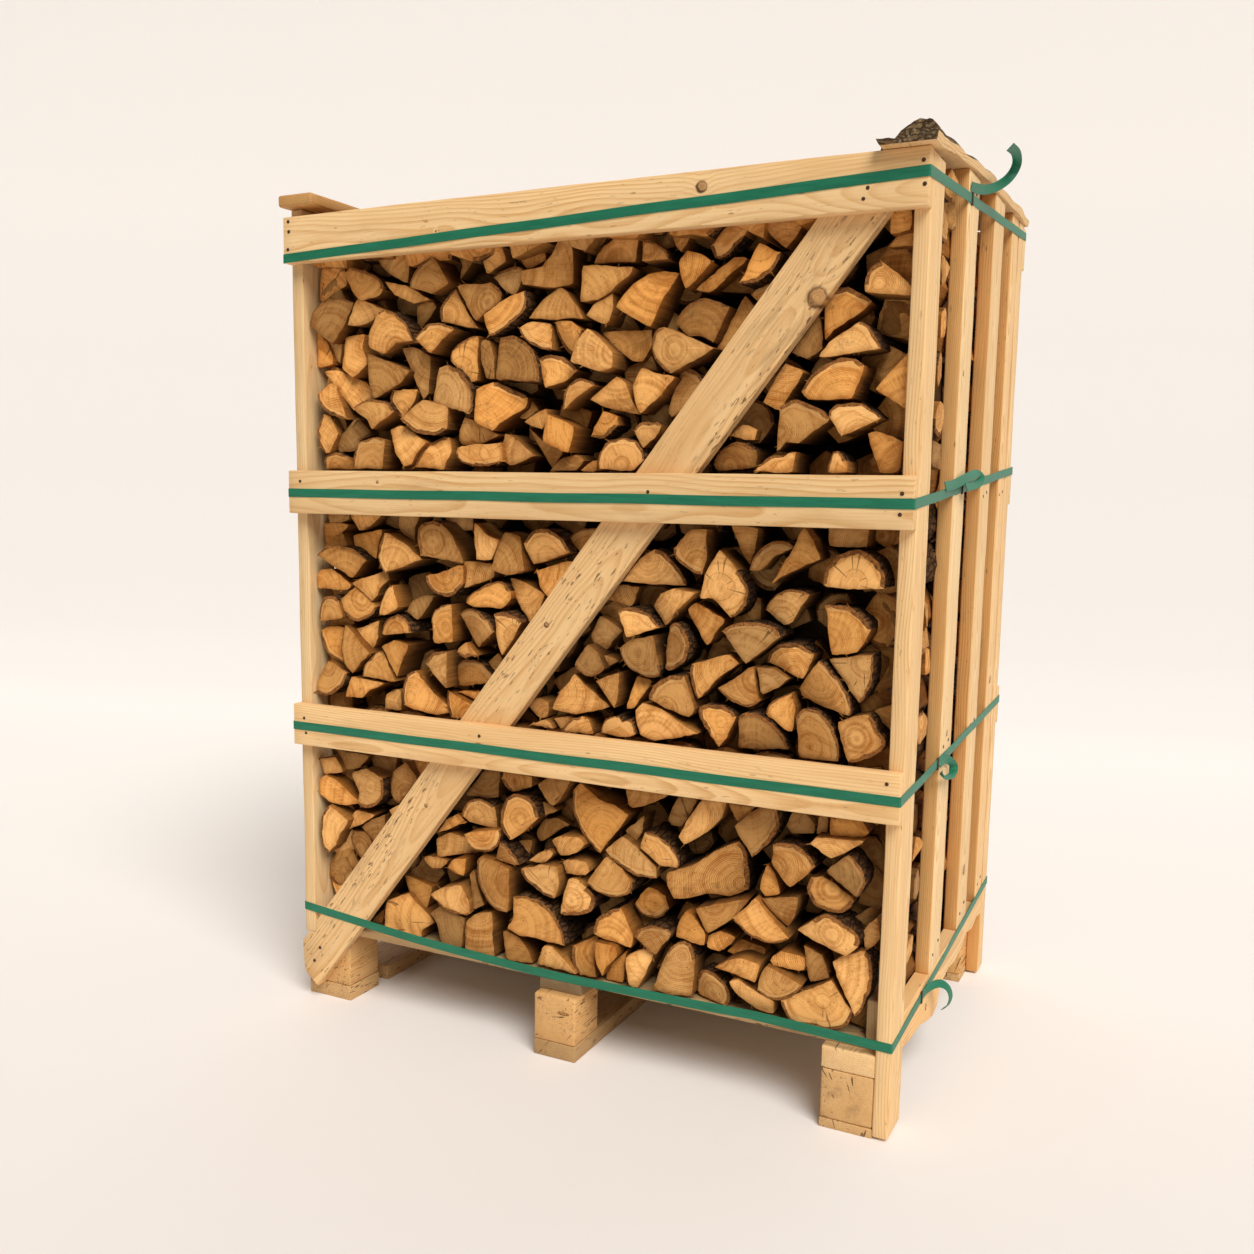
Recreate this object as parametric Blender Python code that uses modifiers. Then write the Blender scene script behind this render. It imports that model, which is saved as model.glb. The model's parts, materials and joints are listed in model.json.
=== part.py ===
# A crate of split firewood: a nailed pine frame on three feet, four green straps, and the logs stacked
# inside in three rows, one behind another, with their ends towards the front and the back.
# Lengths are in metres and +Z is up. The crate is laid out with x = 0 at its left side, y = 0 at the front
# face of the front rails and z = 0 on the floor, and an empty then brings its middle over the origin.

import math
import random

import bmesh
import bpy
from mathutils import Vector

WIDTH = 1.2
DEPTH = 0.876
CENTRE_X = 0.62105
CENTRE_Y = 0.42761
GAP = 0.0003

RAIL_THICK = 0.0217
RAIL_FRONT_HEIGHTS = {"top": (1.447, 1.530), "middle": (0.983, 1.064), "bottom": (0.531, 0.612)}
RAIL_BACK_HEIGHTS = {"top": (1.500, 1.582), "middle": (1.020, 1.100), "bottom": (0.550, 0.630)}

WALL_THICK = 0.026
POST_FRONT = (RAIL_THICK + GAP, 0.100)
POST_BACK = (0.800, DEPTH - RAIL_THICK - GAP)
SLATS_RIGHT = ((0.280, 0.371), (0.525, 0.620), (0.715, 0.790))
SLATS_LEFT = ((0.165, 0.255), (0.400, 0.492), (0.625, 0.712))
WALL_BOARD_TOP = 0.190
POST_LEFT_FOOT = 0.141
POST_RIGHT_FOOT = 0.005
LEFT_WALL_TOP = 1.5475

BRACE_THICK = 0.022
BRACE_FRONT_Y = (RAIL_THICK + GAP, RAIL_THICK + GAP + BRACE_THICK)
BRACE_BACK_Y = (POST_BACK[1] - BRACE_THICK, POST_BACK[1])
BRACE_SLOPE = 0.779
BRACE_LEFT_AT_FOOT = 0.0097
BRACE_FLAT_WIDTH = 0.110

DECK_Z = (0.141, 0.155)
DECK_Y = (0.0447, 0.8310)
DECK_BOARDS = 5
DECK_SPACING = 0.012
STRINGER_Z = (0.1200, 0.1407)
RUNNER_TOP = 0.030
SOLE_TOP = 0.016
FOOT_LEFT_X = (-0.010, 0.094)
FOOT_CENTRE_X = (0.538, 0.624)
FOOT_RIGHT_X = (1.085, 1.1737)
FOOT_FRONT_Y = 0.024
BLOCK_LENGTH = 0.092
LEFT_SECOND_Y = 0.390
RUNNER_LEFT_Y = 0.167

CAP_X = (-0.008, 0.071)
CAP_Y = (-0.004, 0.850)
CAP_THICK = 0.021
SLAB_Y = (-0.022, 0.868)
SLAB_STATIONS = 15
SLAB_BASE = 1.5305
SLAB_RISE = 0.060
SLAB_REACH = 0.300

STRAP_HEIGHT = 0.016
STRAP_THICK = 0.001
CORNER_ROUND = 0.0013

PILE_X = (0.0285, 1.1715)
PILE_Y = (0.0475, 0.8290)
ROW_SPACING = 0.004
TIER_SPLITS = (0.1556, 0.5700, 1.0300, 1.4300)
TIER_SPACING = 0.001
CORE_BEHIND_TIPS = 0.078
CORE_INSET = 0.030
LOG_SCALE = 0.975
SMALLEST_FRONT_LOG = 0.0020
SMALLEST_BACK_LOG = 0.0034
STRAIGHT_CORNER = 148.0

TABLE_SPAN = (-0.8, 117.2)

# Log ends of the front face, in centimetres: how far the end stands back, how many of its first corners run
# along bark, then its corners (across, up) in order round it.
UPPER_ENDS = (
    (3, 0, 3, 145.5, 2, 141.5, 2.2, 138.6, 3, 138.2, 10.4, 141, 8.5, 145.5),
    (1, 4, 11, 144, 15, 143, 18, 141.2, 18.5, 139.8, 17.5, 138.7, 13.5, 137.9, 11.8, 139.2, 9.2, 143.2),
    (3, 0, 16, 145.5, 25, 145.5, 24.8, 140.4, 19, 142.7),
    (2, 0, 19, 141.2, 24, 140.1, 30, 137.2, 26, 136.6, 21.5, 138.5),
    (0, 4, 25, 139.6, 25.2, 141.3, 27, 143.4, 29.7, 144.8, 30.8, 144.4, 33.8, 139.8, 30, 138.2),
    (5, 0, 35.5, 145.3, 39, 143.3, 36.1, 140.2, 36.8, 142.5),
    (0, 4, -0.8, 134, 1.2, 137, 5.5, 138.6, 10.8, 138, 10.2, 136.6, 5.7, 130.2),
    (1, 0, 12.3, 138.4, 18.2, 136.2, 15, 134, 12, 133.2, 9.9, 133.4),
    (0, 5, 25.7, 130.2, 24.3, 132.8, 21.8, 135, 19.3, 136, 17.8, 135.6, 15, 131.5, 15.2, 129.2,
     18.6, 127.9, 21.6, 129.8),
    (3, 0, 25.6, 132.2, 26.8, 136.4, 30.6, 137, 31.2, 135.8, 28.5, 133.6),
    (1, 4, 32.1, 133.2, 31.8, 135.8, 32.8, 138, 34, 139.2, 39.8, 131.6),
    (1, 3, 42.5, 139.4, 44.3, 138.4, 45.1, 136.4, 41.2, 134, 39.6, 132.8, 35.2, 139.4),
    (2, 0, -0.8, 133, 1, 132.7, 4.6, 130.8, 6.3, 128, 6.2, 126.4, -0.8, 126),
    (1, 0, 7.2, 131.9, 14, 132, 13.5, 129.6, 14.8, 127.5, 14.7, 126.3, 11.3, 123.6, 8.1, 125.7),
    (1, 0, 14.9, 128.4, 25.2, 124.8, 22.5, 122.4, 16.5, 119.7, 15.4, 122.5),
    (3, 0, 23.1, 129, 26, 128.9, 29.8, 127.3, 29.2, 120.5, 27.9, 119.3),
    (0, 4, 26.2, 130.5, 28.8, 132.6, 31.2, 133, 35, 131.9, 32, 130.2, 29.4, 127.5),
    (1, 4, 34.2, 126.3, 34.5, 128, 37.2, 129.8, 39.8, 130.6, 39.9, 127, 39.7, 122.6, 38.3, 122.4),
    (0, 4, 0.5, 121.3, 2.3, 119.3, 5, 117.5, 9.7, 116.1, 8, 119.8, 5.6, 123.4, 4.7, 123.4),
    (1, 0, 3.6, 125.3, 7.4, 125.4, 12.3, 123.2, 15.4, 120.8, 10.6, 117.6, 5.7, 123.4),
    (0, 4, 11.3, 118.3, 14.5, 119.6, 18.5, 119.4, 21.3, 117.6, 15.8, 114.1, 14.7, 116.2),
    (2, 4, 23, 116.3, 21.3, 118, 20.4, 120, 21, 121.4, 26.7, 121.6, 26, 119.2),
    (0, 5, 32.6, 114.2, 30, 113.2, 27, 113.5, 24, 115, 22.7, 116.1, 27.3, 119.7, 30, 119, 33, 118.5),
    (0, 5, 32.5, 125.6, 36, 124.5, 38, 122, 38.8, 119.5, 38.2, 116.6, 29, 119.2, 30.1, 125.5),
    (1, 4, 3.8, 109.7, 1.8, 111.8, 1.3, 114.3, 2.9, 117.5, 5.2, 116.7, 7.2, 113.5, 5, 110),
    (2, 0, 6.8, 112.5, 12.2, 116.6, 15, 113.3, 12.5, 112.4, 11.6, 110.3, 7.1, 110),
    (1, 4, 3.3, 106.8, 3.8, 109, 6.5, 109.9, 9, 109.3, 11.2, 106.8),
    (0, 4, 11.1, 106.9, 11.9, 110.8, 14.2, 112.4, 18.9, 112.5, 18.3, 106.8),
    (0, 0, 18, 114.5, 21, 115, 25, 113.7, 28.9, 111.8, 26.4, 109.8, 25.3, 107.8, 23.3, 107.2),
    (1, 4, 26, 107.3, 27.6, 110.3, 30, 112.2, 32.3, 112.8, 33.8, 110.3, 32.6, 106.8),
    (2, 0, 34.8, 112.2, 37, 116.3, 40, 115.3, 44.6, 112.9, 39.5, 111.2, 35.5, 111.4),
    (0, 4, 45.2, 108.3, 41, 107.6, 37, 108, 34.8, 109.8, 35.5, 110.9, 45, 111.8),
    (2, 0, 40.1, 145.5, 41.5, 140.9, 42.8, 141, 45.9, 142.8, 45, 145.5),
    (3, 0, 47, 145.5, 50, 141.2, 53.8, 142.4, 53.4, 145.5),
    (1, 3, 42.4, 140.5, 44.5, 141.5, 48.2, 141.8, 49.3, 140.8, 47.6, 137, 46, 137.8),
    (1, 0, 48.8, 141, 53.2, 141.5, 55.2, 143.4, 56.2, 145.5, 59.1, 145.5, 58.4, 138.6, 55, 137.8, 49, 138.7),
    (3, 0, 60.5, 145.5, 61, 143.3, 64.5, 144, 66, 145.5),
    (2, 0, 62.6, 141.3, 64.8, 144.2, 67.5, 145.5, 71.6, 145.5, 71, 140.8, 67.5, 141.4),
    (1, 4, 72.2, 144.3, 74.5, 143.6, 76.3, 142.3, 77, 141.1, 72, 140.9),
    (3, 0, 77, 145.5, 81.2, 145.5, 79.2, 141.9),
    (0, 5, 49.8, 137.8, 49.7, 134.8, 47.5, 132.8, 44.5, 131, 42.4, 130.3, 41, 134, 45.2, 136.4),
    (1, 0, 50, 132.9, 52.6, 136.4, 55.6, 138.3, 57.6, 137, 60, 134.6, 61.5, 132.2),
    (0, 0, 60.9, 141.2, 70.4, 140.2, 69.8, 138.9, 66.5, 136.6, 63.5, 135.2, 60, 135.4),
    (1, 0, 61.5, 132.9, 63, 134.4, 66.9, 136.4, 67, 134.2, 65.6, 131.1),
    (0, 0, 67, 134, 69.8, 137, 72.8, 139.2, 75.5, 139.7, 78.4, 139.3, 76, 134.5, 73.8, 130.4),
    (0, 0, 78.4, 140.5, 80, 142.4, 83.2, 141.3, 85, 140.1, 79.4, 136.2),
    (0, 4, 48.4, 131.4, 50, 129.4, 52.2, 128, 54.9, 127.5, 54.4, 132.2, 51, 132.4),
    (1, 4, 55.2, 132.2, 55.3, 130.3, 57, 127.6, 59.3, 126.2, 60.2, 129, 61.2, 130.6, 59, 132),
    (-1, 0, 58.7, 125.3, 60, 129, 62, 131, 67, 126.7, 66.9, 124, 64.5, 123.5),
    (3, 0, 64.8, 129.9, 74, 130.2, 73.6, 127.2, 72.2, 125, 70.4, 125, 67.5, 127),
    (0, 5, 77.5, 122.9, 75.3, 124.5, 74.3, 127, 74.8, 129.5, 76.3, 130.4, 79.5, 129.3, 85.4, 126.6, 80, 124),
    (1, 4, 52.3, 126, 54.5, 126.6, 57.8, 125.6, 60, 123.9, 58.2, 122.3, 53.8, 120.8),
    (0, 0, 40.4, 129.7, 42.4, 129.7, 43.3, 126.5, 43.2, 122.8, 41.2, 123, 40.1, 126.5),
    (0, 5, 44, 130.2, 47.5, 130, 50.8, 127.8, 52.3, 125, 52.6, 122, 43.4, 122.8, 43.7, 126.5),
    (0, 3, 42.5, 122.4, 46.2, 120.9, 48.4, 119.8, 48.2, 117.8, 45, 115.7, 43, 113.5, 39.1, 115.6,
     39.3, 121.2),
    (4, 0, 48.5, 119.6, 50.3, 119.8, 52.5, 117.2, 50, 115.7, 48.4, 116),
    (1, 0, 49.3, 115.2, 52.3, 117, 54, 117.7, 54.4, 116, 53.4, 113.7),
    (0, 5, 57.3, 117.1, 57.4, 119.8, 59.2, 121.8, 61.5, 122.3, 63.8, 121.3, 60, 119.3),
    (1, 0, 62.2, 118.9, 67.7, 122.7, 69.5, 121.5, 72.1, 116, 66, 117.4),
    (0, 0, 70.3, 121, 71.8, 124, 74.8, 123.2, 78.6, 122.2, 75.5, 119, 72.3, 116.2, 71, 118.5),
    (1, 3, 79.8, 123.8, 82, 123, 84.5, 120.9, 83, 118.5, 78, 115.4, 77.2, 116.3, 79, 121.5),
    (0, 0, 54.2, 116.8, 60, 114.3, 58.7, 109.7, 53.2, 111.8),
    (3, 0, 50.4, 114.4, 53.2, 112, 57.8, 110.2, 55.3, 107.2),
    (1, 0, 45.2, 110, 45.5, 113.4, 47.2, 112.7, 52.4, 109.3, 46.8, 107.6, 45.4, 108.6),
    (2, 0, 54.8, 106.8, 57.2, 109, 59.8, 109.8, 61.7, 108.6, 60, 106.8),
    (3, 0, 60.6, 106.8, 62.8, 108.2, 64.3, 108.7, 64.2, 106.8),
    (0, 6, 64.5, 107, 64.8, 110, 66.5, 111.8, 69.5, 112.3, 72, 111.2, 73, 108.7, 71.2, 106.8),
    (1, 3, 68.2, 114.6, 65.5, 112.6, 62.8, 112.7, 65.2, 117.1, 68.3, 116.1),
    (0, 3, 71, 113.7, 72, 114.8, 76.4, 114.7, 75, 112.2, 72.9, 110.5),
    (2, 4, 90, 143.8, 87.5, 141.3, 85.2, 140.6, 84.4, 142.5, 87, 145.5, 90.8, 145.5),
    (2, 0, 93, 145.5, 95, 143, 97, 141.2, 98.5, 142.8, 100, 145.5),
    (3, 0, 113, 140.2, 115, 142, 117.2, 144.3, 117.2, 140.2),
    (1, 0, 114.2, 145.5, 114.8, 143.2, 117.2, 144.9, 117.2, 145.5),
    (3, 0, 81.6, 135.9, 85, 138.2, 88.5, 140.6, 90.8, 140.3, 88, 138, 84.2, 135.2),
    (0, 4, 96, 140.8, 95, 138.5, 92.5, 136.7, 89.2, 136.3, 92.5, 142.6),
    (2, 3, 91.2, 134.7, 94, 136, 98, 137, 99, 134, 93.8, 132.4),
    (1, 4, 77.4, 131, 79.5, 133.6, 83, 134.5, 87.8, 133, 85.3, 127.1, 82.8, 128.7, 80.8, 128.5),
    (2, 0, 85.6, 126.2, 90.2, 134.7, 93.5, 131.5, 91, 126),
    (0, 3, 104.5, 134.4, 107, 134.9, 110.8, 132.6, 109, 130.7, 106, 128.9, 103.8, 127, 103.3, 132),
    (1, 3, 109.8, 135, 110.5, 137.4, 112.2, 138.3, 115.5, 135.8, 117.2, 134.4, 116.9, 133, 109.6, 133.8),
    (0, 3, 109.2, 129.8, 111.2, 128, 112.7, 125.5, 102.7, 124.5, 105, 127.4),
    (2, 0, 98, 125.4, 102.8, 131, 103.6, 127.5, 103.6, 125.8, 100.8, 124.2),
    (1, 0, 111.7, 119.5, 117.2, 125, 117.2, 116.3),
    (3, 0, 84, 123, 88, 124.8, 86, 121.8),
    (1, 0, 93.6, 117.8, 97.5, 124, 100.6, 122.4, 96.8, 116.4),
    (0, 5, 99.9, 119.5, 101.5, 121.7, 104.3, 123.5, 107.3, 124.2, 110.3, 123.2, 108.5, 118.1, 101, 118),
    (0, 4, 96.7, 117, 98.8, 118, 102.3, 117, 105.3, 115.2, 100, 111.3, 97.8, 111.6, 96.3, 110),
    (0, 5, 105, 115.5, 105.4, 116.9, 108.5, 117.4, 111, 116.7, 113.2, 115.1, 107, 112.3),
    (1, 0, 111.1, 112.9, 112.5, 113.3, 116.8, 111.6, 116.4, 107.5, 115.3, 106.8, 113.2, 106.8),
    (2, 0, 88.4, 112.6, 90.6, 114.6, 93.3, 113.6, 92.9, 111.8),
    (1, 4, 85.6, 108, 87.4, 110.6, 90.3, 111.6, 93, 110.3, 93, 107.6, 86.5, 107),
    (0, 3, 92.6, 106.8, 95.5, 109, 99.6, 110, 99.2, 106.8),
    (0, 4, 104.9, 106.8, 105.5, 109.2, 106.5, 110.2, 107.8, 108.6, 108.3, 106.8),
)
MIDDLE_ENDS = (
    (3, 0, 1.6, 94, 2.2, 96.7, 9.7, 96.3, 6.5, 94, 3.2, 91.9),
    (4, 0, 10, 98.5, 12.3, 95.1, 15, 96, 18, 98.5),
    (4, 0, 10.6, 94.2, 17.8, 95.7, 16.9, 93, 16.5, 89.8, 14, 91.2, 11, 91.9),
    (2, 0, 21.5, 95.4, 22.3, 98.5, 27.3, 98.5, 25.7, 96, 24.7, 93.3),
    (0, 5, 27.2, 91, 26.6, 93, 26.8, 96, 29, 97.3, 31.5, 97.1, 34, 95, 36.4, 89.7),
    (5, 0, 32.5, 98.5, 33.4, 97, 36, 95.8, 38.8, 95.9, 39, 98.5),
    (-1, 0, 39.2, 97.4, 42, 95.2, 44.3, 94.4, 42.6, 90.7, 39.3, 90.5),
    (0, 5, 0.6, 90.1, 3, 91.4, 6, 92, 9.5, 91.4, 12.2, 89.4, 9.9, 85.9, 5, 88.2),
    (1, 0, -0.8, 86.3, 1, 87.2, 5, 87.7, 7.5, 86.5, 10.5, 84.6, 9.5, 83.6, -0.8, 83.5),
    (0, 4, 18.7, 87.4, 17.5, 89.5, 17.6, 92.5, 18.6, 94.9, 19.5, 95, 23.8, 92.8, 27.5, 90.2),
    (1, 0, 10.4, 85.1, 17.8, 87.7, 18.8, 86, 17, 84.3, 16.7, 83, 15.4, 81.8),
    (0, 6, 16.5, 80.8, 14.8, 79, 12, 77.9, 9.5, 78.4, 7.3, 80.2, 6.8, 81.3, 10.8, 84.6),
    (0, 5, 0.1, 76.9, 0.8, 79.6, 2.6, 81.8, 5, 82.3, 6.8, 81.4, 8, 78.2),
    (0, 4, 16.6, 79.2, 16.8, 81.5, 18.2, 83.9, 20.2, 85.2, 21.8, 80.9, 18.5, 79.3),
    (2, 0, 23.8, 80.3, 25.3, 82.5, 28, 83.7, 30.3, 83.8, 28.8, 81.5, 26.3, 78.7),
    (0, 6, 17, 75.4, 18.2, 77.7, 20.3, 79.2, 22.5, 79.3, 24.2, 78, 25, 76.2),
    (0, 6, 28.2, 87.2, 28.9, 85.3, 30.5, 84, 32.5, 83.6, 34.8, 84.3, 36.6, 86, 36.7, 89.5),
    (1, 0, 36.8, 85.1, 36.8, 90.4, 43, 90.2, 43.1, 87.7),
    (1, 4, 29.3, 78, 29.2, 79.5, 31, 81.5, 34, 82.3, 34.4, 75, 29.7, 74.6),
    (0, 5, 34.8, 80.4, 37, 81.3, 40, 81, 42.3, 79.5, 43.5, 77.7, 38.9, 74.2),
    (1, 5, 37, 82.7, 39, 84.7, 42, 86.2, 45, 86.8, 47, 85.3, 47.2, 84, 45, 82, 39, 81.9),
    (2, 4, 7, 68.9, 4, 70.2, 1.8, 72.3, 0.6, 75.4, 3, 76.2, 7.7, 76.4, 7.2, 72),
    (0, 5, 9.4, 67.1, 7.8, 69, 7.3, 72, 7.7, 75, 8.3, 76.8, 12.7, 73.6, 15, 71.5, 12, 69.6),
    (2, 0, 10, 76.2, 13, 76.8, 17.1, 78.3, 16.6, 75.8, 17, 74.8, 15.1, 72.3),
    (1, 0, 17.6, 73.2, 20.5, 74.6, 24, 74, 22.7, 71.5, 21.3, 67.2),
    (0, 4, 12.4, 66.9, 13.1, 69, 14.9, 71.2, 17, 72.3, 21.1, 66.5),
    (0, 5, 8.8, 67.4, 7.5, 65, 5.2, 63.1, 2.5, 62.4, -0.8, 62.9, -0.8, 65, 2.8, 69.6),
    (0, 0, 8.9, 66.6, 18.3, 66, 14.3, 64.3, 12.5, 62.6, 7.2, 62.2),
    (1, 0, 18.2, 61, 18.3, 64, 21, 65.3, 22, 63, 22, 61),
    (0, 4, 22.6, 62.2, 22.6, 65.5, 23.6, 68, 25.4, 69.2, 29.6, 64.2, 33, 61.3, 29, 60.8),
    (0, 3, 27.6, 70.6, 29.4, 72.6, 32.7, 73.3, 33, 66.1),
    (1, 3, 35.2, 73.3, 37, 72.6, 40.2, 73, 38.5, 74.2, 37.3, 75.5, 35.4, 74.2),
    (1, 4, 35, 70.8, 37.5, 72, 40.5, 71.6, 44.4, 68.2, 35.1, 67),
    (1, 0, 34.9, 65.8, 37, 66.3, 42.5, 66.3, 41, 64.2),
    (0, 3, 33.6, 60.8, 32.4, 63.5, 32.1, 65.8, 39.7, 63.6, 36.8, 60.8),
    (0, 0, 44.8, 96, 48.3, 95.3, 50, 88.9, 46, 88.2, 42.7, 88.8),
    (0, 5, 49.2, 94, 51.2, 96, 54, 96.6, 57, 95.4, 59.1, 92.7, 50.3, 89.9),
    (1, 3, 58.5, 95.1, 61, 96.6, 66.5, 97, 62, 91.8),
    (1, 0, 46.5, 87.8, 49.5, 87.3, 54.2, 85.1, 52.6, 82, 51.3, 79.4, 48.2, 83.4),
    (0, 0, 52, 89.3, 59, 91.3, 61.2, 90.3, 57.5, 85, 55, 84.1, 53, 86.3),
    (0, 3, 43.5, 81, 46, 81.4, 49.3, 79.8, 44.7, 73.1, 43.8, 76),
    (3, 0, 41.8, 71.7, 44.2, 73.9, 45.4, 72.5, 45, 70.3, 43.6, 69.4),
    (0, 4, 75.2, 94, 77.5, 92.8, 79.5, 90.3, 80.6, 87.8, 69, 88, 72.5, 92.2),
    (3, 0, 66, 84.7, 69, 87.6, 73, 87.5, 71.4, 83.9),
    (0, 4, 68.6, 82.9, 70, 83.6, 73.2, 83.2, 76.6, 80.5, 70.3, 78.3, 69.8, 80.3),
    (0, 0, 74, 83.9, 76.2, 86.3, 79, 87.4, 83.3, 86.9, 81, 84.7, 76.7, 80.7),
    (2, 0, 63.2, 78.2, 65, 81.9, 69.9, 79.7, 66, 75.7, 64.8, 75.7),
    (0, 4, 66, 72.6, 64.3, 71.4, 62.4, 71.1, 60.1, 72.9, 62.9, 76.8, 64.8, 75.4),
    (2, 0, 65, 75.4, 67.3, 75, 68.7, 74.1, 66.4, 72.7),
    (0, 6, 68.8, 76.5, 69.6, 74.5, 71.5, 72.8, 74, 72, 76.3, 72.2, 76.8, 74, 75.4, 79.2, 71, 78.1),
    (0, 7, 78.3, 81, 79.6, 81.7, 81.3, 80.2, 82.2, 77.8, 81.3, 75.3, 79, 73.4, 77.5, 73.6, 77.8,
     76.5, 77.7, 79),
    (1, 0, 55.3, 64.4, 57.4, 67.9, 60.3, 71.6, 62.3, 69.5, 67.4, 66, 60.5, 63.8),
    (0, 0, 64.1, 70.4, 69.3, 72.5, 69, 68, 68.3, 65.6, 66.3, 68.4),
    (1, 0, 70.6, 65.9, 71.9, 71.9, 74.9, 71.1, 72.2, 66.2),
    (2, 0, 50.6, 64.6, 52.5, 66.3, 55, 65.8, 54.9, 62.9, 53.4, 62.7),
    (1, 0, 50.8, 61.2, 54.3, 62.6, 55.6, 62, 56.1, 60.8),
    (2, 0, 55.8, 62.9, 60, 63.6, 57.5, 60.8),
    (1, 3, 57.7, 60.8, 59.3, 62.7, 61.8, 63.8, 63, 63.3, 64, 60.8),
    (0, 6, 65, 61, 66.2, 63.4, 69, 64.5, 69.8, 63.4, 71.5, 64.2, 72.6, 61.8, 70.5, 60.9),
    (0, 4, 74.6, 68.1, 75.8, 70.3, 78, 72.2, 81.4, 72.8, 83.3, 67, 82.2, 65.5, 78.5, 66.5),
    (0, 0, 72.2, 66, 73.2, 67.5, 77, 66.4, 84.3, 62.8, 76, 60.8, 73, 61.5),
    (1, 4, 84, 89.8, 81, 91, 79.5, 92.3, 78.8, 94, 82, 97.4, 85, 97.6, 84.9, 93.5),
    (0, 5, 90.3, 91, 91.8, 88.5, 91.8, 86, 90.8, 84, 89.2, 82.9, 86, 86, 83.7, 85.8, 84.6, 90, 87.2, 94.3),
    (2, 0, 89, 98.3, 90.5, 94.5, 91.9, 91.5, 93, 94, 94, 97.8),
    (0, 5, 92.5, 91, 93.6, 93.6, 95.7, 95.4, 98, 95.9, 100, 95.1, 96.5, 93.3, 94.6, 90.9),
    (1, 0, 96.1, 88.7, 98.5, 93, 101.6, 98.3, 103.3, 95.5, 104.6, 93.2, 100.5, 91.6),
    (2, 0, 105.1, 98.4, 105.4, 95.2, 111.9, 95.3, 112.2, 98.4),
    (0, 7, 104.6, 89, 105.5, 92, 107.8, 94.2, 110.5, 94.8, 113, 93.7, 114.5, 91.5, 115, 89, 109, 88.5),
    (0, 5, 105.2, 85.9, 107.5, 86, 110, 85.5, 112.5, 83.7, 113, 82.5, 111, 78.8, 106.7, 78),
    (2, 4, 95, 84.6, 96.5, 86.8, 99.5, 88.2, 103, 87.7, 101.5, 85.5, 100, 82.9, 98.5, 82.4),
    (0, 5, 87.8, 80.8, 90, 82, 93.5, 82.5, 97, 81.8, 98.2, 80.5, 92.4, 75.5),
    (2, 0, 81.6, 84.1, 83.2, 85.4, 88.6, 82.7, 85.5, 78),
    (1, 5, 95.3, 76, 96.3, 78, 98.5, 79.3, 101, 79.5, 103.8, 78, 104, 77.5, 102.2, 73.8, 98, 75.3),
    (0, 4, 104.8, 77.1, 107.5, 74.8, 110, 71.5, 110.3, 68.5, 105, 69.5, 101, 70.5, 100.6, 71.8),
    (0, 4, 113.5, 78.7, 113.5, 75.5, 112.8, 72.5, 111.6, 70.7, 106, 77.4),
    (0, 3, 83.6, 68.7, 82.4, 71.5, 82.3, 74.8, 89.5, 77, 91.3, 75.6, 87.5, 72.8),
    (0, 4, 94.9, 69.5, 92.8, 68.4, 90, 69.2, 87.3, 71, 93.7, 75.3),
    (1, 0, 94.1, 75.4, 97, 75.1, 100.1, 73.7, 95.3, 70.4),
    (1, 3, 96, 67.7, 97.3, 69.8, 100.3, 71.5, 101.1, 69, 100.8, 65, 99.5, 65.4),
    (0, 6, 101.2, 67.3, 102.5, 69, 104.8, 68.7, 107, 66.8, 108.5, 64, 108.6, 61, 102, 60.9),
    (0, 5, 113.3, 69.2, 114.6, 66.4, 115.9, 65, 114.3, 62.6, 110.3, 61, 109.2, 63.8, 108.2, 67.5),
    (1, 6, 86.5, 63, 84.8, 65, 84.2, 67.5, 86.5, 68.2, 89.5, 67.8, 91.2, 66.7, 88, 60.9),
    (0, 5, 91.4, 66.9, 93.5, 67.5, 96.5, 66.3, 98.5, 64, 99.5, 61.5, 91, 61, 91.6, 64),
    (4, 0, 113.8, 69.6, 117.2, 71.5, 117.2, 66),
)
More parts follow.
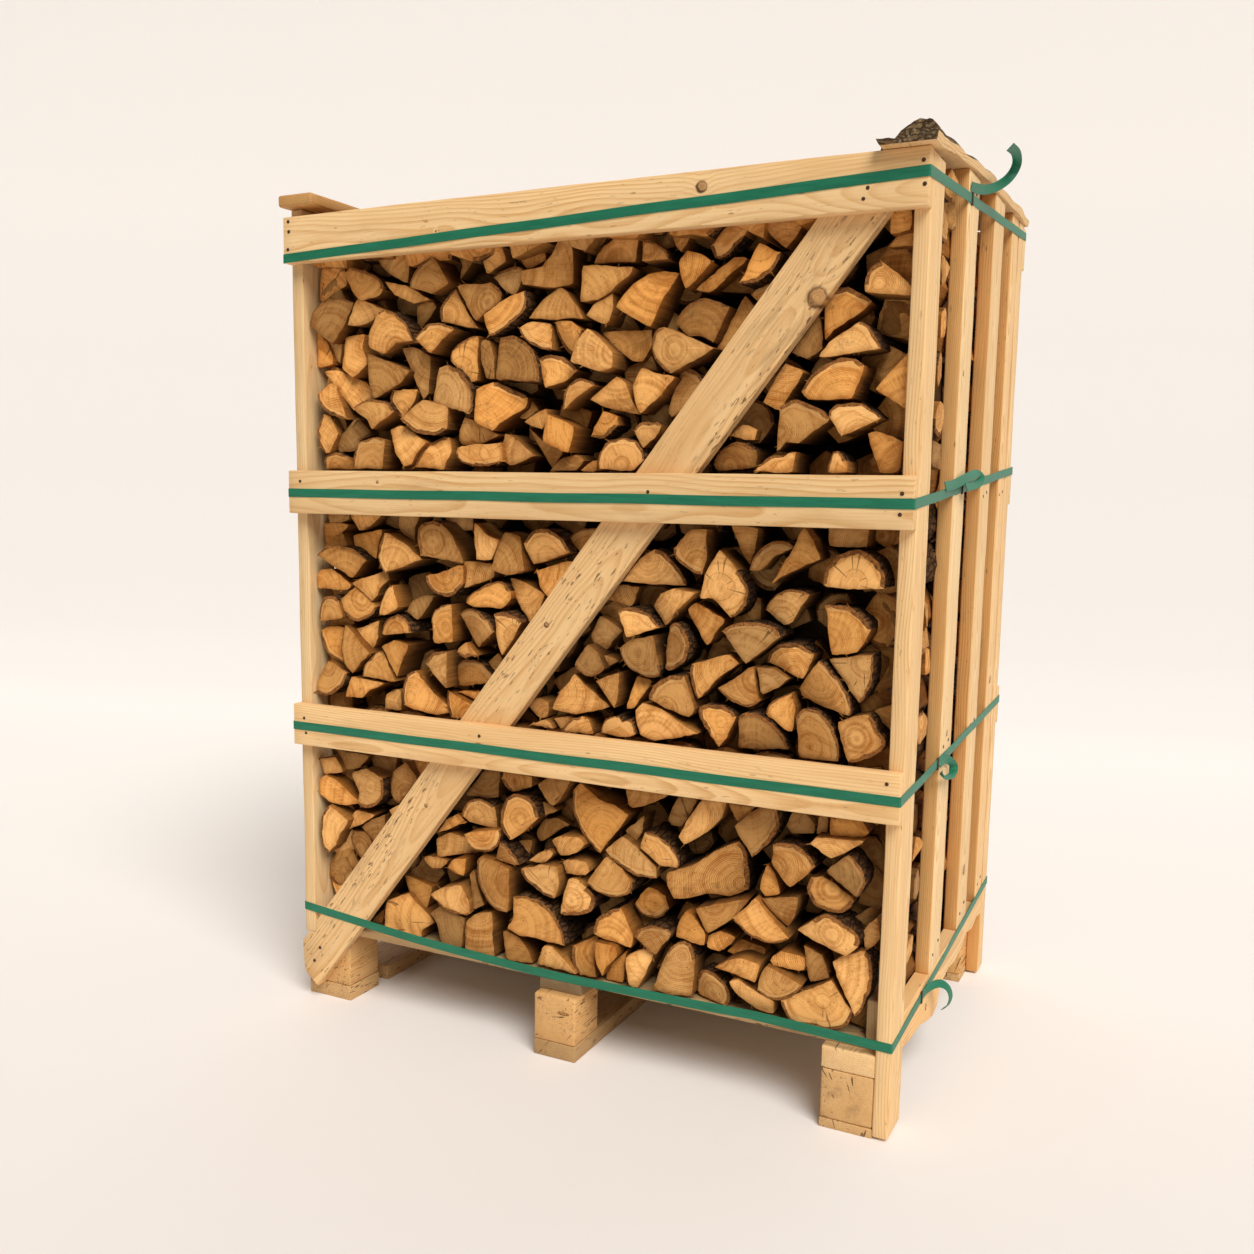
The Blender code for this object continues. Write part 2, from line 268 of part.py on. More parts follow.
LOWER_ENDS = (
    (1, 0, 0, 49.3, 5, 50.2, 6.3, 48.5, 7.2, 47.3, 1.2, 46.2),
    (2, 0, 5.2, 51.8, 13.5, 51, 11.5, 48.5, 7.6, 47.8, 5.6, 50.3),
    (0, 0, -0.8, 41.9, 0.2, 45.1, 2, 46.3, 5, 45.3, 11, 41.2, 7.2, 40.3, 3.2, 40.4),
    (0, 4, 17.6, 47.2, 17.2, 43.2, 13.6, 40.7, 10.8, 41.1, 11.4, 43.6, 8, 46.9, 12.3, 48.7),
    (4, 0, 14.3, 50.5, 15, 51.8, 21.3, 51.8, 20.5, 49, 15.3, 48),
    (1, 4, 20.8, 42.4, 19.4, 43.6, 19.1, 46.3, 19.9, 48.7, 23.3, 51.3, 25.2, 47.6),
    (1, 0, 23.6, 51.8, 25.3, 47.8, 26.3, 45.4, 29, 48.4, 29.8, 51.8),
    (0, 0, 18.5, 40.9, 21.3, 42.5, 25.2, 44.4, 24, 41, 20.6, 38.4),
    (0, 5, 2.6, 40, 0.8, 38, 0.3, 35.3, 0.8, 31.7, 2.3, 30, 4.2, 31.6, 5.4, 34.1, 8.2, 37.4),
    (2, 0, 5.6, 34.4, 8.3, 37.4, 10.2, 40.1, 15.5, 39.6, 12, 37.3, 8.6, 35.9),
    (1, 0, 11.6, 36.6, 14.5, 38.5, 18.2, 40.2, 18, 36, 16.3, 32.9, 15.3, 34),
    (0, 4, 12.3, 29.9, 9.5, 32.5, 8.9, 34.3, 9.5, 35.5, 12.5, 35.8, 14.4, 34, 13.5, 31),
    (1, 0, 0.6, 26.2, 2.5, 28.2, 4.3, 30.9, 6.3, 33.3, 8.2, 33, 11, 28.5, 6.5, 26.6, 2, 24.8),
    (0, 0, 8.6, 26.1, 11, 28.2, 13.3, 29.4, 14, 28, 10.2, 25),
    (2, 4, 6.6, 20.2, 4.2, 21.2, 2.9, 23, 2.1, 24.6, 6.5, 26.1, 10, 24.8, 9, 22),
    (5, 0, -0.8, 22, 1.9, 23.4, 3.6, 21.3, 2.5, 19.6, -0.8, 19.5),
    (1, 0, 2.7, 19.3, 5, 20.6, 7.3, 19.8, 6, 16.5, 3, 16.5),
    (4, 0, 14, 16, 16, 19.5, 17.4, 20.8, 17, 16),
    (0, 0, 17.2, 15.8, 18.2, 22.8, 23, 24.8, 28.9, 19.5, 26.3, 17.6, 26, 15.8),
    (2, 0, 22, 28.4, 25, 28.2, 29.4, 27.2, 28.5, 23.7, 27.8, 22.2, 23.5, 25),
    (1, 0, 30.2, 37.9, 32.5, 41, 35.3, 42.6, 37.8, 41.2, 34, 39.5),
    (1, 0, 30, 36.9, 33.6, 38.6, 36.5, 38, 39.2, 35.1, 36, 34.4, 30.3, 33.2),
    (1, 0, 27.2, 32.6, 28.6, 33.4, 32.8, 32.8, 31.2, 31.1, 29.2, 30.7),
    (0, 0, 32.9, 31.6, 34.3, 33.6, 37.3, 34.1, 36.2, 30.1),
    (0, 4, 38, 23.2, 35, 22.7, 31.5, 23.6, 28.5, 25.3, 31, 27.3, 36.2, 28.8, 38, 25),
    (1, 0, 37.4, 30.8, 38.4, 32, 39.5, 28.8, 41.6, 25.4, 38.5, 24, 38.4, 26.5),
    (0, 0, 27.6, 21.2, 30.2, 23.3, 36.7, 22.1, 36.1, 15.8, 31, 15.8, 29.7, 19.5),
    (1, 0, 36.5, 15.8, 37, 21.4, 39.5, 23.5, 43.1, 24.8, 43.6, 15.8),
    (2, 4, 36.2, 42.2, 37.5, 44.8, 40.5, 46, 43.5, 45, 44.3, 40.9, 38, 41.4),
    (2, 0, 36.9, 46.3, 38.7, 48.5, 41.2, 51.8, 44.4, 51.8, 44.3, 46.6),
    (0, 5, 44.6, 40.6, 44.2, 38, 42, 36, 39, 35.4, 37.2, 36.8, 36.7, 38.8, 40, 39.9),
    (2, 3, 47.3, 48.3, 45.8, 49.2, 45, 50.5, 45.2, 51.8, 51.8, 51.8, 52, 49.7),
    (0, 8, 46.5, 38.7, 44.8, 41, 44.7, 43.8, 45.7, 46.2, 47.5, 47.7, 49.5, 48, 52, 46.8, 53.2,
     44.2, 50, 41.2),
    (1, 0, 52.3, 50.2, 54.3, 51.8, 59.7, 51.8, 58, 48.8, 56.1, 46.6, 54.9, 47.7),
    (3, 0, 52.5, 46.9, 54.5, 47.3, 57, 46, 53.8, 44.6),
    (4, 0, 52.2, 41, 53.8, 43.8, 57, 44.7, 60, 43.9, 56.5, 41.9, 53.3, 39.7),
    (0, 0, 55.5, 40.1, 57.5, 41.5, 61.8, 41.8, 62.6, 40.5, 61, 38.7, 56.9, 37.3),
    (1, 0, 50.9, 35.7, 53, 37.4, 55.4, 38.5, 56.2, 37.8, 54.6, 35.8),
    (1, 0, 57.3, 36.4, 59, 37.3, 63, 37.2, 64, 35.7, 63, 34.8, 58.5, 34.1),
    (0, 3, 44.7, 38.5, 46.8, 37.2, 49, 34.6, 47.8, 34.2, 43.8, 35),
    (4, 0, 47.2, 38.6, 51.7, 39.8, 51, 36.2, 49.2, 35.1),
    (0, 5, 45.3, 24.9, 42, 26.1, 39.8, 29.5, 39.6, 33, 40.5, 35, 46.9, 33.7, 46.8, 29, 46.4, 25),
    (0, 4, 56.5, 29.2, 53.5, 30.2, 50, 32.2, 49, 33.9, 53, 35.2, 57.2, 35.7, 57.6, 32.5),
    (0, 5, 63, 32.6, 64.7, 30.7, 64, 28.4, 61.5, 27.3, 57.6, 26.5, 58.2, 30, 59.4, 33.8, 61.2, 34),
    (0, 6, 47.7, 28.4, 50.5, 28.8, 54, 28, 56.5, 25.8, 58, 23.2, 58.8, 20.6, 49, 21, 46.3, 21.9, 47.6, 24),
    (1, 0, 45.3, 21.2, 46, 15.8, 52.0, 15.8, 50.8, 18.5, 49, 20.7, 46.5, 21.5),
    (0, 0, 52.3, 15.8, 54, 20, 55.9, 20.2, 61.5, 15.8),
    (1, 3, 62, 15.8, 60.4, 18, 60.2, 21, 63, 22.3, 64.6, 23.4, 64.4, 20.8, 65.5, 16),
    (0, 0, 64.8, 22.9, 69, 22.5, 69.5, 20.8, 67.5, 18.6, 66.6, 16.3, 65.4, 18.5),
    (2, 0, 71.5, 22.6, 69.5, 20.5, 67.7, 18.3, 67.2, 15.8, 71, 15.8, 71, 20.3),
    (0, 0, 70.9, 20.7, 72.3, 21.8, 75, 22.9, 76.4, 22.2, 75, 18.4, 73.7, 15.8, 71.9, 15.8),
    (1, 4, 64.4, 24, 65.1, 26.7, 67, 28.4, 69.9, 30, 72.6, 25.5, 72.4, 22.9),
    (0, 4, 72.7, 25.1, 74.3, 26.9, 77, 27.8, 80.1, 27.2, 77.1, 22.3),
    (4, 4, 79.5, 31.5, 77, 29.3, 74.3, 29.5, 72.6, 31, 75.5, 35, 79, 33.8),
    (0, 5, 72.5, 35.2, 72, 33.3, 69.5, 32, 66, 32, 63.1, 33.4, 66.8, 39, 70, 37.2),
    (1, 4, 65.8, 39.4, 62, 42.4, 59.7, 46, 59.4, 49.8, 60.8, 51.5, 64.8, 49, 68.3, 48.4, 71.5,
     47.2, 68.5, 42.8),
    (1, 0, 69.8, 51.8, 70.8, 48, 73.5, 48.6, 79, 51.8),
    (0, 4, 77, 36.6, 73.5, 36.5, 70.4, 37.5, 67.9, 39, 66.5, 40.1, 70, 43.2, 73, 41.6, 77.3, 38.4),
    (0, 5, 74.5, 44.5, 77, 44, 79.3, 42.5, 81, 40.2, 80.8, 38.8, 77.5, 38.8, 75.5, 40.5, 73.6,
     41.5, 74.2, 43.2),
    (3, 0, 70.6, 44.2, 74.3, 47.5, 74, 44.2, 72.6, 42.4),
    (2, 0, 78.3, 47, 80.8, 51.8, 84.6, 51.8, 83, 48.6, 81.2, 46.2, 79, 46.1),
    (0, 0, 81, 44.6, 82.8, 48.1, 85.4, 51.8, 89.2, 51.8, 88.6, 48.8, 86.3, 46.2, 82, 43.2),
    (2, 0, 89.8, 51.8, 91.7, 48.6, 95.3, 51.8),
    (1, 4, 98.3, 51.5, 98.7, 49, 97.3, 46, 94.5, 43.1, 90.9, 48, 95.7, 51.7),
    (3, 0, 100.2, 49.3, 101, 51.8, 103.5, 51.8, 105.2, 50.1, 105, 48.4, 101.3, 48.1),
    (3, 0, 105.5, 48.7, 105.7, 51.8, 107.3, 51.8, 107.3, 48.6),
    (1, 0, 107.5, 48.6, 107.6, 51.8, 112.8, 51.8, 114.2, 49.8, 113, 48.8),
    (0, 0, 104.2, 46.8, 105.3, 48.2, 113.4, 48.4, 110.5, 46.3, 108, 44.9),
    (-1, 3, 91.5, 44.9, 92.4, 42.5, 92.4, 35.6, 89.2, 34.2, 86.5, 34.7, 80.2, 33.3, 78.9, 35.5,
     78.7, 37.9, 83.3, 39.8, 87.5, 42.9),
    (0, 0, 84.4, 32.4, 88, 33.6, 93.8, 35.1, 91.2, 31.5, 86.8, 28.2),
    (1, 0, 80.4, 26.2, 81, 28.8, 82.7, 31.7, 84, 31.2, 86.6, 28, 86.3, 25.9),
    (2, 0, 87, 28.1, 89.2, 29.4, 92, 28.5, 89.9, 25.9, 88.9, 25.2, 86.7, 25.8),
    (1, 0, 95.9, 37.8, 97.2, 42.6, 98.6, 41, 99.9, 37.4, 97, 36.5),
    (0, 4, 98, 45.8, 100, 46, 103, 45.3, 105.3, 42.8, 101.3, 38.7, 97.8, 42.8, 98.3, 44.3),
    (0, 4, 111, 46, 113, 44, 113.8, 41.5, 112.3, 38.4, 106.8, 42.4, 108.5, 44),
    (1, 6, 104.8, 41.2, 104.2, 39.3, 105.5, 36.8, 108.5, 35.8, 111, 36.3, 112, 38, 109, 40.3, 106.5, 41.8),
    (1, 0, 95.9, 36.2, 100.2, 37.1, 102.9, 37.5, 102.2, 34, 100.9, 31.6),
    (0, 4, 101.5, 29.8, 98.5, 28.6, 94.8, 29.1, 91.1, 31.9, 95.3, 36.2),
    (0, 4, 105, 33.6, 108, 35.1, 113, 32.7, 113.2, 30.8, 111.3, 28.9, 106, 30.2, 102, 31.2),
    (3, 0, 113.6, 33.5, 116, 36.5, 116.8, 33, 114.5, 30.5),
    (0, 5, 114, 29.8, 115.3, 27.5, 115.2, 24, 114.3, 21, 113.2, 18.9, 111, 23, 108.5, 27.2, 110.5, 28.5),
    (2, 0, 103.8, 29.8, 107.3, 28.4, 108.8, 24.4, 105.2, 23, 104.4, 26.2),
    (1, 0, 98.2, 25.8, 100, 27.6, 104, 27, 104.1, 24.9, 98.8, 24.8),
    (0, 0, 87.6, 22, 90.3, 24, 93, 24.9, 96.6, 24.6, 95.7, 21.2),
    (0, 4, 104, 22.3, 102, 20, 98.8, 18.9, 96.1, 19.9, 96.8, 22.5, 97.6, 24.6, 101, 23.6),
    (0, 0, 90.9, 20.6, 92.5, 21.1, 95.8, 19.7, 99.2, 18.6, 98.8, 16, 95.5, 16, 92, 18.4),
    (0, 6, 112.5, 19.4, 111.8, 17.5, 109.5, 15.9, 103, 15.9, 101, 17.5, 100.2, 19, 108.7, 24.2),
    (2, 6, 84.4, 17.5, 85, 20.2, 86.8, 21.8, 90, 20.4, 91.3, 18, 90.8, 15.9, 84.8, 15.9),
    (0, 4, 79.2, 23.3, 81, 25.2, 83, 25.2, 84, 22.5, 83.8, 15.8, 76.2, 15.8, 77.8, 19.8),
    (4, 0, 90.2, 25.7, 92.5, 28.2, 97.3, 27.4, 97, 25.2, 93, 25.4),
)


def clear_scene():
    for obj in list(bpy.data.objects):
        bpy.data.objects.remove(obj)
    for collection in list(bpy.data.collections):
        bpy.data.collections.remove(collection)


def add_collection(name):
    collection = bpy.data.collections.new(name)
    bpy.context.scene.collection.children.link(collection)
    return collection


def wood(name, colour, roughness=0.75, metallic=0.0):
    material = bpy.data.materials.new(name)
    material.use_nodes = True
    shader = material.node_tree.nodes["Principled BSDF"]
    shader.inputs["Base Color"].default_value = (*colour, 1.0)
    shader.inputs["Roughness"].default_value = roughness
    shader.inputs["Metallic"].default_value = metallic
    return material


clear_scene()
PARTS = add_collection("firewood_crate")
HELPERS = add_collection("helpers")
PINE = wood("pine", (0.74, 0.49, 0.23))
PINE_WEATHERED = wood("pine_weathered", (0.62, 0.40, 0.19))
PINE_SHADED = wood("pine_shaded", (0.40, 0.24, 0.11))
BARK = wood("bark", (0.20, 0.13, 0.08), 0.9)
FIREWOOD = wood("firewood", (0.55, 0.27, 0.10), 0.85)
STRAP_GREEN = wood("strap_green", (0.02, 0.21, 0.12), 0.35)
CRATE = bpy.data.objects.new("crate_frame_empty", None)
PARTS.objects.link(CRATE)
CRATE.location = (-CENTRE_X, -CENTRE_Y, 0.0)


def keep(obj, name, material, helper=False):
    """Names the object, gives it its material and puts it with the parts or, hidden, with the helpers."""
    obj.name = name
    obj.data.name = name
    obj.data.materials.clear()
    obj.data.materials.append(material)
    for collection in list(obj.users_collection):
        collection.objects.unlink(obj)
    (HELPERS if helper else PARTS).objects.link(obj)
    obj.parent = CRATE
    if helper:
        obj.hide_render = True
        obj.display_type = "WIRE"
    return obj


def from_bmesh(bm, name, material, helper=False):
    bmesh.ops.recalc_face_normals(bm, faces=bm.faces)
    mesh = bpy.data.meshes.new(name)
    bm.to_mesh(mesh)
    bm.free()
    obj = bpy.data.objects.new(name, mesh)
    bpy.context.scene.collection.objects.link(obj)
    return keep(obj, name, material, helper)


def board(name, across, along, up, material, edge=0.0012):
    """A sawn board or block between two x, two y and two z values."""
    spans = (across, along, up)
    size = [high - low for low, high in spans]
    bpy.ops.mesh.primitive_cube_add(size=1.0, location=[(low + high) / 2 for low, high in spans])
    obj = bpy.context.object
    obj.data.transform(((size[0], 0, 0, 0), (0, size[1], 0, 0), (0, 0, size[2], 0), (0, 0, 0, 1)))
    if edge:
        bevel = obj.modifiers.new("edges", "BEVEL")
        bevel.width = edge
        bevel.segments = 1
    return keep(obj, name, material)


def flat_piece(name, outline, middle, thickness, rotation, material):
    """A flat outline drawn as a 2D curve and thickened, then turned and moved to its place."""
    curve = bpy.data.curves.new(name, "CURVE")
    curve.dimensions = "2D"
    curve.fill_mode = "BOTH"
    curve.extrude = thickness / 2
    spline = curve.splines.new("POLY")
    spline.points.add(len(outline) - 1)
    for point, (across, up) in zip(spline.points, outline):
        point.co = (across, up, 0.0, 1.0)
    spline.use_cyclic_u = True
    obj = bpy.data.objects.new(name, curve)
    bpy.context.scene.collection.objects.link(obj)
    obj.location = middle
    obj.rotation_euler = rotation
    return keep(obj, name, material)


UPRIGHT_ACROSS = (math.pi / 2, 0.0, 0.0)
UPRIGHT_ALONG = (math.pi / 2, 0.0, math.pi / 2)


def make_rails():
    for place, heights in RAIL_FRONT_HEIGHTS.items():
        board(f"rail_front_{place}", (0.0, WIDTH), (0.0, RAIL_THICK), heights, PINE)
    for place, heights in RAIL_BACK_HEIGHTS.items():
        board(f"rail_back_{place}", (0.0, WIDTH), (DEPTH - RAIL_THICK, DEPTH), heights, PINE)


def brace_left_edge(z):
    """Where the front brace's left edge is at a height."""
    return BRACE_LEFT_AT_FOOT + BRACE_SLOPE * (z - POST_LEFT_FOOT)


def make_braces():
    top = RAIL_FRONT_HEIGHTS["top"][1] - 0.038
    post_side = WALL_THICK + GAP
    post_height = POST_LEFT_FOOT + (post_side - BRACE_LEFT_AT_FOOT) / BRACE_SLOPE
    shoulder = POST_LEFT_FOOT - GAP
    left_end = POST_LEFT_FOOT - (BRACE_LEFT_AT_FOOT + 0.009) / BRACE_SLOPE
    outline = (
        (brace_left_edge(top), top),
        (post_side, post_height),
        (post_side, shoulder),
        (brace_left_edge(shoulder), shoulder),
        (-0.009, left_end),
        (-0.006, 0.055),
        (0.027, 0.026),
        (brace_left_edge(top) + BRACE_FLAT_WIDTH, top),
    )
    middle = sum(BRACE_FRONT_Y) / 2
    flat_piece("brace_front", outline, (0, middle, 0), BRACE_THICK, UPRIGHT_ACROSS, PINE)
    low = DECK_Z[1] + GAP
    high = LEFT_WALL_TOP - 0.02
    foot = WIDTH - post_side
    head = post_side
    outline = ((foot - BRACE_FLAT_WIDTH, low), (foot, low), (head + BRACE_FLAT_WIDTH, high), (head, high))
    middle = sum(BRACE_BACK_Y) / 2
    flat_piece("brace_back", outline, (0, middle, 0), BRACE_THICK, UPRIGHT_ACROSS, PINE)


def slab_underside(y):
    return SLAB_BASE + SLAB_RISE * (1.0 - math.exp(-max(0.0, y - RAIL_THICK) / SLAB_REACH))


def make_walls():
    """The posts and slats of both side walls, and the waney boards that the slats stand on."""
    right = (WIDTH - WALL_THICK, WIDTH)
    left = (0.0, WALL_THICK)
    rail_top = RAIL_FRONT_HEIGHTS["top"][1]
    board("post_front_right", right, POST_FRONT, (POST_RIGHT_FOOT, rail_top), PINE, 0.002)
    board("post_front_left", left, POST_FRONT, (POST_LEFT_FOOT, rail_top), PINE, 0.002)
    back_top = slab_underside(POST_BACK[0]) - GAP
    board("post_back_right", right, POST_BACK, (POST_RIGHT_FOOT, back_top), PINE, 0.002)
    board("post_back_left", left, POST_BACK, (POST_LEFT_FOOT, LEFT_WALL_TOP), PINE, 0.002)
    for number, along in enumerate(SLATS_RIGHT, 1):
        top = slab_underside(along[0]) - GAP
        board(f"slat_right_{number}", right, along, (WALL_BOARD_TOP + GAP, top), PINE, 0.002)
    for number, along in enumerate(SLATS_LEFT, 1):
        board(f"slat_left_{number}", left, along, (WALL_BOARD_TOP + GAP, LEFT_WALL_TOP), PINE, 0.002)
    start = POST_FRONT[1] + GAP
    stop = POST_BACK[0] - GAP
    nose = ((start, 0.128), (0.155, 0.120), (0.230, 0.116), (0.290, 0.100), (0.335, 0.092), (0.372, 0.100))
    nose += ((0.385, 0.122), (0.388, WALL_BOARD_TOP), (start, WALL_BOARD_TOP))
    wave = ((0.3905, 0.130), (0.460, 0.138), (0.520, 0.128), (0.585, 0.134), (0.640, 0.148))
    wave += ((0.700, 0.138), (0.750, 0.146), (stop, 0.139), (stop, WALL_BOARD_TOP), (0.3905, WALL_BOARD_TOP))
    middle = WALL_THICK / 2
    for side, x, lowest in (("right", WIDTH - middle, 0.0), ("left", middle, POST_LEFT_FOOT)):
        for place, edge in (("front", nose), ("back", wave)):
            name = f"wall_board_{side}_{place}"
            outline = [(y, max(z, lowest)) for y, z in edge]
            flat_piece(name, outline, (x, 0, 0), WALL_THICK, UPRIGHT_ALONG, PINE_WEATHERED)
    board("corner_cleat", (1.150, 1.1735), (0.0500, 0.0990), (DECK_Z[1] + GAP, 0.222), PINE_SHADED)


def make_deck_and_feet():
    pitch = (DECK_Y[1] - DECK_Y[0] + DECK_SPACING) / DECK_BOARDS
    inside = (WALL_THICK + GAP, WIDTH - WALL_THICK - GAP)
    for number in range(DECK_BOARDS):
        near = DECK_Y[0] + number * pitch
        board(f"deck_board_{number + 1}", inside, (near, near + pitch - DECK_SPACING), DECK_Z, PINE_SHADED)
    back = DECK_Y[1]
    behind_foot = DECK_Y[0] + BLOCK_LENGTH + GAP
    stringer_left = (WALL_THICK + GAP, FOOT_LEFT_X[1])
    board("stringer_left", stringer_left, (behind_foot, back), STRINGER_Z, PINE_SHADED)
    board("stringer_centre", FOOT_CENTRE_X, (DECK_Y[0], back), STRINGER_Z, PINE_SHADED)
    behind_top_board = FOOT_FRONT_Y + 0.116 + GAP
    board("stringer_right", FOOT_RIGHT_X, (behind_top_board, back), STRINGER_Z, PINE_SHADED)

    near = (DECK_Y[0], DECK_Y[0] + BLOCK_LENGTH)
    far = (back - BLOCK_LENGTH, back)
    on_runner = RUNNER_TOP + GAP
    under_stringer = STRINGER_Z[0] - GAP
    board("block_left_front", FOOT_LEFT_X, near, (on_runner, DECK_Z[0] - GAP), PINE, 0.003)
    second = (LEFT_SECOND_Y, LEFT_SECOND_Y + BLOCK_LENGTH)
    board("block_left_second", FOOT_LEFT_X, second, (on_runner, under_stringer), PINE_WEATHERED, 0.003)
    board("block_left_back", FOOT_LEFT_X, far, (on_runner, under_stringer), PINE, 0.003)
    front = (FOOT_FRONT_Y, FOOT_FRONT_Y + BLOCK_LENGTH)
    board("block_centre_front", FOOT_CENTRE_X, front, (on_runner, under_stringer), PINE, 0.003)
    board("block_centre_back", FOOT_CENTRE_X, far, (on_runner, under_stringer), PINE, 0.003)
    board("block_right_front", FOOT_RIGHT_X, front, (SOLE_TOP + GAP, 0.1030), PINE, 0.003)
    board("block_right_back", FOOT_RIGHT_X, far, (SOLE_TOP + GAP, under_stringer), PINE, 0.003)

    top_board = (FOOT_FRONT_Y, FOOT_FRONT_Y + 0.116)
    board("foot_board_right_top", FOOT_RIGHT_X, top_board, (0.1033, DECK_Z[0] - GAP), PINE)
    board("sole_right_front", FOOT_RIGHT_X, front, (0.0, SOLE_TOP), PINE_WEATHERED)
    board("sole_right_back", FOOT_RIGHT_X, far, (0.0, SOLE_TOP), PINE_WEATHERED)
    board("sole_left_front", FOOT_LEFT_X, near, (0.0, RUNNER_TOP), PINE_WEATHERED)
    board("runner_left", FOOT_LEFT_X, (RUNNER_LEFT_Y, back), (0.0, RUNNER_TOP), PINE_WEATHERED)
    board("runner_centre", FOOT_CENTRE_X, (FOOT_FRONT_Y, back), (0.0, RUNNER_TOP), PINE_WEATHERED)


def make_cap_board():
    low = LEFT_WALL_TOP + GAP
    board("cap_board_left", CAP_X, CAP_Y, (low, low + CAP_THICK), PINE_WEATHERED, 0.003)


def make_bark_slab():
    """The outer cut of a trunk lying on the right wall: flat below, sawn on its right, bark over its top."""
    bm = bmesh.new()
    rings = []
    for number in range(SLAB_STATIONS):
        y = SLAB_Y[0] + (SLAB_Y[1] - SLAB_Y[0]) * number / (SLAB_STATIONS - 1)
        under = slab_underside(y)
        nose = max(0.0, 1.0 - (y - SLAB_Y[0]) / 0.13)
        wave = 0.004 * math.sin(19 * y) + 0.003 * math.sin(43 * y + 1)
        left = 1.100 + wave + 0.028 * nose
        right = 1.205 + 0.3 * wave + 0.008 * nose
        crown = under + 0.028 + 0.6 * wave
        ring = (
            (left + 0.004, under),
            (right, under),
            (right + 0.001, under + 0.021 + 0.5 * wave),
            (1.185, crown + 0.001),
            (1.160, crown + 0.003),
            (1.124 + 0.022 * nose, crown - 0.005 * (1.0 + nose)),
            (left - 0.002, under + 0.010),
        )
        rings.append([bm.verts.new((x, y, z)) for x, z in ring])
    for ring, following in zip(rings, rings[1:]):
        for number in range(len(ring)):
            after = (number + 1) % len(ring)
            bm.faces.new((ring[number], ring[after], following[after], following[number]))
    bm.faces.new(rings[0])
    bm.faces.new(rings[-1])
    from_bmesh(bm, "bark_slab_right", BARK)


def strip(name, stations, closed, helper=False):
    """A band through stations (point, direction across it): an open surface thickened by Solidify."""
    bm = bmesh.new()
    rows = []
    for point, across in stations:
        half = Vector(across).normalized() * STRAP_HEIGHT / 2
        rows.append((bm.verts.new(Vector(point) - half), bm.verts.new(Vector(point) + half)))
    following_rows = rows[1:] + rows[:1] if closed else rows[1:]
    for (low, high), (next_low, next_high) in zip(rows, following_rows):
        bm.faces.new((low, next_low, next_high, high))
    mesh = bpy.data.meshes.new(name)
    bm.to_mesh(mesh)
    bm.free()
    obj = bpy.data.objects.new(name, mesh)
    bpy.context.scene.collection.objects.link(obj)
    solidify = obj.modifiers.new("thickness", "SOLIDIFY")
    solidify.thickness = STRAP_THICK
    solidify.offset = 1.0
    return keep(obj, name, STRAP_GREEN, helper)


def sagged(low, high, droop, part):
    """Height along one side of a strap, from one corner to the next, with a droop part of the way along."""
    return low + (high - low) * part - droop * math.sin(math.pi * min(1.0, part * 1.25))


STRAP_CORNERS = {
    "strap_top": (1.455, 1.495, 1.568, 1.520),
    "strap_upper": (1.022, 1.022, 1.070, 1.045),
    "strap_lower": (0.569, 0.569, 0.602, 0.585),
    "strap_base": (0.194, 0.161, 0.200, 0.196),
}
STRAP_DROOPS = {"strap_base": 0.018}
STRAP_TAILS = {
    "strap_top": (
        ((1.2008, 0.300, 1.519), (0, 0, 1)),
        ((1.2035, 0.330, 1.524), (0, 0, 1)),
        ((1.2150, 0.365, 1.526), (0, 0.3, 1)),
        ((1.2300, 0.395, 1.533), (0.3, 0.8, 0.8)),
        ((1.2420, 0.410, 1.550), (0.5, 1, 0.4)),
        ((1.2480, 0.418, 1.573), (0.6, 1, 0.1)),
        ((1.2450, 0.420, 1.596), (0.6, 1, -0.1)),
    ),
    "strap_upper": (
        ((1.2008, 0.240, 1.038), (0, 0, 1)),
        ((1.2050, 0.275, 1.041), (0, 0.2, 1)),
        ((1.2200, 0.310, 1.044), (0, 0.8, 0.8)),
        ((1.2340, 0.330, 1.052), (0, 1, 0.3)),
        ((1.2380, 0.340, 1.066), (0, 1, 0)),
        ((1.2290, 0.342, 1.077), (0, 1, 0)),
        ((1.2150, 0.340, 1.074), (0, 1, 0)),
    ),
    "strap_lower": (
        ((1.2008, 0.280, 0.580), (0, 0, 1)),
        ((1.2050, 0.305, 0.584), (0, 0.2, 1)),
        ((1.2170, 0.325, 0.585), (0, 0.8, 0.8)),
        ((1.2270, 0.335, 0.576), (0, 1, 0.3)),
        ((1.2250, 0.337, 0.562), (0, 1, 0)),
        ((1.2140, 0.332, 0.556), (0, 1, 0)),
    ),
    "strap_base": (
        ((1.2008, 0.225, 0.171), (0, 0, 1)),
        ((1.2050, 0.255, 0.176), (0, 0.2, 1)),
        ((1.2180, 0.285, 0.176), (0, 0.8, 0.8)),
        ((1.2300, 0.302, 0.164), (0.2, 1, 0.2)),
        ((1.2350, 0.308, 0.146), (0.2, 1, 0)),
        ((1.2310, 0.306, 0.130), (0.2, 1, 0)),
        ((1.2230, 0.302, 0.124), (0.2, 1, 0)),
    ),
}


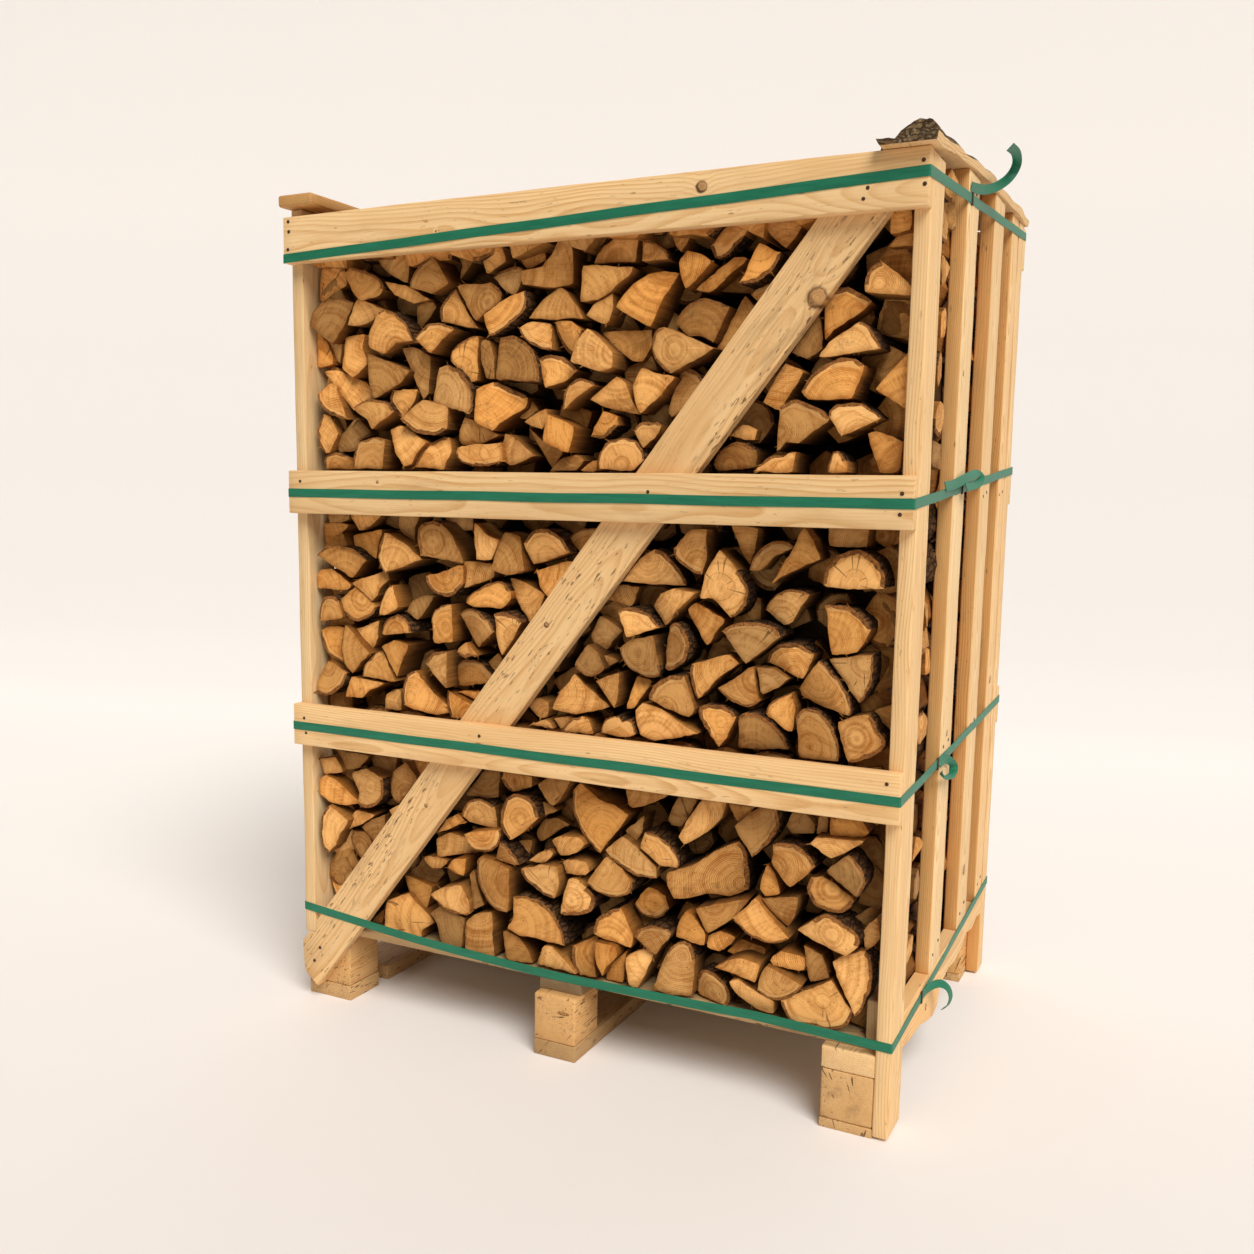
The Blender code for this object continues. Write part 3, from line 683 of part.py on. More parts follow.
def strap_stations(corners, droop, front_y, back_y):
    """Stations round the crate, anticlockwise from its front left corner, with each corner turned in two."""
    left = -GAP
    right = WIDTH + GAP
    turns = (
        ((left, front_y), corners[0], (1, 0)),
        ((right, front_y), corners[1], (0, 1)),
        ((right, back_y), corners[2], (-1, 0)),
        ((left, back_y), corners[3], (0, -1)),
    )
    stations = []
    for number, ((x, y), height, onward) in enumerate(turns):
        (next_x, next_y), next_height, _ = turns[(number + 1) % 4]
        length = math.hypot(next_x - x, next_y - y)
        sag = droop if number == 0 else 0.0
        steps = 8 if sag else 1
        for step in range(steps + 1):
            run = CORNER_ROUND + (length - 2 * CORNER_ROUND) * step / steps
            place = (x + onward[0] * run, y + onward[1] * run)
            stations.append(((*place, sagged(height, next_height, sag, step / steps)), (0, 0, 1)))
    return stations


def make_straps():
    """Each strap lies against the crate all round, and its loose end curls away from the right wall."""
    for name, corners in STRAP_CORNERS.items():
        droop = STRAP_DROOPS.get(name, 0.0)
        front_y, back_y = -GAP, DEPTH + GAP
        if name == "strap_base":
            front_y, back_y = POST_FRONT[0] - GAP, POST_BACK[1] + GAP
        strap = strip(name, strap_stations(corners, droop, front_y, back_y), True)
        tail = strip(f"{name}_loose_end", STRAP_TAILS[name], False, helper=True)
        union = strap.modifiers.new("loose_end", "BOOLEAN")
        union.operation = "UNION"
        union.object = tail


def signed_area(corners):
    following = corners[1:] + corners[:1]
    return sum(x * next_z - next_x * z for (x, z), (next_x, next_z) in zip(corners, following)) / 2


def trimmed(corners):
    """The corners without those that are nearly straight."""
    kept = []
    for number, corner in enumerate(corners):
        before = Vector(corners[number - 1]) - Vector(corner)
        after = Vector(corners[(number + 1) % len(corners)]) - Vector(corner)
        if math.degrees(before.angle(after)) < STRAIGHT_CORNER or len(corners) <= 4:
            kept.append(corner)
    return kept


def shrunk(corners):
    """The corners drawn in a little towards their middle, so that no two logs share a corner or a side."""
    middle_x = sum(x for x, _ in corners) / len(corners)
    middle_z = sum(z for _, z in corners) / len(corners)
    drawn_in = []
    for x, z in corners:
        drawn_in.append((middle_x + (x - middle_x) * LOG_SCALE, middle_z + (z - middle_z) * LOG_SCALE))
    return drawn_in


def table_logs(table, turned):
    """(corners in metres, set-back) of each log end of one tier. Turned, it is the crate's back face."""
    heights = [value for row in table for value in row[3::2]]
    low, high = min(heights), max(heights)
    scale = (PILE_X[1] - PILE_X[0]) / (TABLE_SPAN[1] - TABLE_SPAN[0])
    logs = []
    for set_back, _, *places in table:
        corners = []
        for across, up in zip(places[0::2], places[1::2]):
            x = PILE_X[0] + (across - TABLE_SPAN[0]) * scale
            if turned:
                x = PILE_X[0] + PILE_X[1] - x
                up = low + high - up
            corners.append((x, up / 100))
        logs.append((corners, set_back / 100))
    return logs


def wedge(rng, x, z, width, height):
    """A split log's end: a rough four-sided shape about a point."""
    return [
        (x - width / 2 * rng.uniform(0.8, 1.0), z - height / 2 * rng.uniform(0.75, 1.0)),
        (x + width / 2 * rng.uniform(0.75, 1.0), z - height / 2 * rng.uniform(0.8, 1.0)),
        (x + width / 2 * rng.uniform(0.7, 1.0), z + height / 2 * rng.uniform(0.7, 1.0)),
        (x - width / 2 * rng.uniform(0.6, 1.0), z + height / 2 * rng.uniform(0.8, 1.0)),
    ]


def course(rng, z_low, z_high, width):
    """One level course of logs across the pile."""
    count = round((PILE_X[1] - PILE_X[0]) / width)
    pitch = (PILE_X[1] - PILE_X[0]) / count
    middle = (z_low + z_high) / 2
    return [
        wedge(rng, PILE_X[0] + (number + 0.5) * pitch, middle, pitch - 0.004, z_high - z_low)
        for number in range(count)
    ]


def column(rng, side, z_low, z_high, height):
    """One upright column of logs at the pile's left or right side."""
    count = round((z_high - z_low) / height)
    pitch = (z_high - z_low) / count
    width = 0.075
    x = PILE_X[0] + width / 2 if side == "left" else PILE_X[1] - width / 2
    return [wedge(rng, x, z_low + (number + 0.5) * pitch, width, pitch - 0.003) for number in range(count)]


# Courses of logs that the table leaves out: those behind the rails of each tier, and along the pile's top.
RAIL_COURSES = (
    ((0.524, 0.5665, 0.165),),
    ((0.5735, 0.6065, 0.165), (0.989, 1.0265, 0.165)),
    ((1.0335, 1.0665, 0.165),),
)
TOP_COURSE = (1.4575, 1.5000, 0.105)


def behind_brace(rng, z_low, z_high, turned):
    """Logs along the brace, where it hides the pile, from the foot of the tier to its head."""
    logs = []
    z = z_low + 0.04
    while z < z_high - 0.03:
        x = brace_left_edge(z) + BRACE_FLAT_WIDTH / 2
        if turned:
            x = WIDTH - x
        logs.append(wedge(rng, x, z, 0.080, 0.062))
        z += 0.068
    return logs


def add_log(bm, corners, tip, end):
    """A log as a straight prism along y, from its visible tip to its other end."""
    corners = shrunk(corners)
    if (signed_area(corners) > 0) == (tip > end):
        corners.reverse()
    near = [bm.verts.new((x, tip, z)) for x, z in corners]
    far = [bm.verts.new((x, end, z)) for x, z in corners]
    bm.faces.new(near)
    bm.faces.new(reversed(far))
    for number in range(len(corners)):
        after = (number + 1) % len(corners)
        bm.faces.new((near[after], near[number], far[number], far[after]))


def pile_logs(rng, tier, row, bounds):
    """(corners, tip, end) of every log of one tier of one row."""
    tables = (LOWER_ENDS, MIDDLE_ENDS, UPPER_ENDS)
    near, far = bounds
    fillers = course(rng, *TOP_COURSE) if tier == 2 else []
    logs = []
    if row == "middle":
        low, high = TIER_SPLITS[tier] + 0.004, TIER_SPLITS[tier + 1] - 0.03
        for side in ("left", "right"):
            fillers += column(rng, side, low, high, 0.085)
        for corners in fillers:
            logs.append((corners, near + rng.uniform(0.0, 0.02), far - rng.uniform(0.0, 0.02)))
        return logs
    turned = row == "back"
    for low, high, width in RAIL_COURSES[tier]:
        fillers += course(rng, low, high, width)
    smallest = SMALLEST_BACK_LOG if turned else SMALLEST_FRONT_LOG
    tip_of = (lambda depth: far - depth) if turned else (lambda depth: near + depth)
    end = near if turned else far
    inward = -1 if turned else 1
    for corners, set_back in table_logs(tables[tier], turned):
        corners = trimmed(trimmed(corners) if turned else corners)
        if abs(signed_area(corners)) < smallest:
            continue
        at_edge = min(x for x, _ in corners) < 0.06 or max(x for x, _ in corners) > 1.14
        core_face = tip_of(CORE_BEHIND_TIPS) + inward * 0.012
        tip = tip_of(max(0.0, set_back))
        logs.append((corners, tip, end - inward * rng.uniform(0.004, 0.02) if at_edge else core_face))
    heights = [z for _, __, *places in tables[tier] for z in places[1::2]]
    fillers += behind_brace(rng, min(heights) / 100, max(heights) / 100, turned)
    for corners in fillers:
        logs.append((corners, tip_of(rng.uniform(0.008, 0.02)), end - inward * rng.uniform(0.004, 0.02)))
    return logs


def make_pile(name, tier, row, bounds, seed):
    """One row's logs in one tier, joined to the packed middle that carries them."""
    rng = random.Random(seed)
    near, far = bounds
    core_near = near + (CORE_BEHIND_TIPS if row == "front" else 0.026)
    core_far = far - (CORE_BEHIND_TIPS if row == "back" else 0.026)
    low = TIER_SPLITS[tier] + TIER_SPACING / 2
    high = TIER_SPLITS[tier + 1] - TIER_SPACING / 2
    across = (PILE_X[0] + CORE_INSET, PILE_X[1] - CORE_INSET)
    core_top = high + (0.04 if tier == 2 else 0.0)
    pile = board(name, across, (core_near, core_far), (low, core_top), FIREWOOD, 0)
    bm = bmesh.new()
    for corners, tip, end in pile_logs(rng, tier, row, bounds):
        add_log(bm, corners, tip, end)
    logs = from_bmesh(bm, f"{name}_logs", FIREWOOD, helper=True)
    union = pile.modifiers.new("logs", "BOOLEAN")
    union.operation = "UNION"
    union.use_self = True
    union.object = logs


def make_piles():
    depth = (PILE_Y[1] - PILE_Y[0] - 2 * ROW_SPACING) / 3
    for number, row in enumerate(("front", "middle", "back")):
        near = PILE_Y[0] + number * (depth + ROW_SPACING)
        for tier, level in enumerate(("lower", "middle", "upper")):
            make_pile(f"logs_{row}_{level}", tier, row, (near, near + depth), 10 * number + tier)


make_rails()
make_braces()
make_walls()
make_deck_and_feet()
make_cap_board()
make_bark_slab()
make_straps()
make_piles()
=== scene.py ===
# The looks of the firewood crate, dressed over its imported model: sawn pine with knots and worn edges, split
# logs with bark, growth rings and drying cracks, green plastic straps, nails, and the studio round it.
# Lengths are in metres. Crate coordinates have x = 0 at the crate's left side, y = 0 at the front face of
# the front rails and z = 0 on the floor, as in the part's source; at() turns them into the frame's.

import collections
import json
import math
import random

import bmesh
import bpy
import numpy as np
from mathutils import Matrix, Vector, noise


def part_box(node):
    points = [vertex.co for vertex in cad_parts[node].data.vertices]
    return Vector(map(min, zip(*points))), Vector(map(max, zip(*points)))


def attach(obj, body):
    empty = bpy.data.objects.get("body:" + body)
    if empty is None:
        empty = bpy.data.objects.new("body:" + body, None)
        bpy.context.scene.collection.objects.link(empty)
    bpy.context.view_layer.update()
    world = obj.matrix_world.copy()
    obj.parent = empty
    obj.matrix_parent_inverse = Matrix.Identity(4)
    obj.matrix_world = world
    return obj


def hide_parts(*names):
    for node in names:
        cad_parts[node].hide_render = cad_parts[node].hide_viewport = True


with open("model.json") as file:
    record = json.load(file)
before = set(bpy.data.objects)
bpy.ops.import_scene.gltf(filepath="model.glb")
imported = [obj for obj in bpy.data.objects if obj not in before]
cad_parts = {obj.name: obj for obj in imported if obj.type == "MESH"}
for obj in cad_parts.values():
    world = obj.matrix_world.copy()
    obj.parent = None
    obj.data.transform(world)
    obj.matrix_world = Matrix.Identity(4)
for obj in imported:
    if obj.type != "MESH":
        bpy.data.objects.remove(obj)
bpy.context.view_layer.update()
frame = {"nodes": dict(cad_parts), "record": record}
# Without a seed, noise_vector() would take its offsets from the clock.
NOISE_SEED = 5
noise.seed_set(NOISE_SEED)

RAIL_LOW, RAIL_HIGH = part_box("rail_front_top")
CORNER = Vector((RAIL_LOW.x, RAIL_LOW.y, 0.0))
WIDTH = RAIL_HIGH.x - RAIL_LOW.x
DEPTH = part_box("rail_back_top")[1].y - RAIL_LOW.y

CAMERA_PLACE = (1.6149, -1.7898, 1.0323)
CAMERA_YAW = -0.4593
CAMERA_PITCH = 0.1348
CAMERA_ROLL = -0.0159
CAMERA_LENS = 34.42
CAMERA_SHIFT_Y = 0.0225

PILE_X = (0.0285, 1.1715)
PILE_Y = (0.0475, 0.8290)
PILE_WIDTH = PILE_X[1] - PILE_X[0]
ROW_SPACING = 0.004
ROW_DEPTH = (PILE_Y[1] - PILE_Y[0] - 2 * ROW_SPACING) / 3
TIER_HEIGHTS = ((0.158, 0.568), (0.572, 1.028), (1.032, 1.500))
TABLE_SPAN = (-0.8, 117.2)
TABLE_SCALE = PILE_WIDTH / (TABLE_SPAN[1] - TABLE_SPAN[0])
BRACE_LEFT_AT_FOOT = 0.0097
BRACE_SLOPE = 0.779
BRACE_FLAT_WIDTH = 0.110
POST_LEFT_FOOT = 0.141

# Log ends of the front face, in centimetres: how far the end stands back, how many of its first corners run
# along bark, then its corners (across, up) in order round it.
UPPER_ENDS = (
    (3, 0, 3, 145.5, 2, 141.5, 2.2, 138.6, 3, 138.2, 10.4, 141, 8.5, 145.5),
    (1, 4, 11, 144, 15, 143, 18, 141.2, 18.5, 139.8, 17.5, 138.7, 13.5, 137.9, 11.8, 139.2, 9.2, 143.2),
    (3, 0, 16, 145.5, 25, 145.5, 24.8, 140.4, 19, 142.7),
    (2, 0, 19, 141.2, 24, 140.1, 30, 137.2, 26, 136.6, 21.5, 138.5),
    (0, 4, 25, 139.6, 25.2, 141.3, 27, 143.4, 29.7, 144.8, 30.8, 144.4, 33.8, 139.8, 30, 138.2),
    (5, 0, 35.5, 145.3, 39, 143.3, 36.1, 140.2, 36.8, 142.5),
    (0, 4, -0.8, 134, 1.2, 137, 5.5, 138.6, 10.8, 138, 10.2, 136.6, 5.7, 130.2),
    (1, 0, 12.3, 138.4, 18.2, 136.2, 15, 134, 12, 133.2, 9.9, 133.4),
    (0, 5, 25.7, 130.2, 24.3, 132.8, 21.8, 135, 19.3, 136, 17.8, 135.6, 15, 131.5, 15.2, 129.2,
     18.6, 127.9, 21.6, 129.8),
    (3, 0, 25.6, 132.2, 26.8, 136.4, 30.6, 137, 31.2, 135.8, 28.5, 133.6),
    (1, 4, 32.1, 133.2, 31.8, 135.8, 32.8, 138, 34, 139.2, 39.8, 131.6),
    (1, 3, 42.5, 139.4, 44.3, 138.4, 45.1, 136.4, 41.2, 134, 39.6, 132.8, 35.2, 139.4),
    (2, 0, -0.8, 133, 1, 132.7, 4.6, 130.8, 6.3, 128, 6.2, 126.4, -0.8, 126),
    (1, 0, 7.2, 131.9, 14, 132, 13.5, 129.6, 14.8, 127.5, 14.7, 126.3, 11.3, 123.6, 8.1, 125.7),
    (1, 0, 14.9, 128.4, 25.2, 124.8, 22.5, 122.4, 16.5, 119.7, 15.4, 122.5),
    (3, 0, 23.1, 129, 26, 128.9, 29.8, 127.3, 29.2, 120.5, 27.9, 119.3),
    (0, 4, 26.2, 130.5, 28.8, 132.6, 31.2, 133, 35, 131.9, 32, 130.2, 29.4, 127.5),
    (1, 4, 34.2, 126.3, 34.5, 128, 37.2, 129.8, 39.8, 130.6, 39.9, 127, 39.7, 122.6, 38.3, 122.4),
    (0, 4, 0.5, 121.3, 2.3, 119.3, 5, 117.5, 9.7, 116.1, 8, 119.8, 5.6, 123.4, 4.7, 123.4),
    (1, 0, 3.6, 125.3, 7.4, 125.4, 12.3, 123.2, 15.4, 120.8, 10.6, 117.6, 5.7, 123.4),
    (0, 4, 11.3, 118.3, 14.5, 119.6, 18.5, 119.4, 21.3, 117.6, 15.8, 114.1, 14.7, 116.2),
    (2, 4, 23, 116.3, 21.3, 118, 20.4, 120, 21, 121.4, 26.7, 121.6, 26, 119.2),
    (0, 5, 32.6, 114.2, 30, 113.2, 27, 113.5, 24, 115, 22.7, 116.1, 27.3, 119.7, 30, 119, 33, 118.5),
    (0, 5, 32.5, 125.6, 36, 124.5, 38, 122, 38.8, 119.5, 38.2, 116.6, 29, 119.2, 30.1, 125.5),
    (1, 4, 3.8, 109.7, 1.8, 111.8, 1.3, 114.3, 2.9, 117.5, 5.2, 116.7, 7.2, 113.5, 5, 110),
    (2, 0, 6.8, 112.5, 12.2, 116.6, 15, 113.3, 12.5, 112.4, 11.6, 110.3, 7.1, 110),
    (1, 4, 3.3, 106.8, 3.8, 109, 6.5, 109.9, 9, 109.3, 11.2, 106.8),
    (0, 4, 11.1, 106.9, 11.9, 110.8, 14.2, 112.4, 18.9, 112.5, 18.3, 106.8),
    (0, 0, 18, 114.5, 21, 115, 25, 113.7, 28.9, 111.8, 26.4, 109.8, 25.3, 107.8, 23.3, 107.2),
    (1, 4, 26, 107.3, 27.6, 110.3, 30, 112.2, 32.3, 112.8, 33.8, 110.3, 32.6, 106.8),
    (2, 0, 34.8, 112.2, 37, 116.3, 40, 115.3, 44.6, 112.9, 39.5, 111.2, 35.5, 111.4),
    (0, 4, 45.2, 108.3, 41, 107.6, 37, 108, 34.8, 109.8, 35.5, 110.9, 45, 111.8),
    (2, 0, 40.1, 145.5, 41.5, 140.9, 42.8, 141, 45.9, 142.8, 45, 145.5),
    (3, 0, 47, 145.5, 50, 141.2, 53.8, 142.4, 53.4, 145.5),
    (1, 3, 42.4, 140.5, 44.5, 141.5, 48.2, 141.8, 49.3, 140.8, 47.6, 137, 46, 137.8),
    (1, 0, 48.8, 141, 53.2, 141.5, 55.2, 143.4, 56.2, 145.5, 59.1, 145.5, 58.4, 138.6, 55, 137.8, 49, 138.7),
    (3, 0, 60.5, 145.5, 61, 143.3, 64.5, 144, 66, 145.5),
    (2, 0, 62.6, 141.3, 64.8, 144.2, 67.5, 145.5, 71.6, 145.5, 71, 140.8, 67.5, 141.4),
    (1, 4, 72.2, 144.3, 74.5, 143.6, 76.3, 142.3, 77, 141.1, 72, 140.9),
    (3, 0, 77, 145.5, 81.2, 145.5, 79.2, 141.9),
    (0, 5, 49.8, 137.8, 49.7, 134.8, 47.5, 132.8, 44.5, 131, 42.4, 130.3, 41, 134, 45.2, 136.4),
    (1, 0, 50, 132.9, 52.6, 136.4, 55.6, 138.3, 57.6, 137, 60, 134.6, 61.5, 132.2),
    (0, 0, 60.9, 141.2, 70.4, 140.2, 69.8, 138.9, 66.5, 136.6, 63.5, 135.2, 60, 135.4),
    (1, 0, 61.5, 132.9, 63, 134.4, 66.9, 136.4, 67, 134.2, 65.6, 131.1),
    (0, 0, 67, 134, 69.8, 137, 72.8, 139.2, 75.5, 139.7, 78.4, 139.3, 76, 134.5, 73.8, 130.4),
    (0, 0, 78.4, 140.5, 80, 142.4, 83.2, 141.3, 85, 140.1, 79.4, 136.2),
    (0, 4, 48.4, 131.4, 50, 129.4, 52.2, 128, 54.9, 127.5, 54.4, 132.2, 51, 132.4),
    (1, 4, 55.2, 132.2, 55.3, 130.3, 57, 127.6, 59.3, 126.2, 60.2, 129, 61.2, 130.6, 59, 132),
    (-1, 0, 58.7, 125.3, 60, 129, 62, 131, 67, 126.7, 66.9, 124, 64.5, 123.5),
    (3, 0, 64.8, 129.9, 74, 130.2, 73.6, 127.2, 72.2, 125, 70.4, 125, 67.5, 127),
    (0, 5, 77.5, 122.9, 75.3, 124.5, 74.3, 127, 74.8, 129.5, 76.3, 130.4, 79.5, 129.3, 85.4, 126.6, 80, 124),
    (1, 4, 52.3, 126, 54.5, 126.6, 57.8, 125.6, 60, 123.9, 58.2, 122.3, 53.8, 120.8),
    (0, 0, 40.4, 129.7, 42.4, 129.7, 43.3, 126.5, 43.2, 122.8, 41.2, 123, 40.1, 126.5),
    (0, 5, 44, 130.2, 47.5, 130, 50.8, 127.8, 52.3, 125, 52.6, 122, 43.4, 122.8, 43.7, 126.5),
    (0, 3, 42.5, 122.4, 46.2, 120.9, 48.4, 119.8, 48.2, 117.8, 45, 115.7, 43, 113.5, 39.1, 115.6,
     39.3, 121.2),
    (4, 0, 48.5, 119.6, 50.3, 119.8, 52.5, 117.2, 50, 115.7, 48.4, 116),
    (1, 0, 49.3, 115.2, 52.3, 117, 54, 117.7, 54.4, 116, 53.4, 113.7),
    (0, 5, 57.3, 117.1, 57.4, 119.8, 59.2, 121.8, 61.5, 122.3, 63.8, 121.3, 60, 119.3),
    (1, 0, 62.2, 118.9, 67.7, 122.7, 69.5, 121.5, 72.1, 116, 66, 117.4),
    (0, 0, 70.3, 121, 71.8, 124, 74.8, 123.2, 78.6, 122.2, 75.5, 119, 72.3, 116.2, 71, 118.5),
    (1, 3, 79.8, 123.8, 82, 123, 84.5, 120.9, 83, 118.5, 78, 115.4, 77.2, 116.3, 79, 121.5),
    (0, 0, 54.2, 116.8, 60, 114.3, 58.7, 109.7, 53.2, 111.8),
    (3, 0, 50.4, 114.4, 53.2, 112, 57.8, 110.2, 55.3, 107.2),
    (1, 0, 45.2, 110, 45.5, 113.4, 47.2, 112.7, 52.4, 109.3, 46.8, 107.6, 45.4, 108.6),
    (2, 0, 54.8, 106.8, 57.2, 109, 59.8, 109.8, 61.7, 108.6, 60, 106.8),
    (3, 0, 60.6, 106.8, 62.8, 108.2, 64.3, 108.7, 64.2, 106.8),
    (0, 6, 64.5, 107, 64.8, 110, 66.5, 111.8, 69.5, 112.3, 72, 111.2, 73, 108.7, 71.2, 106.8),
    (1, 3, 68.2, 114.6, 65.5, 112.6, 62.8, 112.7, 65.2, 117.1, 68.3, 116.1),
    (0, 3, 71, 113.7, 72, 114.8, 76.4, 114.7, 75, 112.2, 72.9, 110.5),
    (2, 4, 90, 143.8, 87.5, 141.3, 85.2, 140.6, 84.4, 142.5, 87, 145.5, 90.8, 145.5),
    (2, 0, 93, 145.5, 95, 143, 97, 141.2, 98.5, 142.8, 100, 145.5),
    (3, 0, 113, 140.2, 115, 142, 117.2, 144.3, 117.2, 140.2),
    (1, 0, 114.2, 145.5, 114.8, 143.2, 117.2, 144.9, 117.2, 145.5),
    (3, 0, 81.6, 135.9, 85, 138.2, 88.5, 140.6, 90.8, 140.3, 88, 138, 84.2, 135.2),
    (0, 4, 96, 140.8, 95, 138.5, 92.5, 136.7, 89.2, 136.3, 92.5, 142.6),
    (2, 3, 91.2, 134.7, 94, 136, 98, 137, 99, 134, 93.8, 132.4),
    (1, 4, 77.4, 131, 79.5, 133.6, 83, 134.5, 87.8, 133, 85.3, 127.1, 82.8, 128.7, 80.8, 128.5),
    (2, 0, 85.6, 126.2, 90.2, 134.7, 93.5, 131.5, 91, 126),
    (0, 3, 104.5, 134.4, 107, 134.9, 110.8, 132.6, 109, 130.7, 106, 128.9, 103.8, 127, 103.3, 132),
    (1, 3, 109.8, 135, 110.5, 137.4, 112.2, 138.3, 115.5, 135.8, 117.2, 134.4, 116.9, 133, 109.6, 133.8),
    (0, 3, 109.2, 129.8, 111.2, 128, 112.7, 125.5, 102.7, 124.5, 105, 127.4),
    (2, 0, 98, 125.4, 102.8, 131, 103.6, 127.5, 103.6, 125.8, 100.8, 124.2),
    (1, 0, 111.7, 119.5, 117.2, 125, 117.2, 116.3),
    (3, 0, 84, 123, 88, 124.8, 86, 121.8),
    (1, 0, 93.6, 117.8, 97.5, 124, 100.6, 122.4, 96.8, 116.4),
    (0, 5, 99.9, 119.5, 101.5, 121.7, 104.3, 123.5, 107.3, 124.2, 110.3, 123.2, 108.5, 118.1, 101, 118),
    (0, 4, 96.7, 117, 98.8, 118, 102.3, 117, 105.3, 115.2, 100, 111.3, 97.8, 111.6, 96.3, 110),
    (0, 5, 105, 115.5, 105.4, 116.9, 108.5, 117.4, 111, 116.7, 113.2, 115.1, 107, 112.3),
    (1, 0, 111.1, 112.9, 112.5, 113.3, 116.8, 111.6, 116.4, 107.5, 115.3, 106.8, 113.2, 106.8),
    (2, 0, 88.4, 112.6, 90.6, 114.6, 93.3, 113.6, 92.9, 111.8),
    (1, 4, 85.6, 108, 87.4, 110.6, 90.3, 111.6, 93, 110.3, 93, 107.6, 86.5, 107),
    (0, 3, 92.6, 106.8, 95.5, 109, 99.6, 110, 99.2, 106.8),
    (0, 4, 104.9, 106.8, 105.5, 109.2, 106.5, 110.2, 107.8, 108.6, 108.3, 106.8),
)
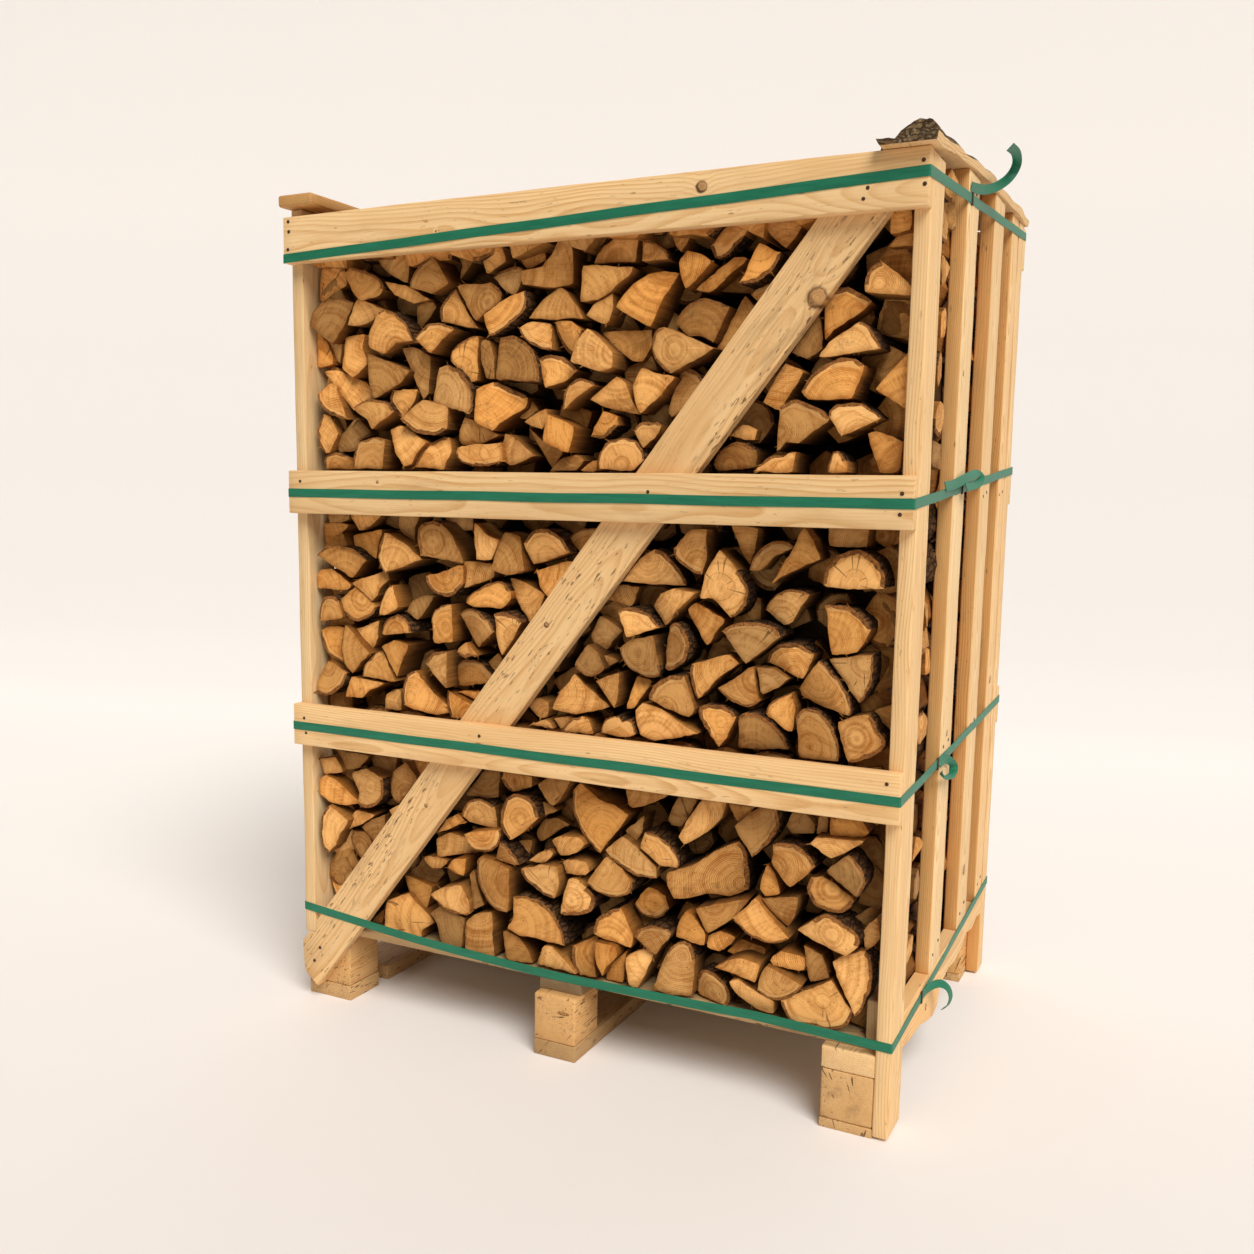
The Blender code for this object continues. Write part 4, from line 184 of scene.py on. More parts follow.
MIDDLE_ENDS = (
    (3, 0, 1.6, 94, 2.2, 96.7, 9.7, 96.3, 6.5, 94, 3.2, 91.9),
    (4, 0, 10, 98.5, 12.3, 95.1, 15, 96, 18, 98.5),
    (4, 0, 10.6, 94.2, 17.8, 95.7, 16.9, 93, 16.5, 89.8, 14, 91.2, 11, 91.9),
    (2, 0, 21.5, 95.4, 22.3, 98.5, 27.3, 98.5, 25.7, 96, 24.7, 93.3),
    (0, 5, 27.2, 91, 26.6, 93, 26.8, 96, 29, 97.3, 31.5, 97.1, 34, 95, 36.4, 89.7),
    (5, 0, 32.5, 98.5, 33.4, 97, 36, 95.8, 38.8, 95.9, 39, 98.5),
    (-1, 0, 39.2, 97.4, 42, 95.2, 44.3, 94.4, 42.6, 90.7, 39.3, 90.5),
    (0, 5, 0.6, 90.1, 3, 91.4, 6, 92, 9.5, 91.4, 12.2, 89.4, 9.9, 85.9, 5, 88.2),
    (1, 0, -0.8, 86.3, 1, 87.2, 5, 87.7, 7.5, 86.5, 10.5, 84.6, 9.5, 83.6, -0.8, 83.5),
    (0, 4, 18.7, 87.4, 17.5, 89.5, 17.6, 92.5, 18.6, 94.9, 19.5, 95, 23.8, 92.8, 27.5, 90.2),
    (1, 0, 10.4, 85.1, 17.8, 87.7, 18.8, 86, 17, 84.3, 16.7, 83, 15.4, 81.8),
    (0, 6, 16.5, 80.8, 14.8, 79, 12, 77.9, 9.5, 78.4, 7.3, 80.2, 6.8, 81.3, 10.8, 84.6),
    (0, 5, 0.1, 76.9, 0.8, 79.6, 2.6, 81.8, 5, 82.3, 6.8, 81.4, 8, 78.2),
    (0, 4, 16.6, 79.2, 16.8, 81.5, 18.2, 83.9, 20.2, 85.2, 21.8, 80.9, 18.5, 79.3),
    (2, 0, 23.8, 80.3, 25.3, 82.5, 28, 83.7, 30.3, 83.8, 28.8, 81.5, 26.3, 78.7),
    (0, 6, 17, 75.4, 18.2, 77.7, 20.3, 79.2, 22.5, 79.3, 24.2, 78, 25, 76.2),
    (0, 6, 28.2, 87.2, 28.9, 85.3, 30.5, 84, 32.5, 83.6, 34.8, 84.3, 36.6, 86, 36.7, 89.5),
    (1, 0, 36.8, 85.1, 36.8, 90.4, 43, 90.2, 43.1, 87.7),
    (1, 4, 29.3, 78, 29.2, 79.5, 31, 81.5, 34, 82.3, 34.4, 75, 29.7, 74.6),
    (0, 5, 34.8, 80.4, 37, 81.3, 40, 81, 42.3, 79.5, 43.5, 77.7, 38.9, 74.2),
    (1, 5, 37, 82.7, 39, 84.7, 42, 86.2, 45, 86.8, 47, 85.3, 47.2, 84, 45, 82, 39, 81.9),
    (2, 4, 7, 68.9, 4, 70.2, 1.8, 72.3, 0.6, 75.4, 3, 76.2, 7.7, 76.4, 7.2, 72),
    (0, 5, 9.4, 67.1, 7.8, 69, 7.3, 72, 7.7, 75, 8.3, 76.8, 12.7, 73.6, 15, 71.5, 12, 69.6),
    (2, 0, 10, 76.2, 13, 76.8, 17.1, 78.3, 16.6, 75.8, 17, 74.8, 15.1, 72.3),
    (1, 0, 17.6, 73.2, 20.5, 74.6, 24, 74, 22.7, 71.5, 21.3, 67.2),
    (0, 4, 12.4, 66.9, 13.1, 69, 14.9, 71.2, 17, 72.3, 21.1, 66.5),
    (0, 5, 8.8, 67.4, 7.5, 65, 5.2, 63.1, 2.5, 62.4, -0.8, 62.9, -0.8, 65, 2.8, 69.6),
    (0, 0, 8.9, 66.6, 18.3, 66, 14.3, 64.3, 12.5, 62.6, 7.2, 62.2),
    (1, 0, 18.2, 61, 18.3, 64, 21, 65.3, 22, 63, 22, 61),
    (0, 4, 22.6, 62.2, 22.6, 65.5, 23.6, 68, 25.4, 69.2, 29.6, 64.2, 33, 61.3, 29, 60.8),
    (0, 3, 27.6, 70.6, 29.4, 72.6, 32.7, 73.3, 33, 66.1),
    (1, 3, 35.2, 73.3, 37, 72.6, 40.2, 73, 38.5, 74.2, 37.3, 75.5, 35.4, 74.2),
    (1, 4, 35, 70.8, 37.5, 72, 40.5, 71.6, 44.4, 68.2, 35.1, 67),
    (1, 0, 34.9, 65.8, 37, 66.3, 42.5, 66.3, 41, 64.2),
    (0, 3, 33.6, 60.8, 32.4, 63.5, 32.1, 65.8, 39.7, 63.6, 36.8, 60.8),
    (0, 0, 44.8, 96, 48.3, 95.3, 50, 88.9, 46, 88.2, 42.7, 88.8),
    (0, 5, 49.2, 94, 51.2, 96, 54, 96.6, 57, 95.4, 59.1, 92.7, 50.3, 89.9),
    (1, 3, 58.5, 95.1, 61, 96.6, 66.5, 97, 62, 91.8),
    (1, 0, 46.5, 87.8, 49.5, 87.3, 54.2, 85.1, 52.6, 82, 51.3, 79.4, 48.2, 83.4),
    (0, 0, 52, 89.3, 59, 91.3, 61.2, 90.3, 57.5, 85, 55, 84.1, 53, 86.3),
    (0, 3, 43.5, 81, 46, 81.4, 49.3, 79.8, 44.7, 73.1, 43.8, 76),
    (3, 0, 41.8, 71.7, 44.2, 73.9, 45.4, 72.5, 45, 70.3, 43.6, 69.4),
    (0, 4, 75.2, 94, 77.5, 92.8, 79.5, 90.3, 80.6, 87.8, 69, 88, 72.5, 92.2),
    (3, 0, 66, 84.7, 69, 87.6, 73, 87.5, 71.4, 83.9),
    (0, 4, 68.6, 82.9, 70, 83.6, 73.2, 83.2, 76.6, 80.5, 70.3, 78.3, 69.8, 80.3),
    (0, 0, 74, 83.9, 76.2, 86.3, 79, 87.4, 83.3, 86.9, 81, 84.7, 76.7, 80.7),
    (2, 0, 63.2, 78.2, 65, 81.9, 69.9, 79.7, 66, 75.7, 64.8, 75.7),
    (0, 4, 66, 72.6, 64.3, 71.4, 62.4, 71.1, 60.1, 72.9, 62.9, 76.8, 64.8, 75.4),
    (2, 0, 65, 75.4, 67.3, 75, 68.7, 74.1, 66.4, 72.7),
    (0, 6, 68.8, 76.5, 69.6, 74.5, 71.5, 72.8, 74, 72, 76.3, 72.2, 76.8, 74, 75.4, 79.2, 71, 78.1),
    (0, 7, 78.3, 81, 79.6, 81.7, 81.3, 80.2, 82.2, 77.8, 81.3, 75.3, 79, 73.4, 77.5, 73.6, 77.8,
     76.5, 77.7, 79),
    (1, 0, 55.3, 64.4, 57.4, 67.9, 60.3, 71.6, 62.3, 69.5, 67.4, 66, 60.5, 63.8),
    (0, 0, 64.1, 70.4, 69.3, 72.5, 69, 68, 68.3, 65.6, 66.3, 68.4),
    (1, 0, 70.6, 65.9, 71.9, 71.9, 74.9, 71.1, 72.2, 66.2),
    (2, 0, 50.6, 64.6, 52.5, 66.3, 55, 65.8, 54.9, 62.9, 53.4, 62.7),
    (1, 0, 50.8, 61.2, 54.3, 62.6, 55.6, 62, 56.1, 60.8),
    (2, 0, 55.8, 62.9, 60, 63.6, 57.5, 60.8),
    (1, 3, 57.7, 60.8, 59.3, 62.7, 61.8, 63.8, 63, 63.3, 64, 60.8),
    (0, 6, 65, 61, 66.2, 63.4, 69, 64.5, 69.8, 63.4, 71.5, 64.2, 72.6, 61.8, 70.5, 60.9),
    (0, 4, 74.6, 68.1, 75.8, 70.3, 78, 72.2, 81.4, 72.8, 83.3, 67, 82.2, 65.5, 78.5, 66.5),
    (0, 0, 72.2, 66, 73.2, 67.5, 77, 66.4, 84.3, 62.8, 76, 60.8, 73, 61.5),
    (1, 4, 84, 89.8, 81, 91, 79.5, 92.3, 78.8, 94, 82, 97.4, 85, 97.6, 84.9, 93.5),
    (0, 5, 90.3, 91, 91.8, 88.5, 91.8, 86, 90.8, 84, 89.2, 82.9, 86, 86, 83.7, 85.8, 84.6, 90, 87.2, 94.3),
    (2, 0, 89, 98.3, 90.5, 94.5, 91.9, 91.5, 93, 94, 94, 97.8),
    (0, 5, 92.5, 91, 93.6, 93.6, 95.7, 95.4, 98, 95.9, 100, 95.1, 96.5, 93.3, 94.6, 90.9),
    (1, 0, 96.1, 88.7, 98.5, 93, 101.6, 98.3, 103.3, 95.5, 104.6, 93.2, 100.5, 91.6),
    (2, 0, 105.1, 98.4, 105.4, 95.2, 111.9, 95.3, 112.2, 98.4),
    (0, 7, 104.6, 89, 105.5, 92, 107.8, 94.2, 110.5, 94.8, 113, 93.7, 114.5, 91.5, 115, 89, 109, 88.5),
    (0, 5, 105.2, 85.9, 107.5, 86, 110, 85.5, 112.5, 83.7, 113, 82.5, 111, 78.8, 106.7, 78),
    (2, 4, 95, 84.6, 96.5, 86.8, 99.5, 88.2, 103, 87.7, 101.5, 85.5, 100, 82.9, 98.5, 82.4),
    (0, 5, 87.8, 80.8, 90, 82, 93.5, 82.5, 97, 81.8, 98.2, 80.5, 92.4, 75.5),
    (2, 0, 81.6, 84.1, 83.2, 85.4, 88.6, 82.7, 85.5, 78),
    (1, 5, 95.3, 76, 96.3, 78, 98.5, 79.3, 101, 79.5, 103.8, 78, 104, 77.5, 102.2, 73.8, 98, 75.3),
    (0, 4, 104.8, 77.1, 107.5, 74.8, 110, 71.5, 110.3, 68.5, 105, 69.5, 101, 70.5, 100.6, 71.8),
    (0, 4, 113.5, 78.7, 113.5, 75.5, 112.8, 72.5, 111.6, 70.7, 106, 77.4),
    (0, 3, 83.6, 68.7, 82.4, 71.5, 82.3, 74.8, 89.5, 77, 91.3, 75.6, 87.5, 72.8),
    (0, 4, 94.9, 69.5, 92.8, 68.4, 90, 69.2, 87.3, 71, 93.7, 75.3),
    (1, 0, 94.1, 75.4, 97, 75.1, 100.1, 73.7, 95.3, 70.4),
    (1, 3, 96, 67.7, 97.3, 69.8, 100.3, 71.5, 101.1, 69, 100.8, 65, 99.5, 65.4),
    (0, 6, 101.2, 67.3, 102.5, 69, 104.8, 68.7, 107, 66.8, 108.5, 64, 108.6, 61, 102, 60.9),
    (0, 5, 113.3, 69.2, 114.6, 66.4, 115.9, 65, 114.3, 62.6, 110.3, 61, 109.2, 63.8, 108.2, 67.5),
    (1, 6, 86.5, 63, 84.8, 65, 84.2, 67.5, 86.5, 68.2, 89.5, 67.8, 91.2, 66.7, 88, 60.9),
    (0, 5, 91.4, 66.9, 93.5, 67.5, 96.5, 66.3, 98.5, 64, 99.5, 61.5, 91, 61, 91.6, 64),
    (4, 0, 113.8, 69.6, 117.2, 71.5, 117.2, 66),
)
LOWER_ENDS = (
    (1, 0, 0, 49.3, 5, 50.2, 6.3, 48.5, 7.2, 47.3, 1.2, 46.2),
    (2, 0, 5.2, 51.8, 13.5, 51, 11.5, 48.5, 7.6, 47.8, 5.6, 50.3),
    (0, 0, -0.8, 41.9, 0.2, 45.1, 2, 46.3, 5, 45.3, 11, 41.2, 7.2, 40.3, 3.2, 40.4),
    (0, 4, 17.6, 47.2, 17.2, 43.2, 13.6, 40.7, 10.8, 41.1, 11.4, 43.6, 8, 46.9, 12.3, 48.7),
    (4, 0, 14.3, 50.5, 15, 51.8, 21.3, 51.8, 20.5, 49, 15.3, 48),
    (1, 4, 20.8, 42.4, 19.4, 43.6, 19.1, 46.3, 19.9, 48.7, 23.3, 51.3, 25.2, 47.6),
    (1, 0, 23.6, 51.8, 25.3, 47.8, 26.3, 45.4, 29, 48.4, 29.8, 51.8),
    (0, 0, 18.5, 40.9, 21.3, 42.5, 25.2, 44.4, 24, 41, 20.6, 38.4),
    (0, 5, 2.6, 40, 0.8, 38, 0.3, 35.3, 0.8, 31.7, 2.3, 30, 4.2, 31.6, 5.4, 34.1, 8.2, 37.4),
    (2, 0, 5.6, 34.4, 8.3, 37.4, 10.2, 40.1, 15.5, 39.6, 12, 37.3, 8.6, 35.9),
    (1, 0, 11.6, 36.6, 14.5, 38.5, 18.2, 40.2, 18, 36, 16.3, 32.9, 15.3, 34),
    (0, 4, 12.3, 29.9, 9.5, 32.5, 8.9, 34.3, 9.5, 35.5, 12.5, 35.8, 14.4, 34, 13.5, 31),
    (1, 0, 0.6, 26.2, 2.5, 28.2, 4.3, 30.9, 6.3, 33.3, 8.2, 33, 11, 28.5, 6.5, 26.6, 2, 24.8),
    (0, 0, 8.6, 26.1, 11, 28.2, 13.3, 29.4, 14, 28, 10.2, 25),
    (2, 4, 6.6, 20.2, 4.2, 21.2, 2.9, 23, 2.1, 24.6, 6.5, 26.1, 10, 24.8, 9, 22),
    (5, 0, -0.8, 22, 1.9, 23.4, 3.6, 21.3, 2.5, 19.6, -0.8, 19.5),
    (1, 0, 2.7, 19.3, 5, 20.6, 7.3, 19.8, 6, 16.5, 3, 16.5),
    (4, 0, 14, 16, 16, 19.5, 17.4, 20.8, 17, 16),
    (0, 0, 17.2, 15.8, 18.2, 22.8, 23, 24.8, 28.9, 19.5, 26.3, 17.6, 26, 15.8),
    (2, 0, 22, 28.4, 25, 28.2, 29.4, 27.2, 28.5, 23.7, 27.8, 22.2, 23.5, 25),
    (1, 0, 30.2, 37.9, 32.5, 41, 35.3, 42.6, 37.8, 41.2, 34, 39.5),
    (1, 0, 30, 36.9, 33.6, 38.6, 36.5, 38, 39.2, 35.1, 36, 34.4, 30.3, 33.2),
    (1, 0, 27.2, 32.6, 28.6, 33.4, 32.8, 32.8, 31.2, 31.1, 29.2, 30.7),
    (0, 0, 32.9, 31.6, 34.3, 33.6, 37.3, 34.1, 36.2, 30.1),
    (0, 4, 38, 23.2, 35, 22.7, 31.5, 23.6, 28.5, 25.3, 31, 27.3, 36.2, 28.8, 38, 25),
    (1, 0, 37.4, 30.8, 38.4, 32, 39.5, 28.8, 41.6, 25.4, 38.5, 24, 38.4, 26.5),
    (0, 0, 27.6, 21.2, 30.2, 23.3, 36.7, 22.1, 36.1, 15.8, 31, 15.8, 29.7, 19.5),
    (1, 0, 36.5, 15.8, 37, 21.4, 39.5, 23.5, 43.1, 24.8, 43.6, 15.8),
    (2, 4, 36.2, 42.2, 37.5, 44.8, 40.5, 46, 43.5, 45, 44.3, 40.9, 38, 41.4),
    (2, 0, 36.9, 46.3, 38.7, 48.5, 41.2, 51.8, 44.4, 51.8, 44.3, 46.6),
    (0, 5, 44.6, 40.6, 44.2, 38, 42, 36, 39, 35.4, 37.2, 36.8, 36.7, 38.8, 40, 39.9),
    (2, 3, 47.3, 48.3, 45.8, 49.2, 45, 50.5, 45.2, 51.8, 51.8, 51.8, 52, 49.7),
    (0, 8, 46.5, 38.7, 44.8, 41, 44.7, 43.8, 45.7, 46.2, 47.5, 47.7, 49.5, 48, 52, 46.8, 53.2,
     44.2, 50, 41.2),
    (1, 0, 52.3, 50.2, 54.3, 51.8, 59.7, 51.8, 58, 48.8, 56.1, 46.6, 54.9, 47.7),
    (3, 0, 52.5, 46.9, 54.5, 47.3, 57, 46, 53.8, 44.6),
    (4, 0, 52.2, 41, 53.8, 43.8, 57, 44.7, 60, 43.9, 56.5, 41.9, 53.3, 39.7),
    (0, 0, 55.5, 40.1, 57.5, 41.5, 61.8, 41.8, 62.6, 40.5, 61, 38.7, 56.9, 37.3),
    (1, 0, 50.9, 35.7, 53, 37.4, 55.4, 38.5, 56.2, 37.8, 54.6, 35.8),
    (1, 0, 57.3, 36.4, 59, 37.3, 63, 37.2, 64, 35.7, 63, 34.8, 58.5, 34.1),
    (0, 3, 44.7, 38.5, 46.8, 37.2, 49, 34.6, 47.8, 34.2, 43.8, 35),
    (4, 0, 47.2, 38.6, 51.7, 39.8, 51, 36.2, 49.2, 35.1),
    (0, 5, 45.3, 24.9, 42, 26.1, 39.8, 29.5, 39.6, 33, 40.5, 35, 46.9, 33.7, 46.8, 29, 46.4, 25),
    (0, 4, 56.5, 29.2, 53.5, 30.2, 50, 32.2, 49, 33.9, 53, 35.2, 57.2, 35.7, 57.6, 32.5),
    (0, 5, 63, 32.6, 64.7, 30.7, 64, 28.4, 61.5, 27.3, 57.6, 26.5, 58.2, 30, 59.4, 33.8, 61.2, 34),
    (0, 6, 47.7, 28.4, 50.5, 28.8, 54, 28, 56.5, 25.8, 58, 23.2, 58.8, 20.6, 49, 21, 46.3, 21.9, 47.6, 24),
    (1, 0, 45.3, 21.2, 46, 15.8, 52.0, 15.8, 50.8, 18.5, 49, 20.7, 46.5, 21.5),
    (0, 0, 52.3, 15.8, 54, 20, 55.9, 20.2, 61.5, 15.8),
    (1, 3, 62, 15.8, 60.4, 18, 60.2, 21, 63, 22.3, 64.6, 23.4, 64.4, 20.8, 65.5, 16),
    (0, 0, 64.8, 22.9, 69, 22.5, 69.5, 20.8, 67.5, 18.6, 66.6, 16.3, 65.4, 18.5),
    (2, 0, 71.5, 22.6, 69.5, 20.5, 67.7, 18.3, 67.2, 15.8, 71, 15.8, 71, 20.3),
    (0, 0, 70.9, 20.7, 72.3, 21.8, 75, 22.9, 76.4, 22.2, 75, 18.4, 73.7, 15.8, 71.9, 15.8),
    (1, 4, 64.4, 24, 65.1, 26.7, 67, 28.4, 69.9, 30, 72.6, 25.5, 72.4, 22.9),
    (0, 4, 72.7, 25.1, 74.3, 26.9, 77, 27.8, 80.1, 27.2, 77.1, 22.3),
    (4, 4, 79.5, 31.5, 77, 29.3, 74.3, 29.5, 72.6, 31, 75.5, 35, 79, 33.8),
    (0, 5, 72.5, 35.2, 72, 33.3, 69.5, 32, 66, 32, 63.1, 33.4, 66.8, 39, 70, 37.2),
    (1, 4, 65.8, 39.4, 62, 42.4, 59.7, 46, 59.4, 49.8, 60.8, 51.5, 64.8, 49, 68.3, 48.4, 71.5,
     47.2, 68.5, 42.8),
    (1, 0, 69.8, 51.8, 70.8, 48, 73.5, 48.6, 79, 51.8),
    (0, 4, 77, 36.6, 73.5, 36.5, 70.4, 37.5, 67.9, 39, 66.5, 40.1, 70, 43.2, 73, 41.6, 77.3, 38.4),
    (0, 5, 74.5, 44.5, 77, 44, 79.3, 42.5, 81, 40.2, 80.8, 38.8, 77.5, 38.8, 75.5, 40.5, 73.6,
     41.5, 74.2, 43.2),
    (3, 0, 70.6, 44.2, 74.3, 47.5, 74, 44.2, 72.6, 42.4),
    (2, 0, 78.3, 47, 80.8, 51.8, 84.6, 51.8, 83, 48.6, 81.2, 46.2, 79, 46.1),
    (0, 0, 81, 44.6, 82.8, 48.1, 85.4, 51.8, 89.2, 51.8, 88.6, 48.8, 86.3, 46.2, 82, 43.2),
    (2, 0, 89.8, 51.8, 91.7, 48.6, 95.3, 51.8),
    (1, 4, 98.3, 51.5, 98.7, 49, 97.3, 46, 94.5, 43.1, 90.9, 48, 95.7, 51.7),
    (3, 0, 100.2, 49.3, 101, 51.8, 103.5, 51.8, 105.2, 50.1, 105, 48.4, 101.3, 48.1),
    (3, 0, 105.5, 48.7, 105.7, 51.8, 107.3, 51.8, 107.3, 48.6),
    (1, 0, 107.5, 48.6, 107.6, 51.8, 112.8, 51.8, 114.2, 49.8, 113, 48.8),
    (0, 0, 104.2, 46.8, 105.3, 48.2, 113.4, 48.4, 110.5, 46.3, 108, 44.9),
    (-1, 3, 91.5, 44.9, 92.4, 42.5, 92.4, 35.6, 89.2, 34.2, 86.5, 34.7, 80.2, 33.3, 78.9, 35.5,
     78.7, 37.9, 83.3, 39.8, 87.5, 42.9),
    (0, 0, 84.4, 32.4, 88, 33.6, 93.8, 35.1, 91.2, 31.5, 86.8, 28.2),
    (1, 0, 80.4, 26.2, 81, 28.8, 82.7, 31.7, 84, 31.2, 86.6, 28, 86.3, 25.9),
    (2, 0, 87, 28.1, 89.2, 29.4, 92, 28.5, 89.9, 25.9, 88.9, 25.2, 86.7, 25.8),
    (1, 0, 95.9, 37.8, 97.2, 42.6, 98.6, 41, 99.9, 37.4, 97, 36.5),
    (0, 4, 98, 45.8, 100, 46, 103, 45.3, 105.3, 42.8, 101.3, 38.7, 97.8, 42.8, 98.3, 44.3),
    (0, 4, 111, 46, 113, 44, 113.8, 41.5, 112.3, 38.4, 106.8, 42.4, 108.5, 44),
    (1, 6, 104.8, 41.2, 104.2, 39.3, 105.5, 36.8, 108.5, 35.8, 111, 36.3, 112, 38, 109, 40.3, 106.5, 41.8),
    (1, 0, 95.9, 36.2, 100.2, 37.1, 102.9, 37.5, 102.2, 34, 100.9, 31.6),
    (0, 4, 101.5, 29.8, 98.5, 28.6, 94.8, 29.1, 91.1, 31.9, 95.3, 36.2),
    (0, 4, 105, 33.6, 108, 35.1, 113, 32.7, 113.2, 30.8, 111.3, 28.9, 106, 30.2, 102, 31.2),
    (3, 0, 113.6, 33.5, 116, 36.5, 116.8, 33, 114.5, 30.5),
    (0, 5, 114, 29.8, 115.3, 27.5, 115.2, 24, 114.3, 21, 113.2, 18.9, 111, 23, 108.5, 27.2, 110.5, 28.5),
    (2, 0, 103.8, 29.8, 107.3, 28.4, 108.8, 24.4, 105.2, 23, 104.4, 26.2),
    (1, 0, 98.2, 25.8, 100, 27.6, 104, 27, 104.1, 24.9, 98.8, 24.8),
    (0, 0, 87.6, 22, 90.3, 24, 93, 24.9, 96.6, 24.6, 95.7, 21.2),
    (0, 4, 104, 22.3, 102, 20, 98.8, 18.9, 96.1, 19.9, 96.8, 22.5, 97.6, 24.6, 101, 23.6),
    (0, 0, 90.9, 20.6, 92.5, 21.1, 95.8, 19.7, 99.2, 18.6, 98.8, 16, 95.5, 16, 92, 18.4),
    (0, 6, 112.5, 19.4, 111.8, 17.5, 109.5, 15.9, 103, 15.9, 101, 17.5, 100.2, 19, 108.7, 24.2),
    (2, 6, 84.4, 17.5, 85, 20.2, 86.8, 21.8, 90, 20.4, 91.3, 18, 90.8, 15.9, 84.8, 15.9),
    (0, 4, 79.2, 23.3, 81, 25.2, 83, 25.2, 84, 22.5, 83.8, 15.8, 76.2, 15.8, 77.8, 19.8),
    (4, 0, 90.2, 25.7, 92.5, 28.2, 97.3, 27.4, 97, 25.2, 93, 25.4),
)


def at(x, y, z):
    """A point in crate coordinates, in the frame's."""
    return Vector((x, y, z)) + CORNER


def clamp(value, low, high):
    return min(max(value, low), high)


def held_within(corners, across, up):
    """Corners (across, up) moved into two ranges."""
    return [(clamp(x, *across), clamp(z, *up)) for x, z in corners]


def middle_of(corners):
    return sum((Vector(corner) for corner in corners), Vector((0, 0))) / len(corners)


def mesh_from(bm, name):
    mesh = bpy.data.meshes.new(name)
    bm.to_mesh(mesh)
    bm.free()
    return mesh


def new_piece(mesh, materials, sharp=None):
    """An object named as its mesh. With sharp it is smooth, but for edges of more than so many degrees."""
    for material in materials:
        mesh.materials.append(material)
    if sharp is not None:
        mesh.shade_smooth()
        mesh.set_sharp_from_angle(angle=math.radians(sharp))
    piece = bpy.data.objects.new(mesh.name, mesh)
    bpy.context.scene.collection.objects.link(piece)
    return piece


def settle(piece, slot, *nodes):
    """Every piece rides on the only body and stands for its CAD nodes. Its slot is not used."""
    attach(piece, "root")
    if nodes:
        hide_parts(*nodes)


class Field:
    """What a node gives out. It is added, subtracted, multiplied and divided like a number."""

    def __init__(self, nodes, socket):
        self.nodes = nodes
        self.socket = socket

    def __add__(self, other):
        return self.nodes.math("ADD", self, other)

    def __sub__(self, other):
        return self.nodes.math("SUBTRACT", self, other)

    def __mul__(self, other):
        return self.nodes.math("MULTIPLY", self, other)

    def __truediv__(self, other):
        return self.nodes.math("DIVIDE", self, other)


